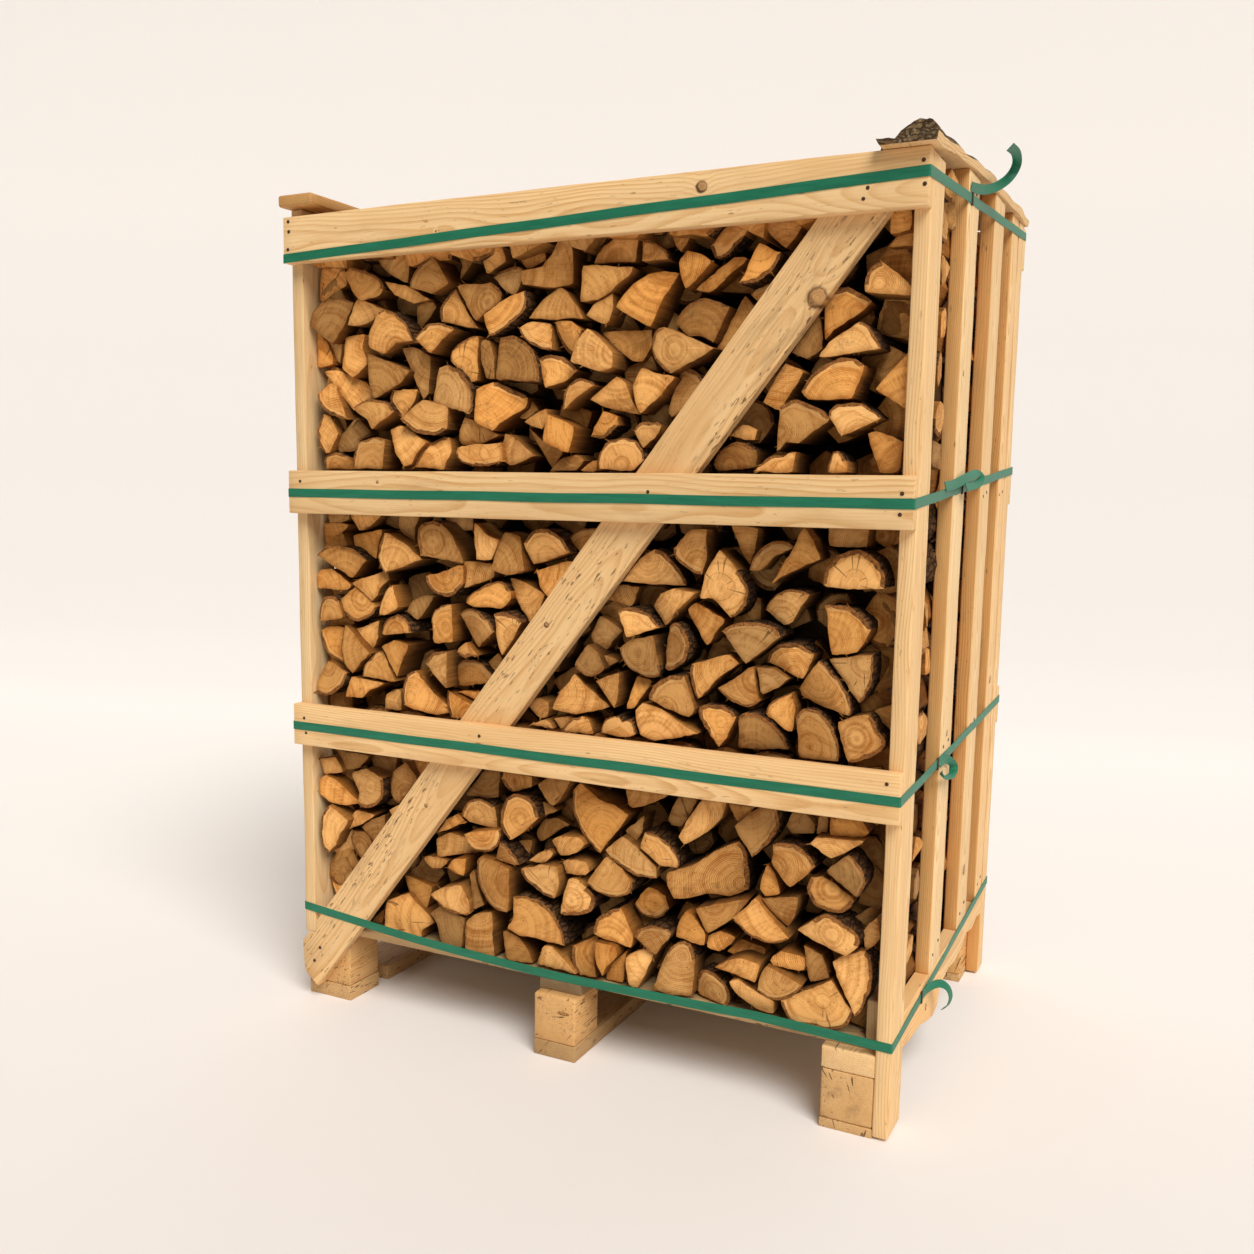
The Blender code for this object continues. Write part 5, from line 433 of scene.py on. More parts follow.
class Nodes:
    """A material's node tree, with a short call for each kind of node that the materials are made of."""

    def __init__(self, name):
        self.material = bpy.data.materials.new(name)
        self.material.use_nodes = True
        self.tree = self.material.node_tree
        self.shader = self.tree.nodes["Principled BSDF"]

    def put(self, socket, value):
        if isinstance(value, Field):
            self.tree.links.new(value.socket, socket)
        else:
            socket.default_value = value

    def add(self, kind, output, settings, inputs):
        node = self.tree.nodes.new(kind)
        for key, value in settings.items():
            setattr(node, key, value)
        for key, value in inputs.items():
            self.put(node.inputs[key], value)
        return Field(self, node.outputs[output])

    def math(self, operation, first, second=0.0):
        return self.add("ShaderNodeMath", 0, {"operation": operation}, {0: first, 1: second})

    def fraction(self, value):
        return self.math("FRACT", value)

    def below(self, value, limit):
        return self.math("LESS_THAN", value, limit)

    def vector_math(self, operation, first, second=(0, 0, 0), output="Vector"):
        return self.add("ShaderNodeVectorMath", output, {"operation": operation}, {0: first, 1: second})

    def moved(self, vector, offset):
        return self.vector_math("ADD", vector, offset)

    def scaled(self, vector, scale):
        return self.vector_math("MULTIPLY", vector, scale)

    def length(self, vector):
        return self.vector_math("LENGTH", vector, output="Value")

    def turned(self, vector, angle):
        """The vector turned about y."""
        inputs = {"Vector": vector, "Angle": angle}
        return self.add("ShaderNodeVectorRotate", 0, {"rotation_type": "Y_AXIS"}, inputs)

    def split(self, vector):
        node = self.tree.nodes.new("ShaderNodeSeparateXYZ")
        self.put(node.inputs[0], vector)
        return [Field(self, output) for output in node.outputs]

    def joined(self, x, y, z):
        return self.add("ShaderNodeCombineXYZ", 0, {}, {0: x, 1: y, 2: z})

    def grey(self, value):
        return self.joined(value, value, value)

    def noise(self, vector, scale, detail=3.0, roughness=0.55):
        inputs = {"Vector": vector, "Scale": scale, "Detail": detail, "Roughness": roughness}
        return self.add("ShaderNodeTexNoise", "Fac", {}, inputs)

    def stretched_noise(self, vector, scale, detail=3.0, roughness=0.55):
        """Noise with a scale of its own along each axis."""
        return self.noise(self.scaled(vector, scale), 1.0, detail, roughness)

    def cells(self, vector, scale, feature="F1"):
        inputs = {"Vector": vector, "Scale": scale}
        return self.add("ShaderNodeTexVoronoi", "Distance", {"feature": feature}, inputs)

    def ramp(self, factor, *stops):
        """Colours or greys, each given with its place, and the blends between them."""
        node = self.tree.nodes.new("ShaderNodeValToRGB")
        self.put(node.inputs[0], factor)
        elements = node.color_ramp.elements
        while len(elements) < len(stops):
            elements.new(1.0)
        for element, (place, colour) in zip(elements, stops):
            element.position = place
            element.color = (*(colour if isinstance(colour, tuple) else (colour,) * 3), 1.0)
        return Field(self, node.outputs["Color"])

    def rise(self, factor, start, end, top=1.0):
        return self.ramp(factor, (start, 0.0), (end, top))

    def fall(self, factor, start, end):
        return self.ramp(factor, (start, 1.0), (end, 0.0))

    def mix(self, factor, first, second, blend="MIX"):
        node = self.tree.nodes.new("ShaderNodeMix")
        node.data_type = "RGBA"
        node.blend_type = blend
        self.put(node.inputs["Factor"], factor)
        for socket, value in ((node.inputs[6], first), (node.inputs[7], second)):
            self.put(socket, (*value, 1.0) if isinstance(value, tuple) else value)
        return Field(self, node.outputs[2])

    def tinted(self, colour, tint):
        return self.mix(1.0, colour, tint, "MULTIPLY")

    def attribute(self, name):
        return self.add("ShaderNodeAttribute", "Vector", {"attribute_name": name}, {})

    def place(self):
        return self.add("ShaderNodeTexCoord", "Object", {}, {})

    def facing(self, output):
        return self.split(self.add("ShaderNodeNewGeometry", output, {}, {}))

    def bump(self, height, strength, distance):
        inputs = {"Height": height, "Strength": strength, "Distance": distance}
        return self.add("ShaderNodeBump", "Normal", {}, inputs)

    def finish(self, specular, colour, roughness, normal=None):
        self.put(self.shader.inputs["Specular IOR Level"], specular)
        self.put(self.shader.inputs["Base Color"], colour)
        self.put(self.shader.inputs["Roughness"], roughness)
        if normal is not None:
            self.put(self.shader.inputs["Normal"], normal)
        return self.material


# Sawn pine

PINE_PALE = (0.900, 0.650, 0.350)
PINE_DARK = (0.620, 0.330, 0.105)
PINE_PATCHES = ((0.25, (0.88, 0.80, 0.70)), (0.5, (1.0, 1.0, 1.0)), (0.8, (1.05, 1.03, 1.0)))
SMEAR = (0.33, 0.195, 0.090)
DASH = (0.150, 0.080, 0.036)
PINE_SPECK = (0.20, 0.095, 0.035)
END_CRACK = (0.060, 0.028, 0.012)
SHADED_WARM_EDGE = (0.80, 0.60, 0.37)
KNOT_RIM = (0.110, 0.046, 0.016)
KNOT_HEART = (0.620, 0.360, 0.150)
LARGE_KNOT = 0.012
KNOT_RING = 0.0016
PITH_BEHIND_FACE = (0.045, 0.085)
PITH_OFF_CENTRE = 0.035
RINGS_PER_METRE = (230, 330)
BRACE_TILT = math.atan(BRACE_SLOPE)
GRAIN_OF = {"rail": 0, "deck": 0, "post": 2, "slat": 2, "corner": 2, "brace": 2}
TURNED = {0: (1, 2, 0), 1: (2, 0, 1), 2: (0, 1, 2)}


class Board:
    """How a board's grain runs: the axis along it, its tilt about y, its pith and how its faces look."""

    def __init__(self, low, high, axis, tilt, rng):
        middle = Matrix.Rotation(tilt, 3, "Y") @ ((low + high) / 2)
        self.axis = axis
        self.tilt = tilt
        first, second, _ = TURNED[axis]
        thin = 0 if high[first] - low[first] < high[second] - low[second] and not tilt else 1
        offset = [rng.uniform(-PITH_OFF_CENTRE, PITH_OFF_CENTRE) for _ in range(2)]
        offset[thin] = rng.choice((-1, 1)) * rng.uniform(*PITH_BEHIND_FACE)
        self.pith = (-(middle[first] + offset[0]), -(middle[second] + offset[1]), rng.uniform(-3, 3))
        flat = [1.0, 1.0, 1.0]
        flat[(first, second)[thin]] = 0.3
        self.flat = tuple(flat)

    def grain(self, nodes):
        """Places with the board's length along z."""
        place = nodes.place()
        if self.tilt:
            place = nodes.turned(place, self.tilt)
        parts = nodes.split(place)
        return nodes.joined(*(parts[number] for number in TURNED[self.axis]))


def knot_layers(nodes, board, radius, knots):
    """The rings pushed aside by each knot, and for each the masks of its heart and rim and its colour, with
    painted shade on the heart's lower left.
    """
    layers = []
    for centre, size in knots:
        offset = nodes.vector_math("SUBTRACT", nodes.place(), tuple(at(*centre)))
        wobble = nodes.noise(nodes.place(), 0.9 / size, 4.0, 0.6)
        away = nodes.length(nodes.scaled(offset, board.flat)) * (wobble * 0.7 + 0.65)
        radius = radius + nodes.math("POWER", math.e, away * (-0.55 / size)) * (size * 0.8)
        part = away / (size * 2.0)
        rim = nodes.ramp(part, (0.38, 0.0), (0.46, 1.0), (0.52, 0.55), (0.62, 0.0))
        rim = rim * nodes.ramp(wobble, (0.38, 0.15), (0.60, 1.0))
        rings = nodes.math("SINE", (away + wobble * (size * 1.3)) * (1.7 / KNOT_RING))
        # Painted shade: the knot's heart grows darker towards its lower left, as if lit from the upper right.
        shifted = nodes.vector_math("SUBTRACT", offset, (0.35 * size, 0.0, 0.35 * size))
        shaded_side = nodes.rise(nodes.length(nodes.scaled(shifted, board.flat)) / (2.0 * size), 0.38, 0.56, 0.60)
        dark = wobble * 0.50 + (rings * 0.16 + (0.10 if size < LARGE_KNOT else -0.10)) + shaded_side
        layers.append((nodes.fall(part, 0.44, 0.52), rim, nodes.mix(dark, KNOT_HEART, KNOT_RIM)))
    return radius, layers


def weathered(nodes, grain, colour, patch, dirt):
    """Smears, dashes and specks of dirt along the grain."""
    smear = nodes.rise(nodes.stretched_noise(grain, (24, 24, 4.5), 5.0, 0.7), 0.55, 0.74)
    colour = nodes.mix(smear * dirt, colour, SMEAR)
    dashes = nodes.stretched_noise(grain, (210, 210, 42))
    dashes = nodes.rise(dashes, 0.680 - 0.12 * dirt, 0.715 - 0.12 * dirt)
    dashes = dashes * nodes.ramp(patch, (0.42, 0.15), (0.56, 1.0))
    colour = nodes.mix(dashes * min(0.9, 1.5 * dirt), colour, DASH)
    specks = nodes.fall(nodes.cells(nodes.scaled(grain, (1, 1, 0.3)), 40.0), 0.035, 0.080)
    return nodes.mix(specks * 0.6, colour, PINE_SPECK)


def pine(name, board, seed, shade=1.0, warmth=0.0, knots=(), dirt=0.25, edge_shade_and_warmth=0.0, cracked=0.0):
    """Sawn pine whose rings run round the board's pith, so that its faces and its cut ends agree.

    knots are (place in crate coordinates, radius). shade darkens the board, painted shade for boards under
    the deck; warmth turns it to orange; edge_shade_and_warmth does both on narrow faces looking along y,
    painted shade in the recesses between slats together with the warmer colour of sawn edges; cracked opens
    cracks in its ends."""
    nodes = Nodes(name)
    grain = board.grain(nodes)
    x, y, _ = nodes.split(nodes.moved(grain, board.pith))
    wander = (nodes.stretched_noise(grain, (5.0, 5.0, 1.7), 2.0, 0.45) - 0.5) * 0.055
    radius, layers = knot_layers(nodes, board, nodes.math("SQRT", x * x + y * y) + wander, knots)
    rings = nodes.fraction(radius * random.Random(seed).uniform(*RINGS_PER_METRE))
    latewood = nodes.ramp(rings, (0.0, 0.05), (0.45, 0.18), (0.80, 0.85), (0.90, 1.0), (1.0, 0.05))
    fibre = nodes.stretched_noise(grain, (420, 420, 9), 3.0, 0.6)
    patch = nodes.stretched_noise(grain, (9, 9, 2.2))
    streak = nodes.stretched_noise(grain, (95, 95, 3.5))
    amount = latewood * nodes.ramp(patch, (0.30, 0.22), (0.70, 0.80))
    amount = amount + (fibre - 0.42) * 0.75 + (streak - 0.5) * 0.55
    colour = nodes.tinted(nodes.mix(amount, PINE_PALE, PINE_DARK), nodes.ramp(patch, *PINE_PATCHES))
    colour = weathered(nodes, grain, colour, patch, dirt)
    if cracked:
        along = nodes.split(grain)[2]
        rays = nodes.joined(nodes.math("ARCTAN2", x, y) * 16.0, radius * 22.0, along * 4.0)
        gape = nodes.fall(nodes.noise(rays, 1.0, 3.0, 0.5), 0.325, 0.345)
        colour = nodes.mix(gape * cracked, colour, END_CRACK)
    for inside, rim, heart_colour in layers:
        colour = nodes.mix(rim * 0.85, nodes.mix(inside, colour, heart_colour), KNOT_RIM)
    colour = nodes.tinted(colour, tuple(shade * (1.0 + part * warmth) for part in (0.03, -0.10, -0.25)))
    # Painted shade: narrow faces looking along y are darkened and warmed as if in shade between the slats,
    # together with the warmer colour of sawn edges.
    if edge_shade_and_warmth:
        facing = nodes.rise(nodes.math("ABSOLUTE", nodes.facing("True Normal")[1]), 0.6, 0.8)
        colour = nodes.mix(facing * edge_shade_and_warmth, colour, nodes.tinted(colour, SHADED_WARM_EDGE))
    saw = nodes.stretched_noise(grain, (14, 14, 330), 2.0)
    height = fibre * 0.6 + saw * 0.4 - latewood * 0.12
    return nodes.finish(0.3, colour, fibre * 0.25 + 0.55, nodes.bump(height, 0.35, 0.0014))


KNOTS = {
    "rail_front_top": (((0.846, 0.0, 1.505), 0.0095), ((0.345, 0.0, 1.478), 0.0022)),
    "rail_front_bottom": (((0.432, 0.0, 0.571), 0.0085),),
    "rail_front_middle": (((0.212, 0.0, 1.044), 0.003),),
    "brace_front": (
        ((1.032, 0.022, 1.331), 0.0165), ((0.560, 0.022, 0.800), 0.005), ((0.300, 0.022, 0.440), 0.004),
    ),
    "slat_right_1": (((1.2, 0.33, 0.62), 0.006), ((1.2, 0.31, 1.24), 0.005)),
    "slat_right_2": (((1.2, 0.634, 0.674), 0.011), ((1.2, 0.571, 0.302), 0.010)),
    "slat_right_3": (((1.2, 0.625, 1.39), 0.009), ((1.2, 0.75, 0.66), 0.008)),
    "block_centre_front": (((0.600, 0.024, 0.090), 0.0035),),
    "wall_board_right_front": (((1.2, 0.27, 0.135), 0.006),),
    "slat_left_2": (((0.0, 0.44, 0.80), 0.010),),
    "rail_back_middle": (((0.70, 0.876, 1.060), 0.011),),
}
# How dark each kind of board is made: for the deck, the stringers and the runners under the deck this is
# painted shade, for the other kinds their own tone.
TONE_AND_SHADE_BY_KIND = {
    "deck": 0.62, "stringer": 0.36, "corner": 0.60, "runner": 0.55, "sole": 0.74, "cap": 0.64, "block": 0.78,
}
WARMTHS = {"wall": 0.6, "cap": 1.5, "block": 1.1, "sole": 0.9, "runner": 0.7, "brace": 0.4}
DIRTS = {"brace": 0.60, "block": 0.60, "sole": 0.60, "runner": 0.55, "deck": 0.55}
CLEAN_BOARD = 0.24
CRACKED_ENDS = {"block": 0.85, "sole": 0.85, "foot": 0.85, "runner": 0.85}
TILTS = {"brace_front": -BRACE_TILT, "brace_back": BRACE_TILT}
WORN_EDGE = 0.0011
CUT_STEP = 0.028
WAVER = 0.0009
TALLER = {"post_front_left": 0.0172}


def cut_up(bm, low, high):
    """Cuts a board into short lengths, and across into three at most."""
    axis = max(range(3), key=lambda number: high[number] - low[number])
    for number in range(3):
        spacing = CUT_STEP if number == axis else max(CUT_STEP, (high[number] - low[number]) / 3.01)
        normal = Vector((number == 0, number == 1, number == 2))
        place = low[number] + spacing
        while place < high[number] - 0.3 * spacing:
            geometry = bm.verts[:] + bm.edges[:] + bm.faces[:]
            bmesh.ops.bisect_plane(bm, geom=geometry, plane_co=normal * place, plane_no=normal)
            place += spacing


def rough_sawn(node, material):
    """A CAD board with worn edges that waver and ends that are a little out of true."""
    bm = bmesh.new()
    bm.from_mesh(frame["nodes"][node].data)
    bmesh.ops.remove_doubles(bm, verts=bm.verts, dist=1e-5)
    bmesh.ops.dissolve_limit(bm, angle_limit=0.01, verts=bm.verts, edges=bm.edges)
    bevel = {"offset": WORN_EDGE, "segments": 1, "profile": 0.5, "affect": "EDGES", "clamp_overlap": True}
    bmesh.ops.bevel(bm, geom=bm.edges[:], **bevel)
    low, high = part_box(node)
    for vertex in bm.verts:
        if vertex.co.z > high.z - 0.005:
            vertex.co.z += TALLER.get(node, 0.0)
    cut_up(bm, low, high)
    seed = Vector((len(node) * 3.1, 0, 0))
    for vertex in bm.verts:
        slow = noise.noise_vector(vertex.co * 7 + seed)
        quick = noise.noise_vector(vertex.co * 55 + seed)
        vertex.co += slow * WAVER + quick * WAVER * 0.35
    bmesh.ops.triangulate(bm, faces=[face for face in bm.faces if len(face.verts) > 4])
    return new_piece(mesh_from(bm, f"{node}_sawn"), [material], 28)


def dress_timber():
    """Every board of the crate, each with pine of its own and the looks of its kind."""
    slots = {row["node"]: row["material_slot"] for row in frame["record"]["subparts"]}
    for number, (node, slot) in enumerate(slots.items()):
        kind = node.split("_")[0]
        if kind in ("logs", "strap", "bark"):
            continue
        rng = random.Random(number)
        shade = TONE_AND_SHADE_BY_KIND.get(kind, 1.0) * rng.uniform(0.93, 1.04)
        warmth = rng.uniform(-0.2, 0.5) + WARMTHS.get(kind, 0.0)
        board = Board(*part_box(node), GRAIN_OF.get(kind, 1), TILTS.get(node, 0.0), rng)
        looks = {
            "knots": KNOTS.get(node, ()),
            "dirt": DIRTS.get(kind, CLEAN_BOARD),
            "edge_shade_and_warmth": 0.9 if kind == "slat" or node.startswith("post_back") else 0.0,
            "cracked": CRACKED_ENDS.get(kind, 0.0),
        }
        material = pine(f"pine_{node}", board, number, shade, warmth, **looks)
        settle(rough_sawn(node, material), slot, node)


# Logs

RING_SPACING = 0.0029
CHECKED_LOGS = 0.12
LICHEN_LOGS = 0.4
SAPPY_LOGS = 0.62
BRIGHTEST_END = 1.22
# Each pair holds the colour of the yellowest logs and of the most orange ones.
END_PALE = ((0.840, 0.462, 0.160), (0.850, 0.400, 0.100))
END_DARK = ((0.400, 0.148, 0.024), (0.400, 0.116, 0.010))
END_NEAR_OUTLINE = ((0.340, 0.130, 0.026), (0.330, 0.100, 0.012))
SPLIT_PALE = ((0.570, 0.258, 0.062), (0.550, 0.205, 0.032))
SPLIT_DARK = ((0.250, 0.092, 0.014), (0.210, 0.062, 0.007))
SPLIT_STAIN = (0.100, 0.036, 0.008)
SAPWOOD = (0.880, 0.530, 0.205)
SAP_LINE = (0.520, 0.190, 0.034)
GRIT = (0.200, 0.080, 0.022)
STAIN = (0.190, 0.085, 0.030)
END_SPECK = (0.045, 0.020, 0.010)
CHECK = (0.080, 0.032, 0.010)
RIM_COLOURS = ((0.110, 0.042, 0.012), (0.460, 0.185, 0.050))
RIM_STAIN = (0.050, 0.024, 0.010)


def sap_band(nodes, colour, from_bark, other):
    """The pale band under the bark of most logs, with a darker line on its inner side."""
    band = from_bark / (other * 0.006 + 0.0075) * 0.5
    sappy = nodes.below(other, SAPPY_LOGS)
    sap = nodes.ramp(band, (0.0, 0.45), (0.08, 1.0), (0.40, 1.0), (0.52, 0.0)) * sappy
    colour = nodes.mix(sap * 0.36, colour, SAPWOOD)
    line = nodes.ramp(band, (0.46, 0.0), (0.54, 1.0), (0.66, 0.0)) * sappy
    return nodes.mix(line * 0.50, colour, SAP_LINE)


def log_end_material():
    """Sawn or broken ends: rings, rays, a pale band under the bark, stains, specks and a few checks, with
    painted shade on ends lying back in the pile.
    """
    nodes = Nodes("log_end")
    grain = nodes.attribute("grain")
    hue, value, seed = nodes.split(nodes.attribute("tone"))
    from_bark, shade, outer = nodes.split(nodes.attribute("edge"))
    across, _, up = nodes.split(grain)
    other = nodes.fraction(seed * 7.31)
    third = nodes.fraction(seed * 23.7)
    own = nodes.moved(nodes.scaled(grain, (1, 0, 1)), nodes.joined(seed * 37.0, other * 11.0, seed))
    radius = nodes.length(nodes.joined(across, 0.0, up)) + (nodes.noise(own, 20.0, 2.0) - 0.5) * 0.012
    turns = nodes.fraction(radius * (other * 260.0 + (1.0 / RING_SPACING - 60.0)))
    rings = nodes.ramp(turns, (0.0, 0.0), (0.55, 0.15), (0.90, 1.0), (1.0, 0.0))
    years = nodes.noise(nodes.joined(radius * 150.0, seed, other), 1.0, 2.0)
    angle = nodes.math("ARCTAN2", across, up)
    check = nodes.noise(nodes.joined(angle * 7.0, radius * 16.0, seed), 1.0, 2.0, 0.4)
    check = nodes.fall(check, 0.305, 0.318) * nodes.below(third, CHECKED_LOGS)
    rays = nodes.noise(nodes.joined(angle * 70.0, radius * 34.0, seed), 1.0, 3.0, 0.6)
    streaks = nodes.stretched_noise(nodes.turned(own, seed * 40.0), (260, 1, 22), 3.0, 0.6)
    mottled = nodes.noise(own, 55.0, 4.0, 0.6)
    grit = nodes.noise(own, 520.0, 3.0, 0.7)
    amount = rings * (third * 0.60 + 0.22) + nodes.noise(own, 15.0, 2.0, 0.5) * 1.15
    amount = amount + (rays - 0.5) * 1.25 + (streaks - 0.5) + (years - 0.5) * 1.7 + (mottled * 0.70 - 0.76)
    colour = nodes.mix(amount, nodes.mix(hue, *END_PALE), nodes.mix(hue, *END_DARK))
    # Darker towards the end's outline, and over the whole far end.
    worn = nodes.rise(outer, 0.55, 1.0, 0.55) * (mottled + 0.35)
    colour = nodes.mix(worn, colour, nodes.mix(hue, *END_NEAR_OUTLINE))
    colour = sap_band(nodes, colour, from_bark, other)
    colour = nodes.mix(nodes.rise(grit, 0.60, 0.80, 0.50), colour, GRIT)
    colour = nodes.mix(nodes.rise(nodes.noise(own, 26.0, 5.0, 0.7), 0.60, 0.76, 0.75), colour, STAIN)
    colour = nodes.mix(nodes.fall(nodes.cells(own, 62.0), 0.045, 0.085) * 0.8, colour, END_SPECK)
    colour = nodes.mix(check * 0.65, colour, CHECK)
    # Painted light and shade: the edge attribute's shade darkens ends that lie back in the pile.
    bright = nodes.math("MINIMUM", (value * 0.95 + 0.52) * shade, BRIGHTEST_END)
    colour = nodes.tinted(colour, nodes.grey(bright))
    height = streaks * 0.6 + grit * 0.4 - check * 1.5 - rings * 0.2 + mottled * 1.1
    return nodes.finish(0.2, colour, grit * 0.2 + 0.7, nodes.bump(height, 0.5, 0.0022))


def log_rim_material():
    """The broken edge between a log's end and its bark."""
    nodes = Nodes("log_bark_rim")
    grain = nodes.attribute("grain")
    shade = nodes.split(nodes.attribute("edge"))[1]
    rough = nodes.noise(grain, 260.0, 4.0, 0.7)
    colour = nodes.mix(nodes.rise(rough, 0.3, 0.7), *RIM_COLOURS)
    colour = nodes.mix(nodes.rise(nodes.noise(grain, 50.0), 0.5, 0.7, 0.6), colour, RIM_STAIN)
    # Painted shade: the edge attribute's shade darkens the rims of ends that lie back in the pile.
    return nodes.finish(0.12, nodes.tinted(colour, nodes.grey(shade)), 0.9, nodes.bump(rough, 0.8, 0.002))


def log_split_material():
    """The split sides: long torn fibres, redder and darker the deeper they lie in the pile, the darkening
    being painted shade.
    """
    nodes = Nodes("log_split_side")
    hue, value, seed = nodes.split(nodes.attribute("tone"))
    shade = nodes.split(nodes.attribute("edge"))[1]
    own = nodes.moved(nodes.attribute("grain"), nodes.joined(seed, 0.0, seed * 9.0))
    fibre = nodes.stretched_noise(own, (330, 8, 330), 4.0, 0.65)
    strand = nodes.stretched_noise(own, (75, 5, 75))
    patch = nodes.stretched_noise(own, (22, 10, 22), 4.0, 0.6)
    amount = fibre * 0.9 + strand * 0.8 - 0.35
    colour = nodes.mix(amount, nodes.mix(hue, *SPLIT_PALE), nodes.mix(hue, *SPLIT_DARK))
    colour = nodes.mix(nodes.rise(patch, 0.50, 0.70, 0.75), colour, SPLIT_STAIN)
    # Painted shade from the edge attribute darkens the sides deeper in the pile.
    colour = nodes.tinted(colour, nodes.grey((value * 0.70 + 0.52) * shade))
    return nodes.finish(0.2, colour, 0.82, nodes.bump(fibre + strand * 1.3, 0.8, 0.003))


Bark = collections.namedtuple("Bark", "stretch colours furrow lichen")
LOG_BARK = Bark(
    (1.0, 0.28, 1.0),
    ((0.28, (0.034, 0.015, 0.005)), (0.50, (0.130, 0.058, 0.020)), (0.72, (0.290, 0.150, 0.060))),
    0.85,
    0.5,
)
SLAB_BARK = Bark(
    (0.55, 0.32, 1.7),
    ((0.28, (0.052, 0.032, 0.016)), (0.50, (0.185, 0.115, 0.055)), (0.70, (0.390, 0.280, 0.150))),
    0.70,
    0.8,
)
BARK_STAIN = (0.160, 0.070, 0.030)
FURROW_SHADE = (0.020, 0.012, 0.007)
LICHEN = (0.520, 0.470, 0.360)


def bark_material(name, bark):
    """Furrowed grey-brown bark with lichen, painted shade in its furrows and, on logs, deeper in the pile;
    the furrows run along y.
    """
    nodes = Nodes(name)
    on_log = bark is LOG_BARK
    own = nodes.attribute("grain") if on_log else nodes.place()
    ragged = nodes.joined(*(nodes.noise(own, scale) for scale in (60.0, 75.0, 90.0)))
    plates = nodes.scaled(nodes.moved(own, nodes.scaled(ragged, (0.012,) * 3)), bark.stretch)
    furrow = nodes.fall(nodes.cells(plates, 85.0, "DISTANCE_TO_EDGE"), 0.0, 0.14)
    rough = nodes.noise(nodes.scaled(own, (1.0, 0.45, 1.0)), 140.0, 5.0, 0.7)
    broad = nodes.rise(nodes.noise(own, 26.0, 4.0, 0.6), 0.45, 0.7, 0.6)
    colour = nodes.mix(broad, nodes.ramp(rough, *bark.colours), BARK_STAIN)
    # Painted shade: the furrows are darkened nearly to black.
    colour = nodes.mix(furrow * bark.furrow, colour, FURROW_SHADE)
    crust = nodes.noise(own, 120.0, 6.0, 0.85)
    crust = nodes.rise(crust, 0.665 - 0.1 * bark.lichen, 0.695 - 0.1 * bark.lichen)
    crust = crust * min(1.0, 1.4 * bark.lichen)
    if on_log:
        seed = nodes.split(nodes.attribute("tone"))[2]
        crust = crust * nodes.below(nodes.fraction(seed * 5.3), LICHEN_LOGS)
    colour = nodes.mix(crust, colour, LICHEN)
    # On logs, painted shade from the edge attribute darkens the bark deeper in the pile.
    if on_log:
        colour = nodes.tinted(colour, nodes.grey(nodes.split(nodes.attribute("edge"))[1]))
    height = rough + crust * 0.15 - furrow * 0.9
    return nodes.finish(0.12, colour, 0.92, nodes.bump(height, 1.0, 0.004))


END, RIM, SPLIT, BARK = range(4)
CORNER_EASE = 0.28
LOG_SHRINK = 0.985


def catmull(before, start, end, after, part):
    """A point between start and end on the smooth curve through four points."""
    pull = (end - before) * 0.5
    push = (after - start) * 0.5
    square = part * part
    cube = square * part
    return (
        start * (2 * cube - 3 * square + 1) + pull * (cube - 2 * square + part)
        + end * (3 * square - 2 * cube) + push * (cube - square)
    )


def outline_of(corners, bark_points, spacing):
    """Points round a log's end with, for each, whether the step to the next one is bark."""
    count = len(corners)
    points = []
    barks = []
    for number in range(count):
        start, end = corners[number], corners[(number + 1) % count]
        bark = number < bark_points - 1
        before = corners[number - 1] if bark and number > 0 else start * 2 - end
        after = corners[number + 2] if bark and number + 2 < bark_points else end * 2 - start
        steps = max(1, round((end - start).length / spacing))
        for step in range(steps):
            part = step / steps
            points.append(catmull(before, start, end, after, part) if bark else start.lerp(end, part))
            barks.append(bark)
    eased = []
    for number, point in enumerate(points):
        middle = (points[number - 1] + points[(number + 1) % len(points)]) / 2
        eased.append(point.lerp(middle, CORNER_EASE))
    return eased, barks


def normals_of(points, turned):
    """The way out of an outline at each of its points. It runs clockwise if turned."""
    normals = []
    for before, after in zip(points[-1:] + points[:-1], points[1:] + points[:1]):
        chord = after - before
        normal = Vector((chord.y, -chord.x)).normalized()
        normals.append(-normal if turned else normal)
    return normals


def pith_of(corners, bark_points, rng):
    """The centre of a log's growth rings: of the bark's curve, or else somewhere off one of its corners."""
    middle = middle_of(corners)
    if bark_points >= 3:
        first, last = corners[0], corners[bark_points - 1]
        half = corners[bark_points // 2]
        chord = (last - first).length / 2
        rise = max(0.006, (half - (first + last) / 2).length)
        radius = min(0.14, (chord * chord + rise * rise) / (2 * rise))
        return half + ((first + last) / 2 - half).normalized() * radius
    corner = rng.choice(corners)
    return middle + (corner - middle) * rng.uniform(0.9, 1.8)


# How a kind of log is made: the spacing of the points round its end, whether the end has full detail, its
# light, which multiplies its colours as painted light and shade, and whether painted shade makes its sides
# grow darker behind the tip.
Kind = collections.namedtuple("Kind", "spacing detail light deep")
FACE_LOG = Kind(0.0085, True, 1.0, True)
# Painted shade: fillers, the second layer, the side columns and the stubs lie back in the pile and are
# painted darker, the heart nearly black; inner and top-course logs have their colours lightened.
FILLER_LOG = Kind(0.012, False, 0.75, True)
BEHIND_LOG = Kind(0.014, False, 0.44, True)
COLUMN_LOG = Kind(0.013, False, 0.75, False)
INNER_LOG = Kind(0.013, False, 1.25, False)
TOP_LOG = Kind(0.010, False, 1.25, False)
STUB_LOG = Kind(0.008, False, 0.85, True)
HEART_LOG = Kind(0.05, False, 0.09, False)
HEART_TONE = (0.5, 0.2, 0.5)

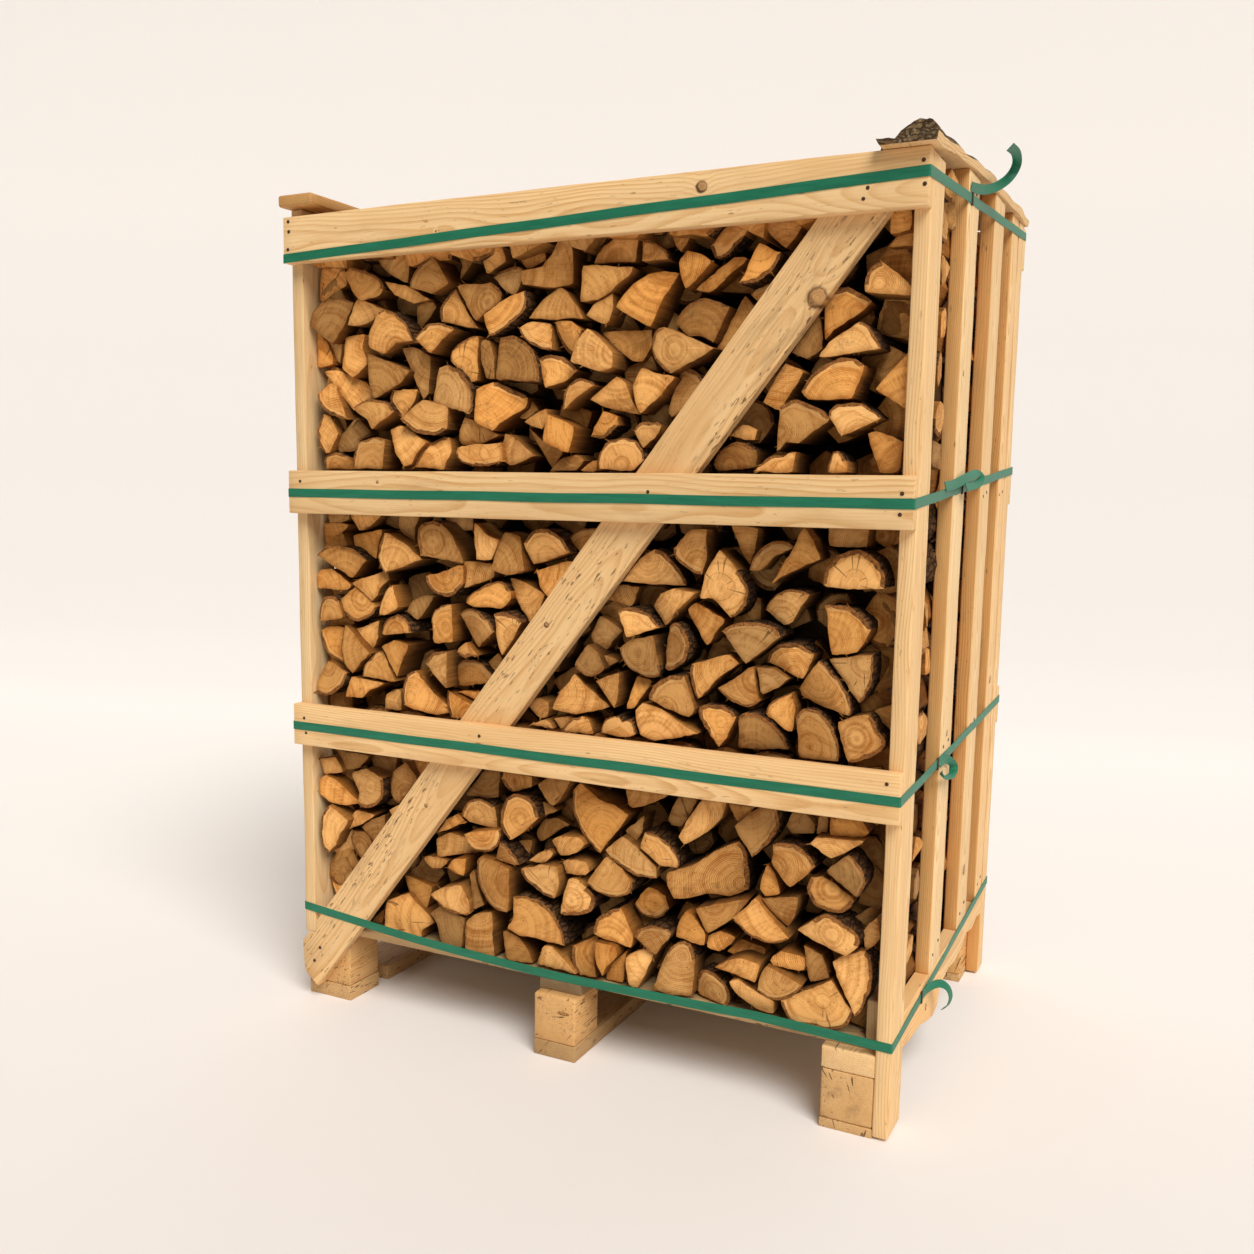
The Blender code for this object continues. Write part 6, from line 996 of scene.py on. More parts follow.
BARK_FAR = 0.08
OUTER_REACH = 0.022
END_DEPTH = 0.0005
END_FADE = 0.05
END_INSETS = (0.030, 0.020, 0.0125, 0.0085)
PLAIN_INSETS = (0.018, 0.0085)
INSET_SHARE = 0.72
MOST_INSET = 0.80
LEAST_REACH = 0.004
RIM_INSET = 0.0036
SPLINTERS = 5
PLANE_BEHIND_RAILS = 0.0235
SIDE_DEPTHS = (0.0009, 0.006, 0.016, 0.034, 0.060, 0.10, 0.16)
PLAIN_DEPTHS = (0.001, 0.020, 0.070)
# Painted shade along a log's sides: (depth behind the end, lightness).
PAINTED_SIDE_SHADE = ((0.001, 1.0), (0.010, 0.85), (0.030, 0.50), (0.060, 0.26), (0.110, 0.14), (1.0, 0.11))
CREASED_LOGS = 0.4


def painted_shade_at(depth):
    """How light a log's side is painted at a depth behind its end: painted shade darkens it inwards, where
    the pile's recesses lie in shade.
    """
    before, light = 0.0, 1.0
    for place, value in PAINTED_SIDE_SHADE:
        if depth <= place:
            return light + (value - light) * (depth - before) / (place - before)
        before, light = place, value
    return light


def random_vector(rng, *spans):
    """A vector with a random number from -span to span along each axis."""
    return Vector([rng.uniform(-span, span) for span in spans])


class Log:
    """One log of a pile, from its visible tip along +y or -y as direction says, its far end closed too."""

    def __init__(self, pile, corners, bark_points, tip, length, direction, kind, tone):
        rng = pile.rng
        corners = [Vector(corner) for corner in corners]
        self.middle = middle_of(corners)
        corners = [self.middle + (corner - self.middle) * LOG_SHRINK for corner in corners]
        self.points, self.barks = outline_of(corners, bark_points, kind.spacing)
        self.pith = pith_of(corners, bark_points, rng)
        following = self.points[1:] + self.points[:1]
        self.turned = sum(a.x * b.y - b.x * a.y for a, b in zip(self.points, following)) < 0
        self.normals = normals_of(self.points, self.turned)
        self.pile, self.tip, self.length, self.direction = pile, tip, length, direction
        self.kind, self.tone = kind, tone
        self.slope = random_vector(rng, 0.12, 0.10)
        self.drift = random_vector(rng, 0.02 if kind.deep else 0.04, 0.02)
        self.seed = Vector([rng.uniform(0, 50) for _ in range(3)])
        self.rim_width = rng.uniform(0.9, 2.1)
        self.crease = Vector((1, 0))
        self.crease.rotate(Matrix.Rotation(rng.uniform(0, 2 * math.pi), 2))
        self.crease_slope = rng.uniform(0.15, 0.55) if rng.random() < CREASED_LOGS else 0.0
        self.crease_place = rng.uniform(-0.010, 0.014)
        self.foremost = min(self.lean_at(point) for point in self.points)
        self.bark_line = [point for number, point in enumerate(self.points) if self.bark_beside(number)]
        self.base = len(pile.vertices)

    def bark_beside(self, number):
        return self.barks[number] or self.barks[number - 1]

    def lean_at(self, point):
        """How far the end's face leans back at a point. Some faces have a crease."""
        offset = point - self.middle
        beyond = max(0.0, offset.dot(self.crease) - self.crease_place)
        return offset.dot(self.slope) + self.crease_slope * beyond

    def put(self, point, depth):
        """Adds the vertex at a point of the section that lies so far behind the tip."""
        pile = self.pile
        fade = max(0.0, 1 - depth / END_FADE)
        lean = max(0.0, self.lean_at(point) - self.foremost)
        rough = 0.0011 * noise.noise(Vector((point.x * 120, self.seed.x, point.y * 120)))
        forth = self.tip + self.direction * (depth + (lean + rough) * fade)
        pile.vertices.append(at(forth, point.x, point.y) if pile.sideways else at(point.x, forth, point.y))
        offset = point - self.pith
        pile.grains.append((offset.x, depth + self.seed.y * 0.01, offset.y))
        pile.tones.append(self.tone)
        from_bark, outer = BARK_FAR, 1.0
        if depth < END_DEPTH:
            outer -= min(1.0, min((point - other).length for other in self.points) / OUTER_REACH)
            if self.bark_line:
                from_bark = min((point - other).length for other in self.bark_line)
        # The edge attribute carries painted light and shade: the kind's light, and painted shade deeper along
        # the sides.
        light = self.kind.light * (painted_shade_at(depth) if self.kind.deep else 1.0)
        pile.edges.append((from_bark, light, outer))

    def swell_at(self, number, where):
        """How far the surface stands out: lumps of bark, or ridges along a split side."""
        if self.bark_beside(number):
            place = Vector((where.x * 75, where.y * 34, where.z * 75))
            return 0.0026 * noise.fractal(place, 1.0, 2.0, 3) + 0.0012
        ridge = 0.0016 * noise.noise(Vector((where.x * 110, where.y * 7, where.z * 110)))
        return ridge + 0.0028 * noise.noise(Vector((where.x * 28, where.y * 5, where.z * 28)))

    def ring(self, depth, inset):
        """A loop of vertices round the section, moved towards its middle by inset."""
        for number, point in enumerate(self.points):
            where = Vector((point.x, depth, point.y)) + self.seed
            place = point + self.normals[number] * self.swell_at(number, where) + self.drift * depth
            if inset:
                inward = self.middle - place
                reach = inset
                if inset == RIM_INSET and self.bark_beside(number):
                    reach *= self.rim_width + 0.9 * noise.noise(where * 60)
                place = place + inward * min(MOST_INSET, reach / max(LEAST_REACH, inward.length))
            self.put(place, depth)

    def face(self, numbers, kind):
        if (self.direction > 0) == self.turned:
            numbers = numbers[::-1]
        self.pile.faces.append([self.base + number for number in numbers])
        self.pile.kinds.append(kind)

    def band(self, first, second, kinds):
        """Faces between two rings: kinds are those along bark and along split wood."""
        count = len(self.points)
        for number, bark in enumerate(self.barks):
            after = (number + 1) % count
            self.face([first + number, first + after, second + after, second + number], kinds[not bark])

    def cap(self, centre, start, near):
        """A fan of faces from a vertex to the ring that begins at start."""
        count = len(self.points)
        for number in range(count):
            step = [start + (number + 1) % count, start + number]
            self.face([centre, *(step if near else step[::-1])], END)

    def build(self):
        """The log's end, its sides and its far end, from the tip inwards."""
        count = len(self.points)
        detail = self.kind.detail
        self.put(self.middle, 0.0)
        reach = min((point - self.middle).length for point in self.points)
        insets = END_INSETS if detail else PLAIN_INSETS
        insets = [inset for inset in insets if inset < INSET_SHARE * reach]
        insets.append(RIM_INSET)
        depths = [depth for depth in (SIDE_DEPTHS if detail else PLAIN_DEPTHS) if depth < self.length - 0.01]
        depths.append(self.length)
        for inset in insets:
            self.ring(0.0, inset)
        for depth in depths:
            self.ring(depth, 0.0)
        starts = [1 + count * number for number in range(len(insets) + len(depths))]
        self.cap(0, starts[0], True)
        rim = len(insets) - 1
        for number, (first, second) in enumerate(zip(starts, starts[1:])):
            side = (RIM, END) if number == rim else (BARK, SPLIT)
            self.band(first, second, (END, END) if number < rim else side)
        self.put(self.middle + self.drift * self.length, self.length)
        self.cap(starts[-1] + count, starts[-1], False)
        if detail:
            for _ in range(self.pile.rng.randrange(SPLINTERS)):
                number = self.pile.rng.randrange(count)
                self.splinter(self.base + starts[rim + 1] + number, self.points[number] - self.middle)

    def splinter(self, root, outward):
        """A torn sliver of wood that stands out from the edge of an end."""
        pile, rng = self.pile, self.pile.rng
        away = outward.normalized()
        sideward, forward, upward = (rng.uniform(low, 1.0) for low in (0.1, 0.2, 0.1))
        along = Vector((away.x * sideward, -self.direction * forward, away.y * upward))
        along += Vector((rng.uniform(-0.5, 0.5), 0.0, rng.uniform(-0.5, 0.5)))
        along.normalize()
        across = along.cross(random_vector(rng, 1, 1, 1)).normalized()
        other = along.cross(across)
        length = rng.uniform(0.005, 0.013)
        width = rng.uniform(0.0010, 0.0024)
        start = pile.vertices[root] - along * 0.004
        base = len(pile.vertices)
        corners = [start + across * width]
        corners += [start + (other * side * 0.7 - across * 0.5) * width for side in (1, -1)]
        corners.append(start + along * (length + 0.004))
        for corner in corners:
            corner.y = max(corner.y, CORNER.y + PLANE_BEHIND_RAILS)
            pile.vertices.append(corner)
            pile.grains.append(tuple(corner))
            pile.tones.append(self.tone)
            pile.edges.append((BARK_FAR, self.kind.light * 0.9, 0.0))
        for face in ((0, 1, 2), (0, 3, 1), (1, 3, 2), (2, 3, 0)):
            pile.faces.append([base + number for number in face])
            pile.kinds.append(SPLIT)


class LogPile:
    """Collects logs and turns them into one mesh."""

    def __init__(self, seed):
        self.rng = random.Random(seed)
        self.sideways = False
        self.vertices = []
        self.faces = []
        self.kinds = []
        self.grains = []
        self.tones = []
        self.edges = []

    def add(self, corners, bark_points, tip, length, direction, kind, tone=None):
        tone = tone or tone_of(self.rng, corners)
        Log(self, corners, bark_points, tip, length, direction, kind, tone).build()

    def mesh(self, name):
        mesh = bpy.data.meshes.new(name)
        mesh.from_pydata(self.vertices, [], self.faces)
        for label, values in (("grain", self.grains), ("tone", self.tones), ("edge", self.edges)):
            attribute = mesh.attributes.new(label, "FLOAT_VECTOR", "POINT")
            attribute.data.foreach_set("vector", np.array(values, np.float32).ravel())
        mesh.polygons.foreach_set("material_index", np.array(self.kinds, np.int32))
        bm = bmesh.new()
        bm.from_mesh(mesh)
        bmesh.ops.recalc_face_normals(bm, faces=bm.faces)
        bm.to_mesh(mesh)
        bm.free()
        return mesh


# Centres (across, up), in the table's centimetres, of the logs whose ends stand out from the rest by colour.
PALE_ENDS = (
    (62.6, 126.8), (41.5, 93.5), (3.3, 34.5), (58, 17.5), (73.5, 19), (61, 30.5), (109, 46.8), (95.5, 18.5),
    (53.3, 61.8), (87.5, 88), (109.5, 91), (78.5, 84.2), (84.8, 47.5), (22, 41.5), (108, 32), (76, 63.5),
    (11, 27.3), (59, 39.5),
)
ORANGE_ENDS = (
    (81.5, 139.5), (4.5, 72.7), (35.5, 62.8), (34.5, 36), (83, 29), (98, 39), (110.5, 50), (69.5, 19),
    (65, 45), (76, 31.8), (72, 137), (46, 26), (58, 113), (90, 137.5), (104, 117), (40, 116.5),
)
TONE_REACH = 4.0
TONE_SPREAD = 0.25
# Lightness added by tier: the logs are darker towards the bottom.
TIER_LIGHTNESS = (-0.14, -0.03, 0.04)
# Painted light: logs of the top tier at the right are made lighter, as if more light fell on them.
UPPER_RIGHT_PAINTED_LIGHT = 0.24
RIDGE_LOGS = ((1.128, 1.480, 0.084, 0.080), (1.150, 1.452, 0.044, 0.090))
GAP_STUBS = (
    (0.130, 1.492), (0.228, 1.485), (0.208, 1.31), (0.192, 1.158), (0.195, 1.101), (0.194, 1.521),
    (0.18, 1.456), (0.181, 0.846), (0.192, 0.799), (0.227, 0.759), (0.172, 0.655), (0.19, 0.447),
    (0.201, 0.377), (0.18, 0.269), (0.167, 1.386), (0.189, 1.235),
)
GAP_Y = (0.1045, 0.262)
GAP_TIP = 1.197
TOP_SPANS = {"front": (0.026, 0.312), "middle": (0.298, 0.580), "back": (0.566, 0.849)}
TIP_FRONT = 0.0290
TIP_BACK = 0.8480
TIP_BEHIND_BRACE = 0.0470
BRACE_MARGIN = 0.012
WALL_PRESS = 0.021
WALL_PRESS_REACH = 0.08
LEFT_FORWARD = 0.020
LOGS_ACROSS = 14
BARK_STEP = 0.675
FILLER_BANDS = (((0.524, 0.566),), ((0.574, 0.606), (0.988, 1.026)), ((1.034, 1.066), (1.456, 1.500)))
FILLER_SET_BACK = (0.010, 0.025)
BEHIND_SET_BACK = (0.034, 0.060)
BEHIND_SPACING = 0.078
BRACE_LOG_SPACING = 0.066
COLUMN_SPACING = 0.074
COLUMN_WIDTH = 0.070
INNER_COLUMN_WIDTH = 0.092
BEHIND_BRACE_SET_BACK = (0.022, 0.034)
BEHIND_X = (PILE_X[0] + 0.01, PILE_X[1] - 0.01)
TOP_HEIGHT = 1.466


def tone_of(rng, corners):
    """(hue towards orange, lightness, seed) of one log, from its place in the table where that is marked."""
    middle = middle_of(corners)
    place = Vector(((middle.x - PILE_X[0]) / TABLE_SCALE + TABLE_SPAN[0], middle.y * 100))
    hue = clamp(rng.gauss(0.45, TONE_SPREAD), 0.0, 1.0)
    value = clamp(rng.gauss(0.48, TONE_SPREAD), 0.0, 1.0)
    if any((place - Vector(pale)).length < TONE_REACH for pale in PALE_ENDS):
        hue, value = 0.05, 0.85
    elif any((place - Vector(orange)).length < TONE_REACH for orange in ORANGE_ENDS):
        hue, value = 1.0, 0.62
    tier = sum(middle.y > TIER_HEIGHTS[number][1] for number in (0, 1))
    # Lightness by tier, and painted light that lifts the top tier's right-hand logs.
    value += TIER_LIGHTNESS[tier] + (UPPER_RIGHT_PAINTED_LIGHT if tier == 2 and middle.x > 0.9 else 0.0)
    return (hue, clamp(value, 0.0, 1.0), rng.random())


def brace_left(z):
    """Where the left edge of the front's slanting board lies at a height."""
    return BRACE_LEFT_AT_FOOT + BRACE_SLOPE * (z - POST_LEFT_FOOT)


def over_brace(corners):
    """Whether a log's end lies at least partly behind the front's slanting board."""
    offsets = [x - brace_left(z) for x, z in corners]
    return min(offsets) < BRACE_FLAT_WIDTH + BRACE_MARGIN and max(offsets) > -BRACE_MARGIN


def seen_from_camera(across, up, tip):
    """Where a corner measured on the plane of the logs' ends lies on the plane of its own end, as the camera
    sees it, pressed together a little beside the left wall."""
    part = (PILE_Y[0] - tip) / (PILE_Y[0] - CAMERA_PLACE[1])
    x = across + (CAMERA_PLACE[0] - across) * part
    z = up + (CAMERA_PLACE[2] - up) * part
    x += WALL_PRESS * math.exp(-(x - PILE_X[0] + WALL_PRESS) / WALL_PRESS_REACH)
    return clamp(x, *PILE_X), z


def turned_half(corners, height):
    """Corners of the front's face as the back shows them, mirrored about half its height too."""
    return [(PILE_X[1] - (x * 100 - TABLE_SPAN[0]) * TABLE_SCALE, height - z) for x, z in corners]


def table_logs(table, tier, turned, rng):
    """(corners in metres, bark points, y of the tip) of each log end of a tier. Turned, it is the back's."""
    heights = [value for row in table for value in row[3::2]]
    height = (min(heights) + max(heights)) / 100
    logs = []
    for set_back, bark_points, *places in table:
        measured = [(across / 100, up / 100) for across, up in zip(places[0::2], places[1::2])]
        stand = set_back / 100 + rng.uniform(-0.003, 0.007)
        if turned:
            corners = turned_half(measured, height)
            hidden = over_brace([(WIDTH - x, z) for x, z in corners])
            tip = (PILE_Y[1] if hidden else TIP_BACK) - max(0.0, stand)
        else:
            tip = (TIP_BEHIND_BRACE if over_brace(measured) else TIP_FRONT) + max(-0.002, stand)
            corners = [seen_from_camera(across, up, tip) for across, up in measured]
        corners = [(x, clamp(z, *TIER_HEIGHTS[tier])) for x, z in corners]
        logs.append((corners, bark_points, tip))
    return logs


def wedge(rng, x, z, width, height):
    """A split log's end about a point, with its bark on one side: (corners, bark points)."""
    sides = rng.choice((3, 4, 4, 5))
    turn = rng.uniform(0, 2 * math.pi)
    bark_points = rng.choice((0, 3, 4))
    angles = [turn + BARK_STEP * (number - (bark_points - 1) / 2) for number in range(bark_points)]
    left = max(2, sides - (2 if bark_points else 0))
    gap = 2 * math.pi - (angles[-1] - angles[0] if angles else 0.0)
    begin = angles[-1] if angles else turn
    for number in range(1, left + 1):
        angles.append(begin + gap * number / (left + (1 if bark_points else 0)) + rng.uniform(-0.15, 0.15))
    corners = []
    for number, angle in enumerate(angles):
        reach = rng.uniform(0.92, 1.0) if number < bark_points else rng.uniform(0.86, 1.05)
        corners.append((x + math.cos(angle) * width / 2 * reach, z + math.sin(angle) * height / 2 * reach))
    return corners, bark_points


def fillers(rng, tier):
    """(corners, bark points, set-back) of the logs that the table leaves out, most of them half hidden."""
    logs = []
    width = PILE_WIDTH / LOGS_ACROSS
    for low, high in FILLER_BANDS[tier]:
        for number in range(LOGS_ACROSS):
            x = PILE_X[0] + width * (number + 0.5)
            corners, bark_points = wedge(rng, x, (low + high) / 2, width * 1.12, (high - low) * 1.25)
            corners = [(cx, clamp(cz, *TIER_HEIGHTS[tier])) for cx, cz in corners]
            logs.append((corners, bark_points, rng.uniform(*FILLER_SET_BACK)))
    return logs


def behind(rng, tier, turned):
    """A second layer of logs further in, which shows in the gaps between the first ones."""
    low, high = TIER_HEIGHTS[tier]
    places = []
    rows = round((high - low) / BEHIND_SPACING)
    for level in range(rows):
        for number in range(LOGS_ACROSS):
            x = PILE_X[0] + (number + 0.5 + 0.35 * (level % 2) - 0.17) * PILE_WIDTH / LOGS_ACROSS
            places.append((x, low + (level + 0.5) * (high - low) / rows, 0.088, 0.084, BEHIND_SET_BACK))
    for step in range(round((high - low) / BRACE_LOG_SPACING)):
        z = low + 0.03 + step * BRACE_LOG_SPACING
        x = brace_left(z) + BRACE_FLAT_WIDTH / 2
        places.append((WIDTH - x if turned else x, z, 0.082, 0.074, BEHIND_BRACE_SET_BACK))
    logs = []
    for x, z, width, height, set_back in places:
        corners, bark_points = wedge(rng, x, z, width, height)
        corners = held_within(corners, BEHIND_X, (low, high - 0.02))
        logs.append((corners, bark_points, rng.uniform(*set_back)))
    return logs


def side_column(rng, tier, width):
    """A row's logs along both side walls: (corners, bark points)."""
    low, high = TIER_HEIGHTS[tier]
    logs = []
    count = round((high - low) / COLUMN_SPACING)
    for number in range(count):
        z = low + (number + 0.5) * (high - low) / count
        for x in (PILE_X[0] + width / 2, PILE_X[1] - width / 2):
            corners, bark_points = wedge(rng, x, z, width * 1.05, (high - low) / count * 1.22)
            logs.append((held_within(corners, PILE_X, (low, high)), bark_points))
    return logs


def top_course(rng):
    """Logs along the pile's top, seen from above: (corners, bark points)."""
    logs = []
    count = rng.choice((11, 12, 13))
    width = PILE_WIDTH / count
    for number in range(count):
        x = PILE_X[0] + width * (number + 0.5) + rng.uniform(-0.010, 0.010)
        z = TOP_HEIGHT + rng.uniform(-0.012, 0.008)
        corners, bark_points = wedge(rng, x, z, width * rng.uniform(1.0, 1.25), 0.072)
        logs.append(([(clamp(cx, *PILE_X), min(cz, TIER_HEIGHTS[2][1])) for cx, cz in corners], bark_points))
    return logs + [wedge(rng, *ridge) for ridge in RIDGE_LOGS]


def gap_stubs(pile, tier):
    """Ends that poke into the gap between the right wall's front post and its first slat."""
    low, high = TIER_HEIGHTS[tier]
    pile.sideways = True
    for y, z in GAP_STUBS:
        if low < z <= high + (0.08 if tier == 2 else 0.0):
            corners, bark_points = wedge(pile.rng, y, z, 0.075, 0.058)
            corners = [(clamp(cy, *GAP_Y), cz) for cy, cz in corners]
            pile.add(corners, bark_points, GAP_TIP - pile.rng.uniform(0.0, 0.012), 0.10, -1, STUB_LOG)
    pile.sideways = False


def heart(pile, tier, near):
    """The dark inside of a row, which stops light from showing through between its logs; its near-black
    colour is painted shade.
    """
    low, high = TIER_HEIGHTS[tier]
    top = high - (0.075 if tier == 2 else 0.004)
    left, right = PILE_X[0] + 0.004, PILE_X[1] - 0.008
    box = ((left, low + 0.002), (right, low + 0.002), (right, top), (left, top))
    pile.add(box, 0, near + 0.065, ROW_DEPTH - 0.13, 1, HEART_LOG, HEART_TONE)


def lay(pile, logs, outside, direction, kind):
    """Adds logs given as (corners, bark points, set-back) behind a face of the crate."""
    for corners, bark_points, set_back in logs:
        length = ROW_DEPTH - set_back - pile.rng.uniform(0.0, 0.015)
        pile.add(corners, bark_points, outside + direction * set_back, length, direction, kind)


def face_row(pile, table, tier, turned, near):
    """The logs of the front or the back row, whose ends are seen."""
    rng = pile.rng
    direction = -1 if turned else 1
    outside = near + ROW_DEPTH if turned else near
    inside = near if turned else near + ROW_DEPTH
    for corners, bark_points, tip in table_logs(table, tier, turned, rng):
        length = abs(inside - tip) - rng.uniform(0.0, 0.015)
        pile.add(corners, bark_points, tip, length, direction, FACE_LOG)
    lay(pile, fillers(rng, tier), outside, direction, FILLER_LOG)
    lay(pile, behind(rng, tier, turned), outside, direction, BEHIND_LOG)
    for corners, bark_points in side_column(rng, tier, COLUMN_WIDTH):
        set_back = rng.uniform(0.030, 0.045)
        if corners[0][0] < WIDTH / 2 and not turned:
            set_back -= LEFT_FORWARD
        start = outside + direction * set_back
        pile.add(corners, bark_points, start, ROW_DEPTH - set_back, direction, COLUMN_LOG)


def stack_logs():
    """The pile, one piece for each of the part's nine blocks of logs."""
    materials = [
        log_end_material(), log_rim_material(), log_split_material(), bark_material("log_bark", LOG_BARK),
    ]
    tiers = (("lower", LOWER_ENDS), ("middle", MIDDLE_ENDS), ("upper", UPPER_ENDS))
    for number, row in enumerate(("front", "middle", "back")):
        near = PILE_Y[0] + number * (ROW_DEPTH + ROW_SPACING)
        for tier, (level, table) in enumerate(tiers):
            pile = LogPile(100 + 10 * number + tier)
            if row == "middle":
                for corners, bark_points in side_column(pile.rng, tier, INNER_COLUMN_WIDTH):
                    pile.add(corners, bark_points, near, ROW_DEPTH, 1, INNER_LOG)
            else:
                face_row(pile, table, tier, row == "back", near)
            if tier == 2:
                first, last = TOP_SPANS[row]
                for corners, bark_points in top_course(pile.rng):
                    start = first + pile.rng.uniform(0.0, 0.014)
                    length = last - start - pile.rng.uniform(0.0, 0.014)
                    pile.add(corners, bark_points, start, length, 1, TOP_LOG)
            if row == "front":
                gap_stubs(pile, tier)
            heart(pile, tier, near)
            piece = new_piece(pile.mesh(f"firewood_{row}_{level}"), materials, 30)
            settle(piece, "firewood", f"logs_{row}_{level}")


# Bark slab

SLAB_Y = (-0.022, 0.868)
SLAB_BASE = 1.5305
SLAB_RISE = 0.060
SLAB_REACH = 0.300
SLAB_STATIONS = 190
SLAB_TOP_STEPS = 20
SAWN_STEPS = 9
RAIL_THICK = 0.0217


def slab_ring(y):
    """Corners (x, z) of the slab's section: seven along its underside, three up its sawn side, then bark."""
    under = SLAB_BASE + SLAB_RISE * (1.0 - math.exp(-max(0.0, y - RAIL_THICK) / SLAB_REACH))
    nose = max(0.0, 1.0 - (y - SLAB_Y[0]) / 0.13)
    wave = 0.004 * math.sin(19 * y) + 0.003 * math.sin(43 * y + 1)
    left = 1.100 + wave + 0.028 * nose
    right = 1.205 + 0.3 * wave + 0.008 * nose
    crown = under + 0.019 + 0.012 * math.exp((SLAB_Y[0] - y) / 0.22) + 0.6 * wave
    ring = [(left + 0.004 + (right - left - 0.004) * part / 6, under) for part in range(7)]
    ring += [(right + 0.0007 * part, under + (0.012 + 0.3 * wave) * part / 3) for part in range(1, 4)]
    for part in range(1, SLAB_TOP_STEPS):
        turn = part / SLAB_TOP_STEPS
        x = right + 0.001 + (left - 0.002 - right) * turn
        rise = 1.0 - (1.0 + 0.5 * nose) * max(0.0, turn - 0.45 + 0.2 * nose) ** 2 / 0.30
        z = under + 0.008 + (crown - under - 0.008) * max(0.0, rise) * min(1.0, 0.50 + turn * 4)
        place = Vector((x * 30, y * 17, z * 30))
        lump = noise.fractal(place, 0.9, 2.1, 5) + 0.6 * noise.fractal(place * 4.0, 0.9, 2.1, 3)
        ring.append((x, z + 0.0030 * lump * min(1.0, 5 * turn)))
    return ring + [(left - 0.002, under + 0.010), (left + 0.001, under + 0.004)]


def bridge(bm, ring, following):
    """Faces between two rings of vertices, in the rings' order."""
    for corners in zip(ring, ring[1:] + ring[:1], following[1:] + following[:1], following):
        yield bm.faces.new(corners)


def make_slab():
    """The outer cut of a trunk: flat below, sawn on its right, rough lichened bark over its top."""
    bm = bmesh.new()
    rings = []
    for number in range(SLAB_STATIONS):
        y = SLAB_Y[0] + (SLAB_Y[1] - SLAB_Y[0]) * number / (SLAB_STATIONS - 1)
        ragged = 0.004 * noise.noise(Vector((y * 3, 5, 5)))
        rings.append([bm.verts.new(at(x, y + ragged, z)) for x, z in slab_ring(y)])
    for ring, following in zip(rings, rings[1:]):
        for number, face in enumerate(bridge(bm, ring, following)):
            face.material_index = 1 if number < SAWN_STEPS else 0
    for ring in (rings[0], rings[-1]):
        bm.faces.new(ring)
    bmesh.ops.recalc_face_normals(bm, faces=bm.faces)
    bark = bark_material("slab_bark", SLAB_BARK)
    board = Board(*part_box("bark_slab_right"), 1, 0.0, random.Random(77))
    sawn = pine("slab_sawn_wood", board, 77, 0.92, 0.4, dirt=0.35)
    settle(new_piece(mesh_from(bm, "bark_slab"), [bark, sawn], 45), "bark", "bark_slab_right")


# Straps

STRAP_HEIGHT = 0.016
STRAP_THICK = 0.0011
STRAP_EDGE = 0.06
STRAP_EDGE_THICK = 0.8
STRAP_GAP = 0.0003
STRAP_END = 0.0013
STRAP_STEPS = 40
TAIL_STEPS = 6
POST_FRONT_Y = 0.0220
POST_BACK_Y = 0.8540
SEAL_SIZE = (0.0034, 0.0060, 0.0205)
EMBOSS_PER_METRE = 1500.0
STRAP_PALE = (0.005, 0.135, 0.068)
STRAP_SCUFF = (0.014, 0.208, 0.114)
STRAP_PATCH = (0.010, 0.170, 0.088)
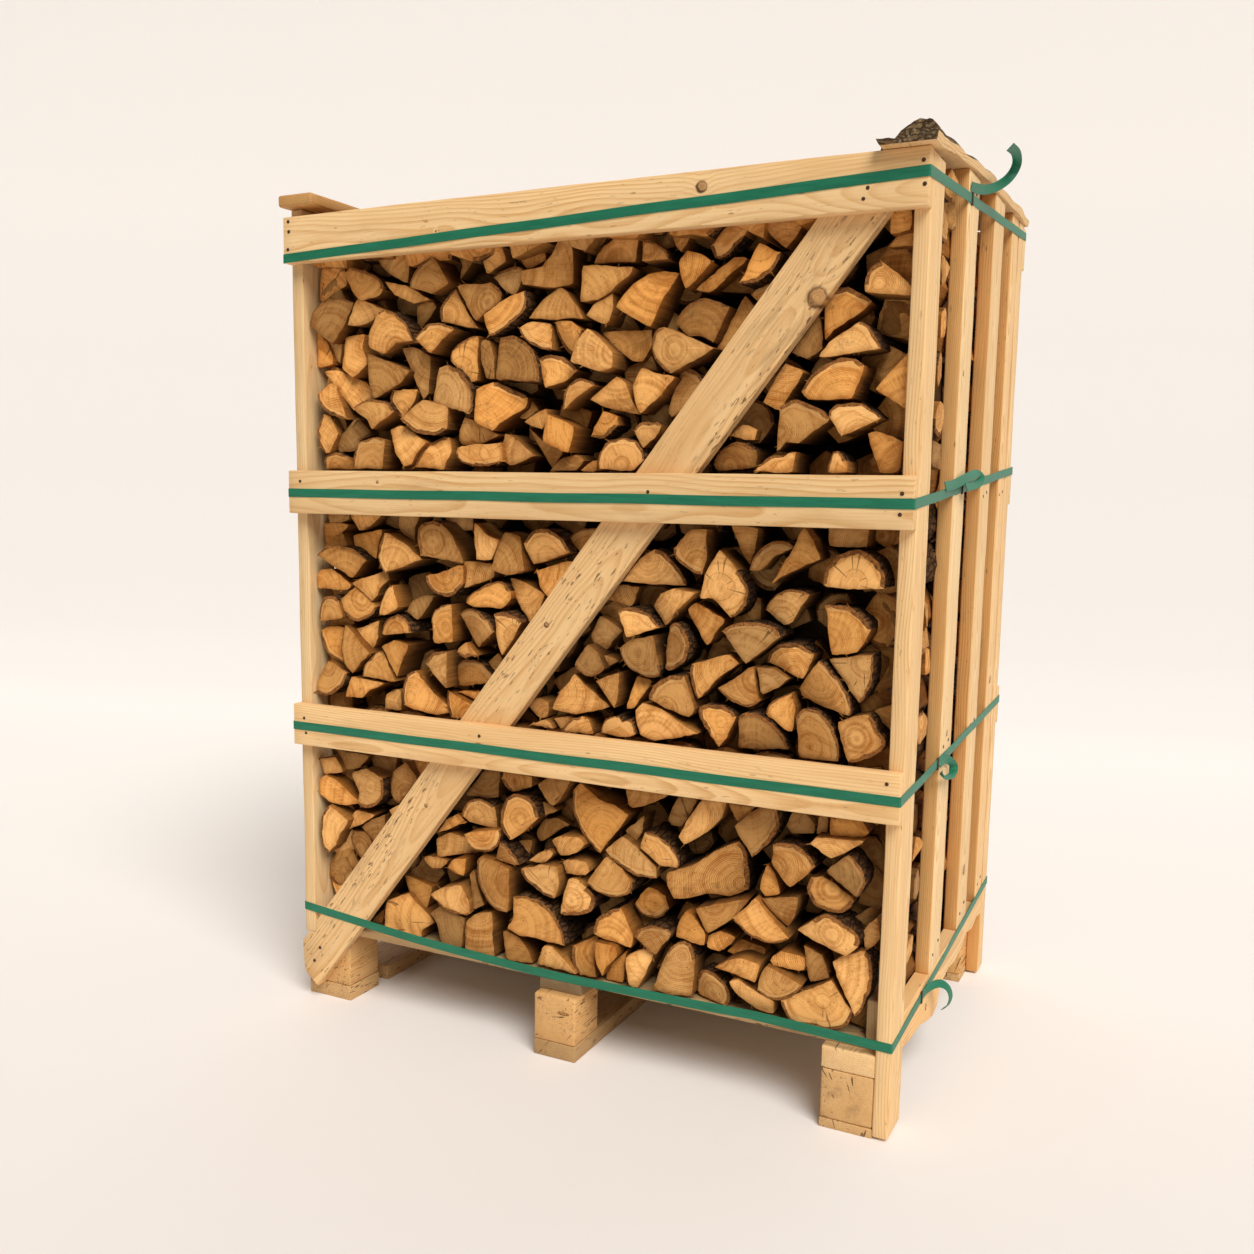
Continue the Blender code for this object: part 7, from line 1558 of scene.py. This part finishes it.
# For each strap its heights at the front left, front right, back right and back left corners, how far it
# sags at the front, the y of its clip, and its loose end's points with the directions across the band there.
Strap = collections.namedtuple("Strap", "heights droop seal tail")
STRAPS = {
    "strap_top": Strap((1.455, 1.495, 1.568, 1.520), 0.0, 0.302, (
        ((1.201, 0.287, 1.536), (0.29, -0.17, 0.94)),
        ((1.207, 0.368, 1.549), (0.05, -0.22, 0.97)),
        ((1.218, 0.424, 1.566), (-0.35, -0.28, 0.89)),
        ((1.23, 0.467, 1.589), (-0.69, -0.28, 0.66)),
        ((1.241, 0.47, 1.61), (-0.95, -0.21, 0.22)),
        ((1.246, 0.428, 1.619), (-0.93, -0.06, -0.37)),
        ((1.244, 0.378, 1.617), (-0.71, 0.07, -0.7)),
    )),
    "strap_upper": Strap((1.022, 1.022, 1.091, 1.055), 0.0, 0.344, (
        ((1.201, 0.204, 1.05), (-0.27, -0.06, 0.96)),
        ((1.204, 0.269, 1.055), (-0.4, -0.09, 0.91)),
        ((1.209, 0.334, 1.066), (-0.46, -0.1, 0.88)),
        ((1.213, 0.402, 1.075), (-0.3, 0.3, 0.9)),
        ((1.216, 0.435, 1.07), (0.5, 0.8, 0.2)),
        ((1.216, 0.4, 1.057), (0.58, 0.4, -0.6)),
        ((1.213, 0.317, 1.051), (0.27, 0.06, -0.96)),
    )),
    "strap_lower": Strap((0.569, 0.569, 0.602, 0.585), 0.0, 0.258, (
        ((1.201, 0.262, 0.578), (-0.5, 0.02, 0.8)),
        ((1.203, 0.302, 0.578), (-0.2, 0.3, 0.93)),
        ((1.208, 0.331, 0.57), (0.4, 0.6, 0.6)),
        ((1.212, 0.35, 0.554), (0.8, 0.7, 0.12)),
        ((1.214, 0.316, 0.547), (0.7, 0.6, -0.4)),
        ((1.213, 0.264, 0.555), (0.1, 0.7, -0.6)),
        ((1.211, 0.242, 0.569), (-0.4, 0.6, -0.5)),
    )),
    "strap_base": Strap((0.194, 0.161, 0.200, 0.196), 0.018, 0.222, (
        ((1.2008, 0.225, 0.171), (0, 0, 1)),
        ((1.2050, 0.255, 0.176), (0, 0.2, 1)),
        ((1.2180, 0.285, 0.176), (0, 0.8, 0.8)),
        ((1.2300, 0.302, 0.164), (0.2, 1, 0.2)),
        ((1.2350, 0.308, 0.146), (0.2, 1, 0)),
        ((1.2310, 0.306, 0.130), (0.2, 1, 0)),
        ((1.2230, 0.302, 0.124), (0.2, 1, 0)),
    )),
}


def strap_material():
    """Green plastic, embossed with small diamonds and scuffed."""
    nodes = Nodes("strap_plastic")
    place = nodes.place()
    x, y, z = nodes.split(place)
    run = x + y
    first = nodes.math("SINE", (run + z) * EMBOSS_PER_METRE)
    second = nodes.math("SINE", (run - z) * EMBOSS_PER_METRE)
    scuff = nodes.stretched_noise(place, (18, 18, 160), 4.0, 0.65)
    colour = nodes.mix(nodes.rise(scuff, 0.35, 0.75), STRAP_PALE, STRAP_SCUFF)
    colour = nodes.mix(nodes.noise(place, 5.0, 2.0) * 0.5, colour, STRAP_PATCH)
    height = first * second + scuff * 0.6
    return nodes.finish(0.4, colour, scuff * 0.25 + 0.34, nodes.bump(height, 0.25, 0.0004))


def strap_run(strap, round_posts):
    """Points and directions across the strap, round the crate from its front left corner."""
    front = (POST_FRONT_Y if round_posts else 0.0) - STRAP_GAP
    back = (POST_BACK_Y if round_posts else DEPTH) + STRAP_GAP
    left, right = -STRAP_GAP, WIDTH + STRAP_GAP
    turns = ((left, front), (right, front), (right, back), (left, back))
    stations = []
    for side, (x, y) in enumerate(turns):
        next_x, next_y = turns[(side + 1) % 4]
        length = math.hypot(next_x - x, next_y - y)
        low, high = strap.heights[side], strap.heights[(side + 1) % 4]
        droop = strap.droop if side == 0 else 0.0
        for step in range(STRAP_STEPS + 1):
            part = step / STRAP_STEPS
            run = (STRAP_END + (length - 2 * STRAP_END) * part) / length
            sag = droop * math.sin(math.pi * min(1.0, part * 1.25))
            ripple = 0.0006 * math.sin(23 * part + side) * math.sin(math.pi * part)
            z = low + (high - low) * part - sag + ripple
            stations.append(((x + (next_x - x) * run, y + (next_y - y) * run, z), (0, 0, 1)))
    return stations


def smooth_tail(stations):
    """A loose end's stations with more in between, on a smooth curve."""
    points = [Vector(point) for point, _ in stations]
    crosses = [Vector(cross).normalized() for _, cross in stations]
    out = []
    for number in range(len(points) - 1):
        before = points[max(0, number - 1)]
        after = points[min(len(points) - 1, number + 2)]
        for step in range(TAIL_STEPS):
            part = step / TAIL_STEPS
            place = catmull(before, points[number], points[number + 1], after, part)
            out.append((place, crosses[number].lerp(crosses[number + 1], part)))
    out.append((points[-1], crosses[-1]))
    return out


def ribbon(bm, stations, closed):
    """A band with a little thickness and six points round it, its thickness away from the crate."""
    points = [Vector(point) for point, _ in stations]
    befores = (points[-1:] if closed else points[:1]) + points[:-1]
    afters = points[1:] + (points[:1] if closed else points[-1:])
    rows = []
    for point, before, after, (_, cross) in zip(points, befores, afters, stations):
        cross = Vector(cross).normalized()
        out = (after - before).cross(cross).normalized()
        low = point - cross * STRAP_HEIGHT / 2
        high = point + cross * STRAP_HEIGHT / 2
        full, edge = out * STRAP_THICK, out * STRAP_THICK * STRAP_EDGE_THICK
        ring = [low, low + edge, low.lerp(high, STRAP_EDGE) + full]
        ring += [low.lerp(high, 1.0 - STRAP_EDGE) + full, high + edge, high]
        rows.append([bm.verts.new(at(*place)) for place in ring])
    for ring, following in zip(rows, rows[1:] + (rows[:1] if closed else [])):
        list(bridge(bm, ring, following))
    if not closed:
        bm.faces.new(rows[0])
        bm.faces.new(rows[-1])


def strap_seal(bm, strap):
    """The crimped metal clip that holds a strap's ends together, on the right wall."""
    front, back = strap.heights[1:3]
    slope = (back - front) / DEPTH
    x = WIDTH + STRAP_GAP + SEAL_SIZE[0] / 2 - 0.0004
    made = bmesh.ops.create_cube(bm, size=1.0)["verts"]
    bmesh.ops.scale(bm, vec=SEAL_SIZE, verts=made)
    for vertex in made:
        vertex.co.z += vertex.co.y * slope
    bmesh.ops.translate(bm, vec=at(x, strap.seal, front + strap.seal * slope), verts=made)
    for face in {face for vertex in made for face in vertex.link_faces}:
        face.material_index = 1


def make_straps():
    """Each strap with its loose end and its clip."""
    materials = [strap_material(), nail_material()]
    for name, strap in STRAPS.items():
        bm = bmesh.new()
        ribbon(bm, strap_run(strap, name == "strap_base"), True)
        ribbon(bm, smooth_tail(strap.tail), False)
        strap_seal(bm, strap)
        bmesh.ops.recalc_face_normals(bm, faces=bm.faces)
        settle(new_piece(mesh_from(bm, f"{name}_band"), materials, 40), "strap_green", name)


# Nails

NAIL_RADIUS = 0.0037
NAIL_HEIGHT = 0.0016
STEEL = (0.055, 0.045, 0.040)
RUST = (0.125, 0.060, 0.030)
FRONT_NAILS = (
    (0.013, 1.521), (0.014, 1.503), (0.011, 1.471), (1.19, 1.51), (1.193, 1.477), (1.11, 1.479),
    (1.104, 1.464), (0.029, 1.044), (0.763, 1.034), (1.181, 1.037), (1.179, 1.006), (0.027, 0.585),
    (0.031, 0.556), (0.434, 0.592), (1.178, 0.595),
)
SLAT_NAIL_HEIGHTS = (0.225, 0.60, 1.04)
CAP_NAILS_Y = (0.05, 0.21, 0.44, 0.66, 0.82)
CAP_TOP = 1.5688


def nail_material():
    """Dark steel with a little rust."""
    nodes = Nodes("nail_steel")
    rust = nodes.noise(nodes.place(), 900.0)
    nodes.shader.inputs["Metallic"].default_value = 0.7
    return nodes.finish(0.5, nodes.mix(rust, STEEL, RUST), rust * 0.3 + 0.4)


def nail_places():
    """(centre, direction) of each head: on the back's rails, the front, the brace's foot, slats and cap."""
    rng = random.Random(5)
    heads = []

    def pair(x, y, z, along, up, outward):
        for side in (-1, 1):
            sideways = side * along + rng.uniform(-0.004, 0.004)
            upward = side * up + rng.uniform(-0.004, 0.004)
            shift = (sideways, 0.0) if outward[1] else (0.0, sideways)
            heads.append(((x + shift[0], y + shift[1], z + upward), outward))

    for place in ("top", "middle", "bottom"):
        low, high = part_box(f"rail_back_{place}")
        for x in (0.013, WIDTH - 0.014):
            pair(x, DEPTH, (low.z + high.z) / 2, 0.002, 0.021, (0, 1, 0))
    heads += [((x, 0.0, z), (0, -1, 0)) for x, z in FRONT_NAILS]
    pair(0.030, 0.022, 0.095, 0.010, 0.012, (0, -1, 0))
    for side, x, outward in (("right", WIDTH, 1), ("left", 0.0, -1)):
        for number in (1, 2, 3):
            low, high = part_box(f"slat_{side}_{number}")
            for z in (*SLAT_NAIL_HEIGHTS, high.z - 0.03):
                pair(x, (low.y + high.y) / 2 - CORNER.y, z, 0.018, 0.004, (outward, 0, 0))
    heads += [((0.016 + rng.uniform(-0.003, 0.003), y, CAP_TOP), (0, 0, 1)) for y in CAP_NAILS_Y]
    return heads


def make_nails():
    bm = bmesh.new()
    head = {"segments": 12, "radius1": NAIL_RADIUS, "radius2": NAIL_RADIUS * 0.72, "depth": NAIL_HEIGHT}
    for centre, outward in nail_places():
        turn = Vector((0, 0, 1)).rotation_difference(Vector(outward)).to_matrix().to_4x4()
        matrix = Matrix.Translation(at(*centre) + Vector(outward) * 0.0001) @ turn
        bmesh.ops.create_cone(bm, cap_ends=True, matrix=matrix, **head)
    settle(new_piece(mesh_from(bm, "nail_heads"), [nail_material()]), "pine")


# Studio

SUN_FROM = (0.50, -0.47, 0.73)
SUN_STRENGTH = 3.05
SUN_ANGLE = 36.0
SUN_COLOUR = (1.0, 0.98, 0.95)
SKY_STRENGTH = 0.26
SKY_COLOUR = (1.0, 0.94, 0.86, 1.0)
SWEEP_START = 2.2
SWEEP_RADIUS = 3.0
SWEEP_STEPS = 28
FLOOR_FRONT = -6.0
FLOOR_HALF_WIDTH = 12.0
FLOOR_TURN = 15.0
BACKDROP_TOP = 9.0
PAPER = (1.0, 0.957, 0.925)
PAPER_BY_SLOPE = (
    (0.0, 0.910), (0.15, 0.840), (0.35, 0.775), (0.60, 0.725), (0.80, 0.718), (0.90, 0.738), (0.97, 0.795),
    (1.0, 0.870),
)


def paper_material():
    """Pale paper whose tone goes with its slope, as the photo's even background does."""
    nodes = Nodes("studio_paper")
    stops = [(up, tuple(part * tint for tint in PAPER)) for up, part in PAPER_BY_SLOPE]
    return nodes.finish(0.1, nodes.ramp(nodes.facing("Normal")[2], *stops), 0.9)


def make_studio():
    """A pale floor that sweeps up into a backdrop."""
    profile = [(FLOOR_FRONT, 0.0), (SWEEP_START, 0.0)]
    for step in range(1, SWEEP_STEPS + 1):
        turn = math.pi / 2 * step / SWEEP_STEPS
        profile.append((SWEEP_START + SWEEP_RADIUS * math.sin(turn), SWEEP_RADIUS * (1.0 - math.cos(turn))))
    profile.append((SWEEP_START + SWEEP_RADIUS, BACKDROP_TOP))
    bm = bmesh.new()
    sides = (-FLOOR_HALF_WIDTH, FLOOR_HALF_WIDTH)
    rows = [[bm.verts.new((side, along, up)) for side in sides] for along, up in profile]
    for first, second in zip(rows, rows[1:]):
        bm.faces.new((first[0], first[1], second[1], second[0]))
    floor = new_piece(mesh_from(bm, "studio_floor"), [paper_material()], 180)
    floor.rotation_euler = (0.0, 0.0, math.radians(FLOOR_TURN))


def make_lights():
    """One very soft light from the front right and above, and an even glow from all round."""
    light = bpy.data.lights.new("soft_key", "SUN")
    light.energy = SUN_STRENGTH
    light.angle = math.radians(SUN_ANGLE)
    light.color = SUN_COLOUR
    lamp = bpy.data.objects.new("soft_key", light)
    lamp.rotation_euler = (-Vector(SUN_FROM)).to_track_quat("-Z", "Y").to_euler()
    bpy.context.scene.collection.objects.link(lamp)
    world = bpy.data.worlds.new("studio")
    world.use_nodes = True
    background = world.node_tree.nodes["Background"]
    background.inputs["Color"].default_value = SKY_COLOUR
    background.inputs["Strength"].default_value = SKY_STRENGTH
    bpy.context.scene.world = world


def make_camera():
    """The photo's viewpoint, worked out from the crate's straight edges."""
    data = bpy.data.cameras.new("camera")
    data.lens = CAMERA_LENS
    data.sensor_width = 36.0
    data.shift_y = CAMERA_SHIFT_Y
    camera = bpy.data.objects.new("camera", data)
    forward = Vector((
        math.sin(CAMERA_YAW) * math.cos(CAMERA_PITCH),
        math.cos(CAMERA_YAW) * math.cos(CAMERA_PITCH),
        -math.sin(CAMERA_PITCH),
    ))
    level = Vector((math.cos(CAMERA_YAW), -math.sin(CAMERA_YAW), 0.0))
    down = forward.cross(level)
    right = level * math.cos(CAMERA_ROLL) + down * math.sin(CAMERA_ROLL)
    down = down * math.cos(CAMERA_ROLL) - level * math.sin(CAMERA_ROLL)
    turn = Matrix((right, -down, -forward)).transposed()
    camera.matrix_world = Matrix.Translation(at(*CAMERA_PLACE)) @ turn.to_4x4()
    bpy.context.scene.collection.objects.link(camera)
    bpy.context.scene.camera = camera


make_camera()
dress_timber()
make_slab()
make_straps()
make_nails()
stack_logs()
make_studio()
make_lights()
bpy.context.scene.view_settings.view_transform = "Standard"
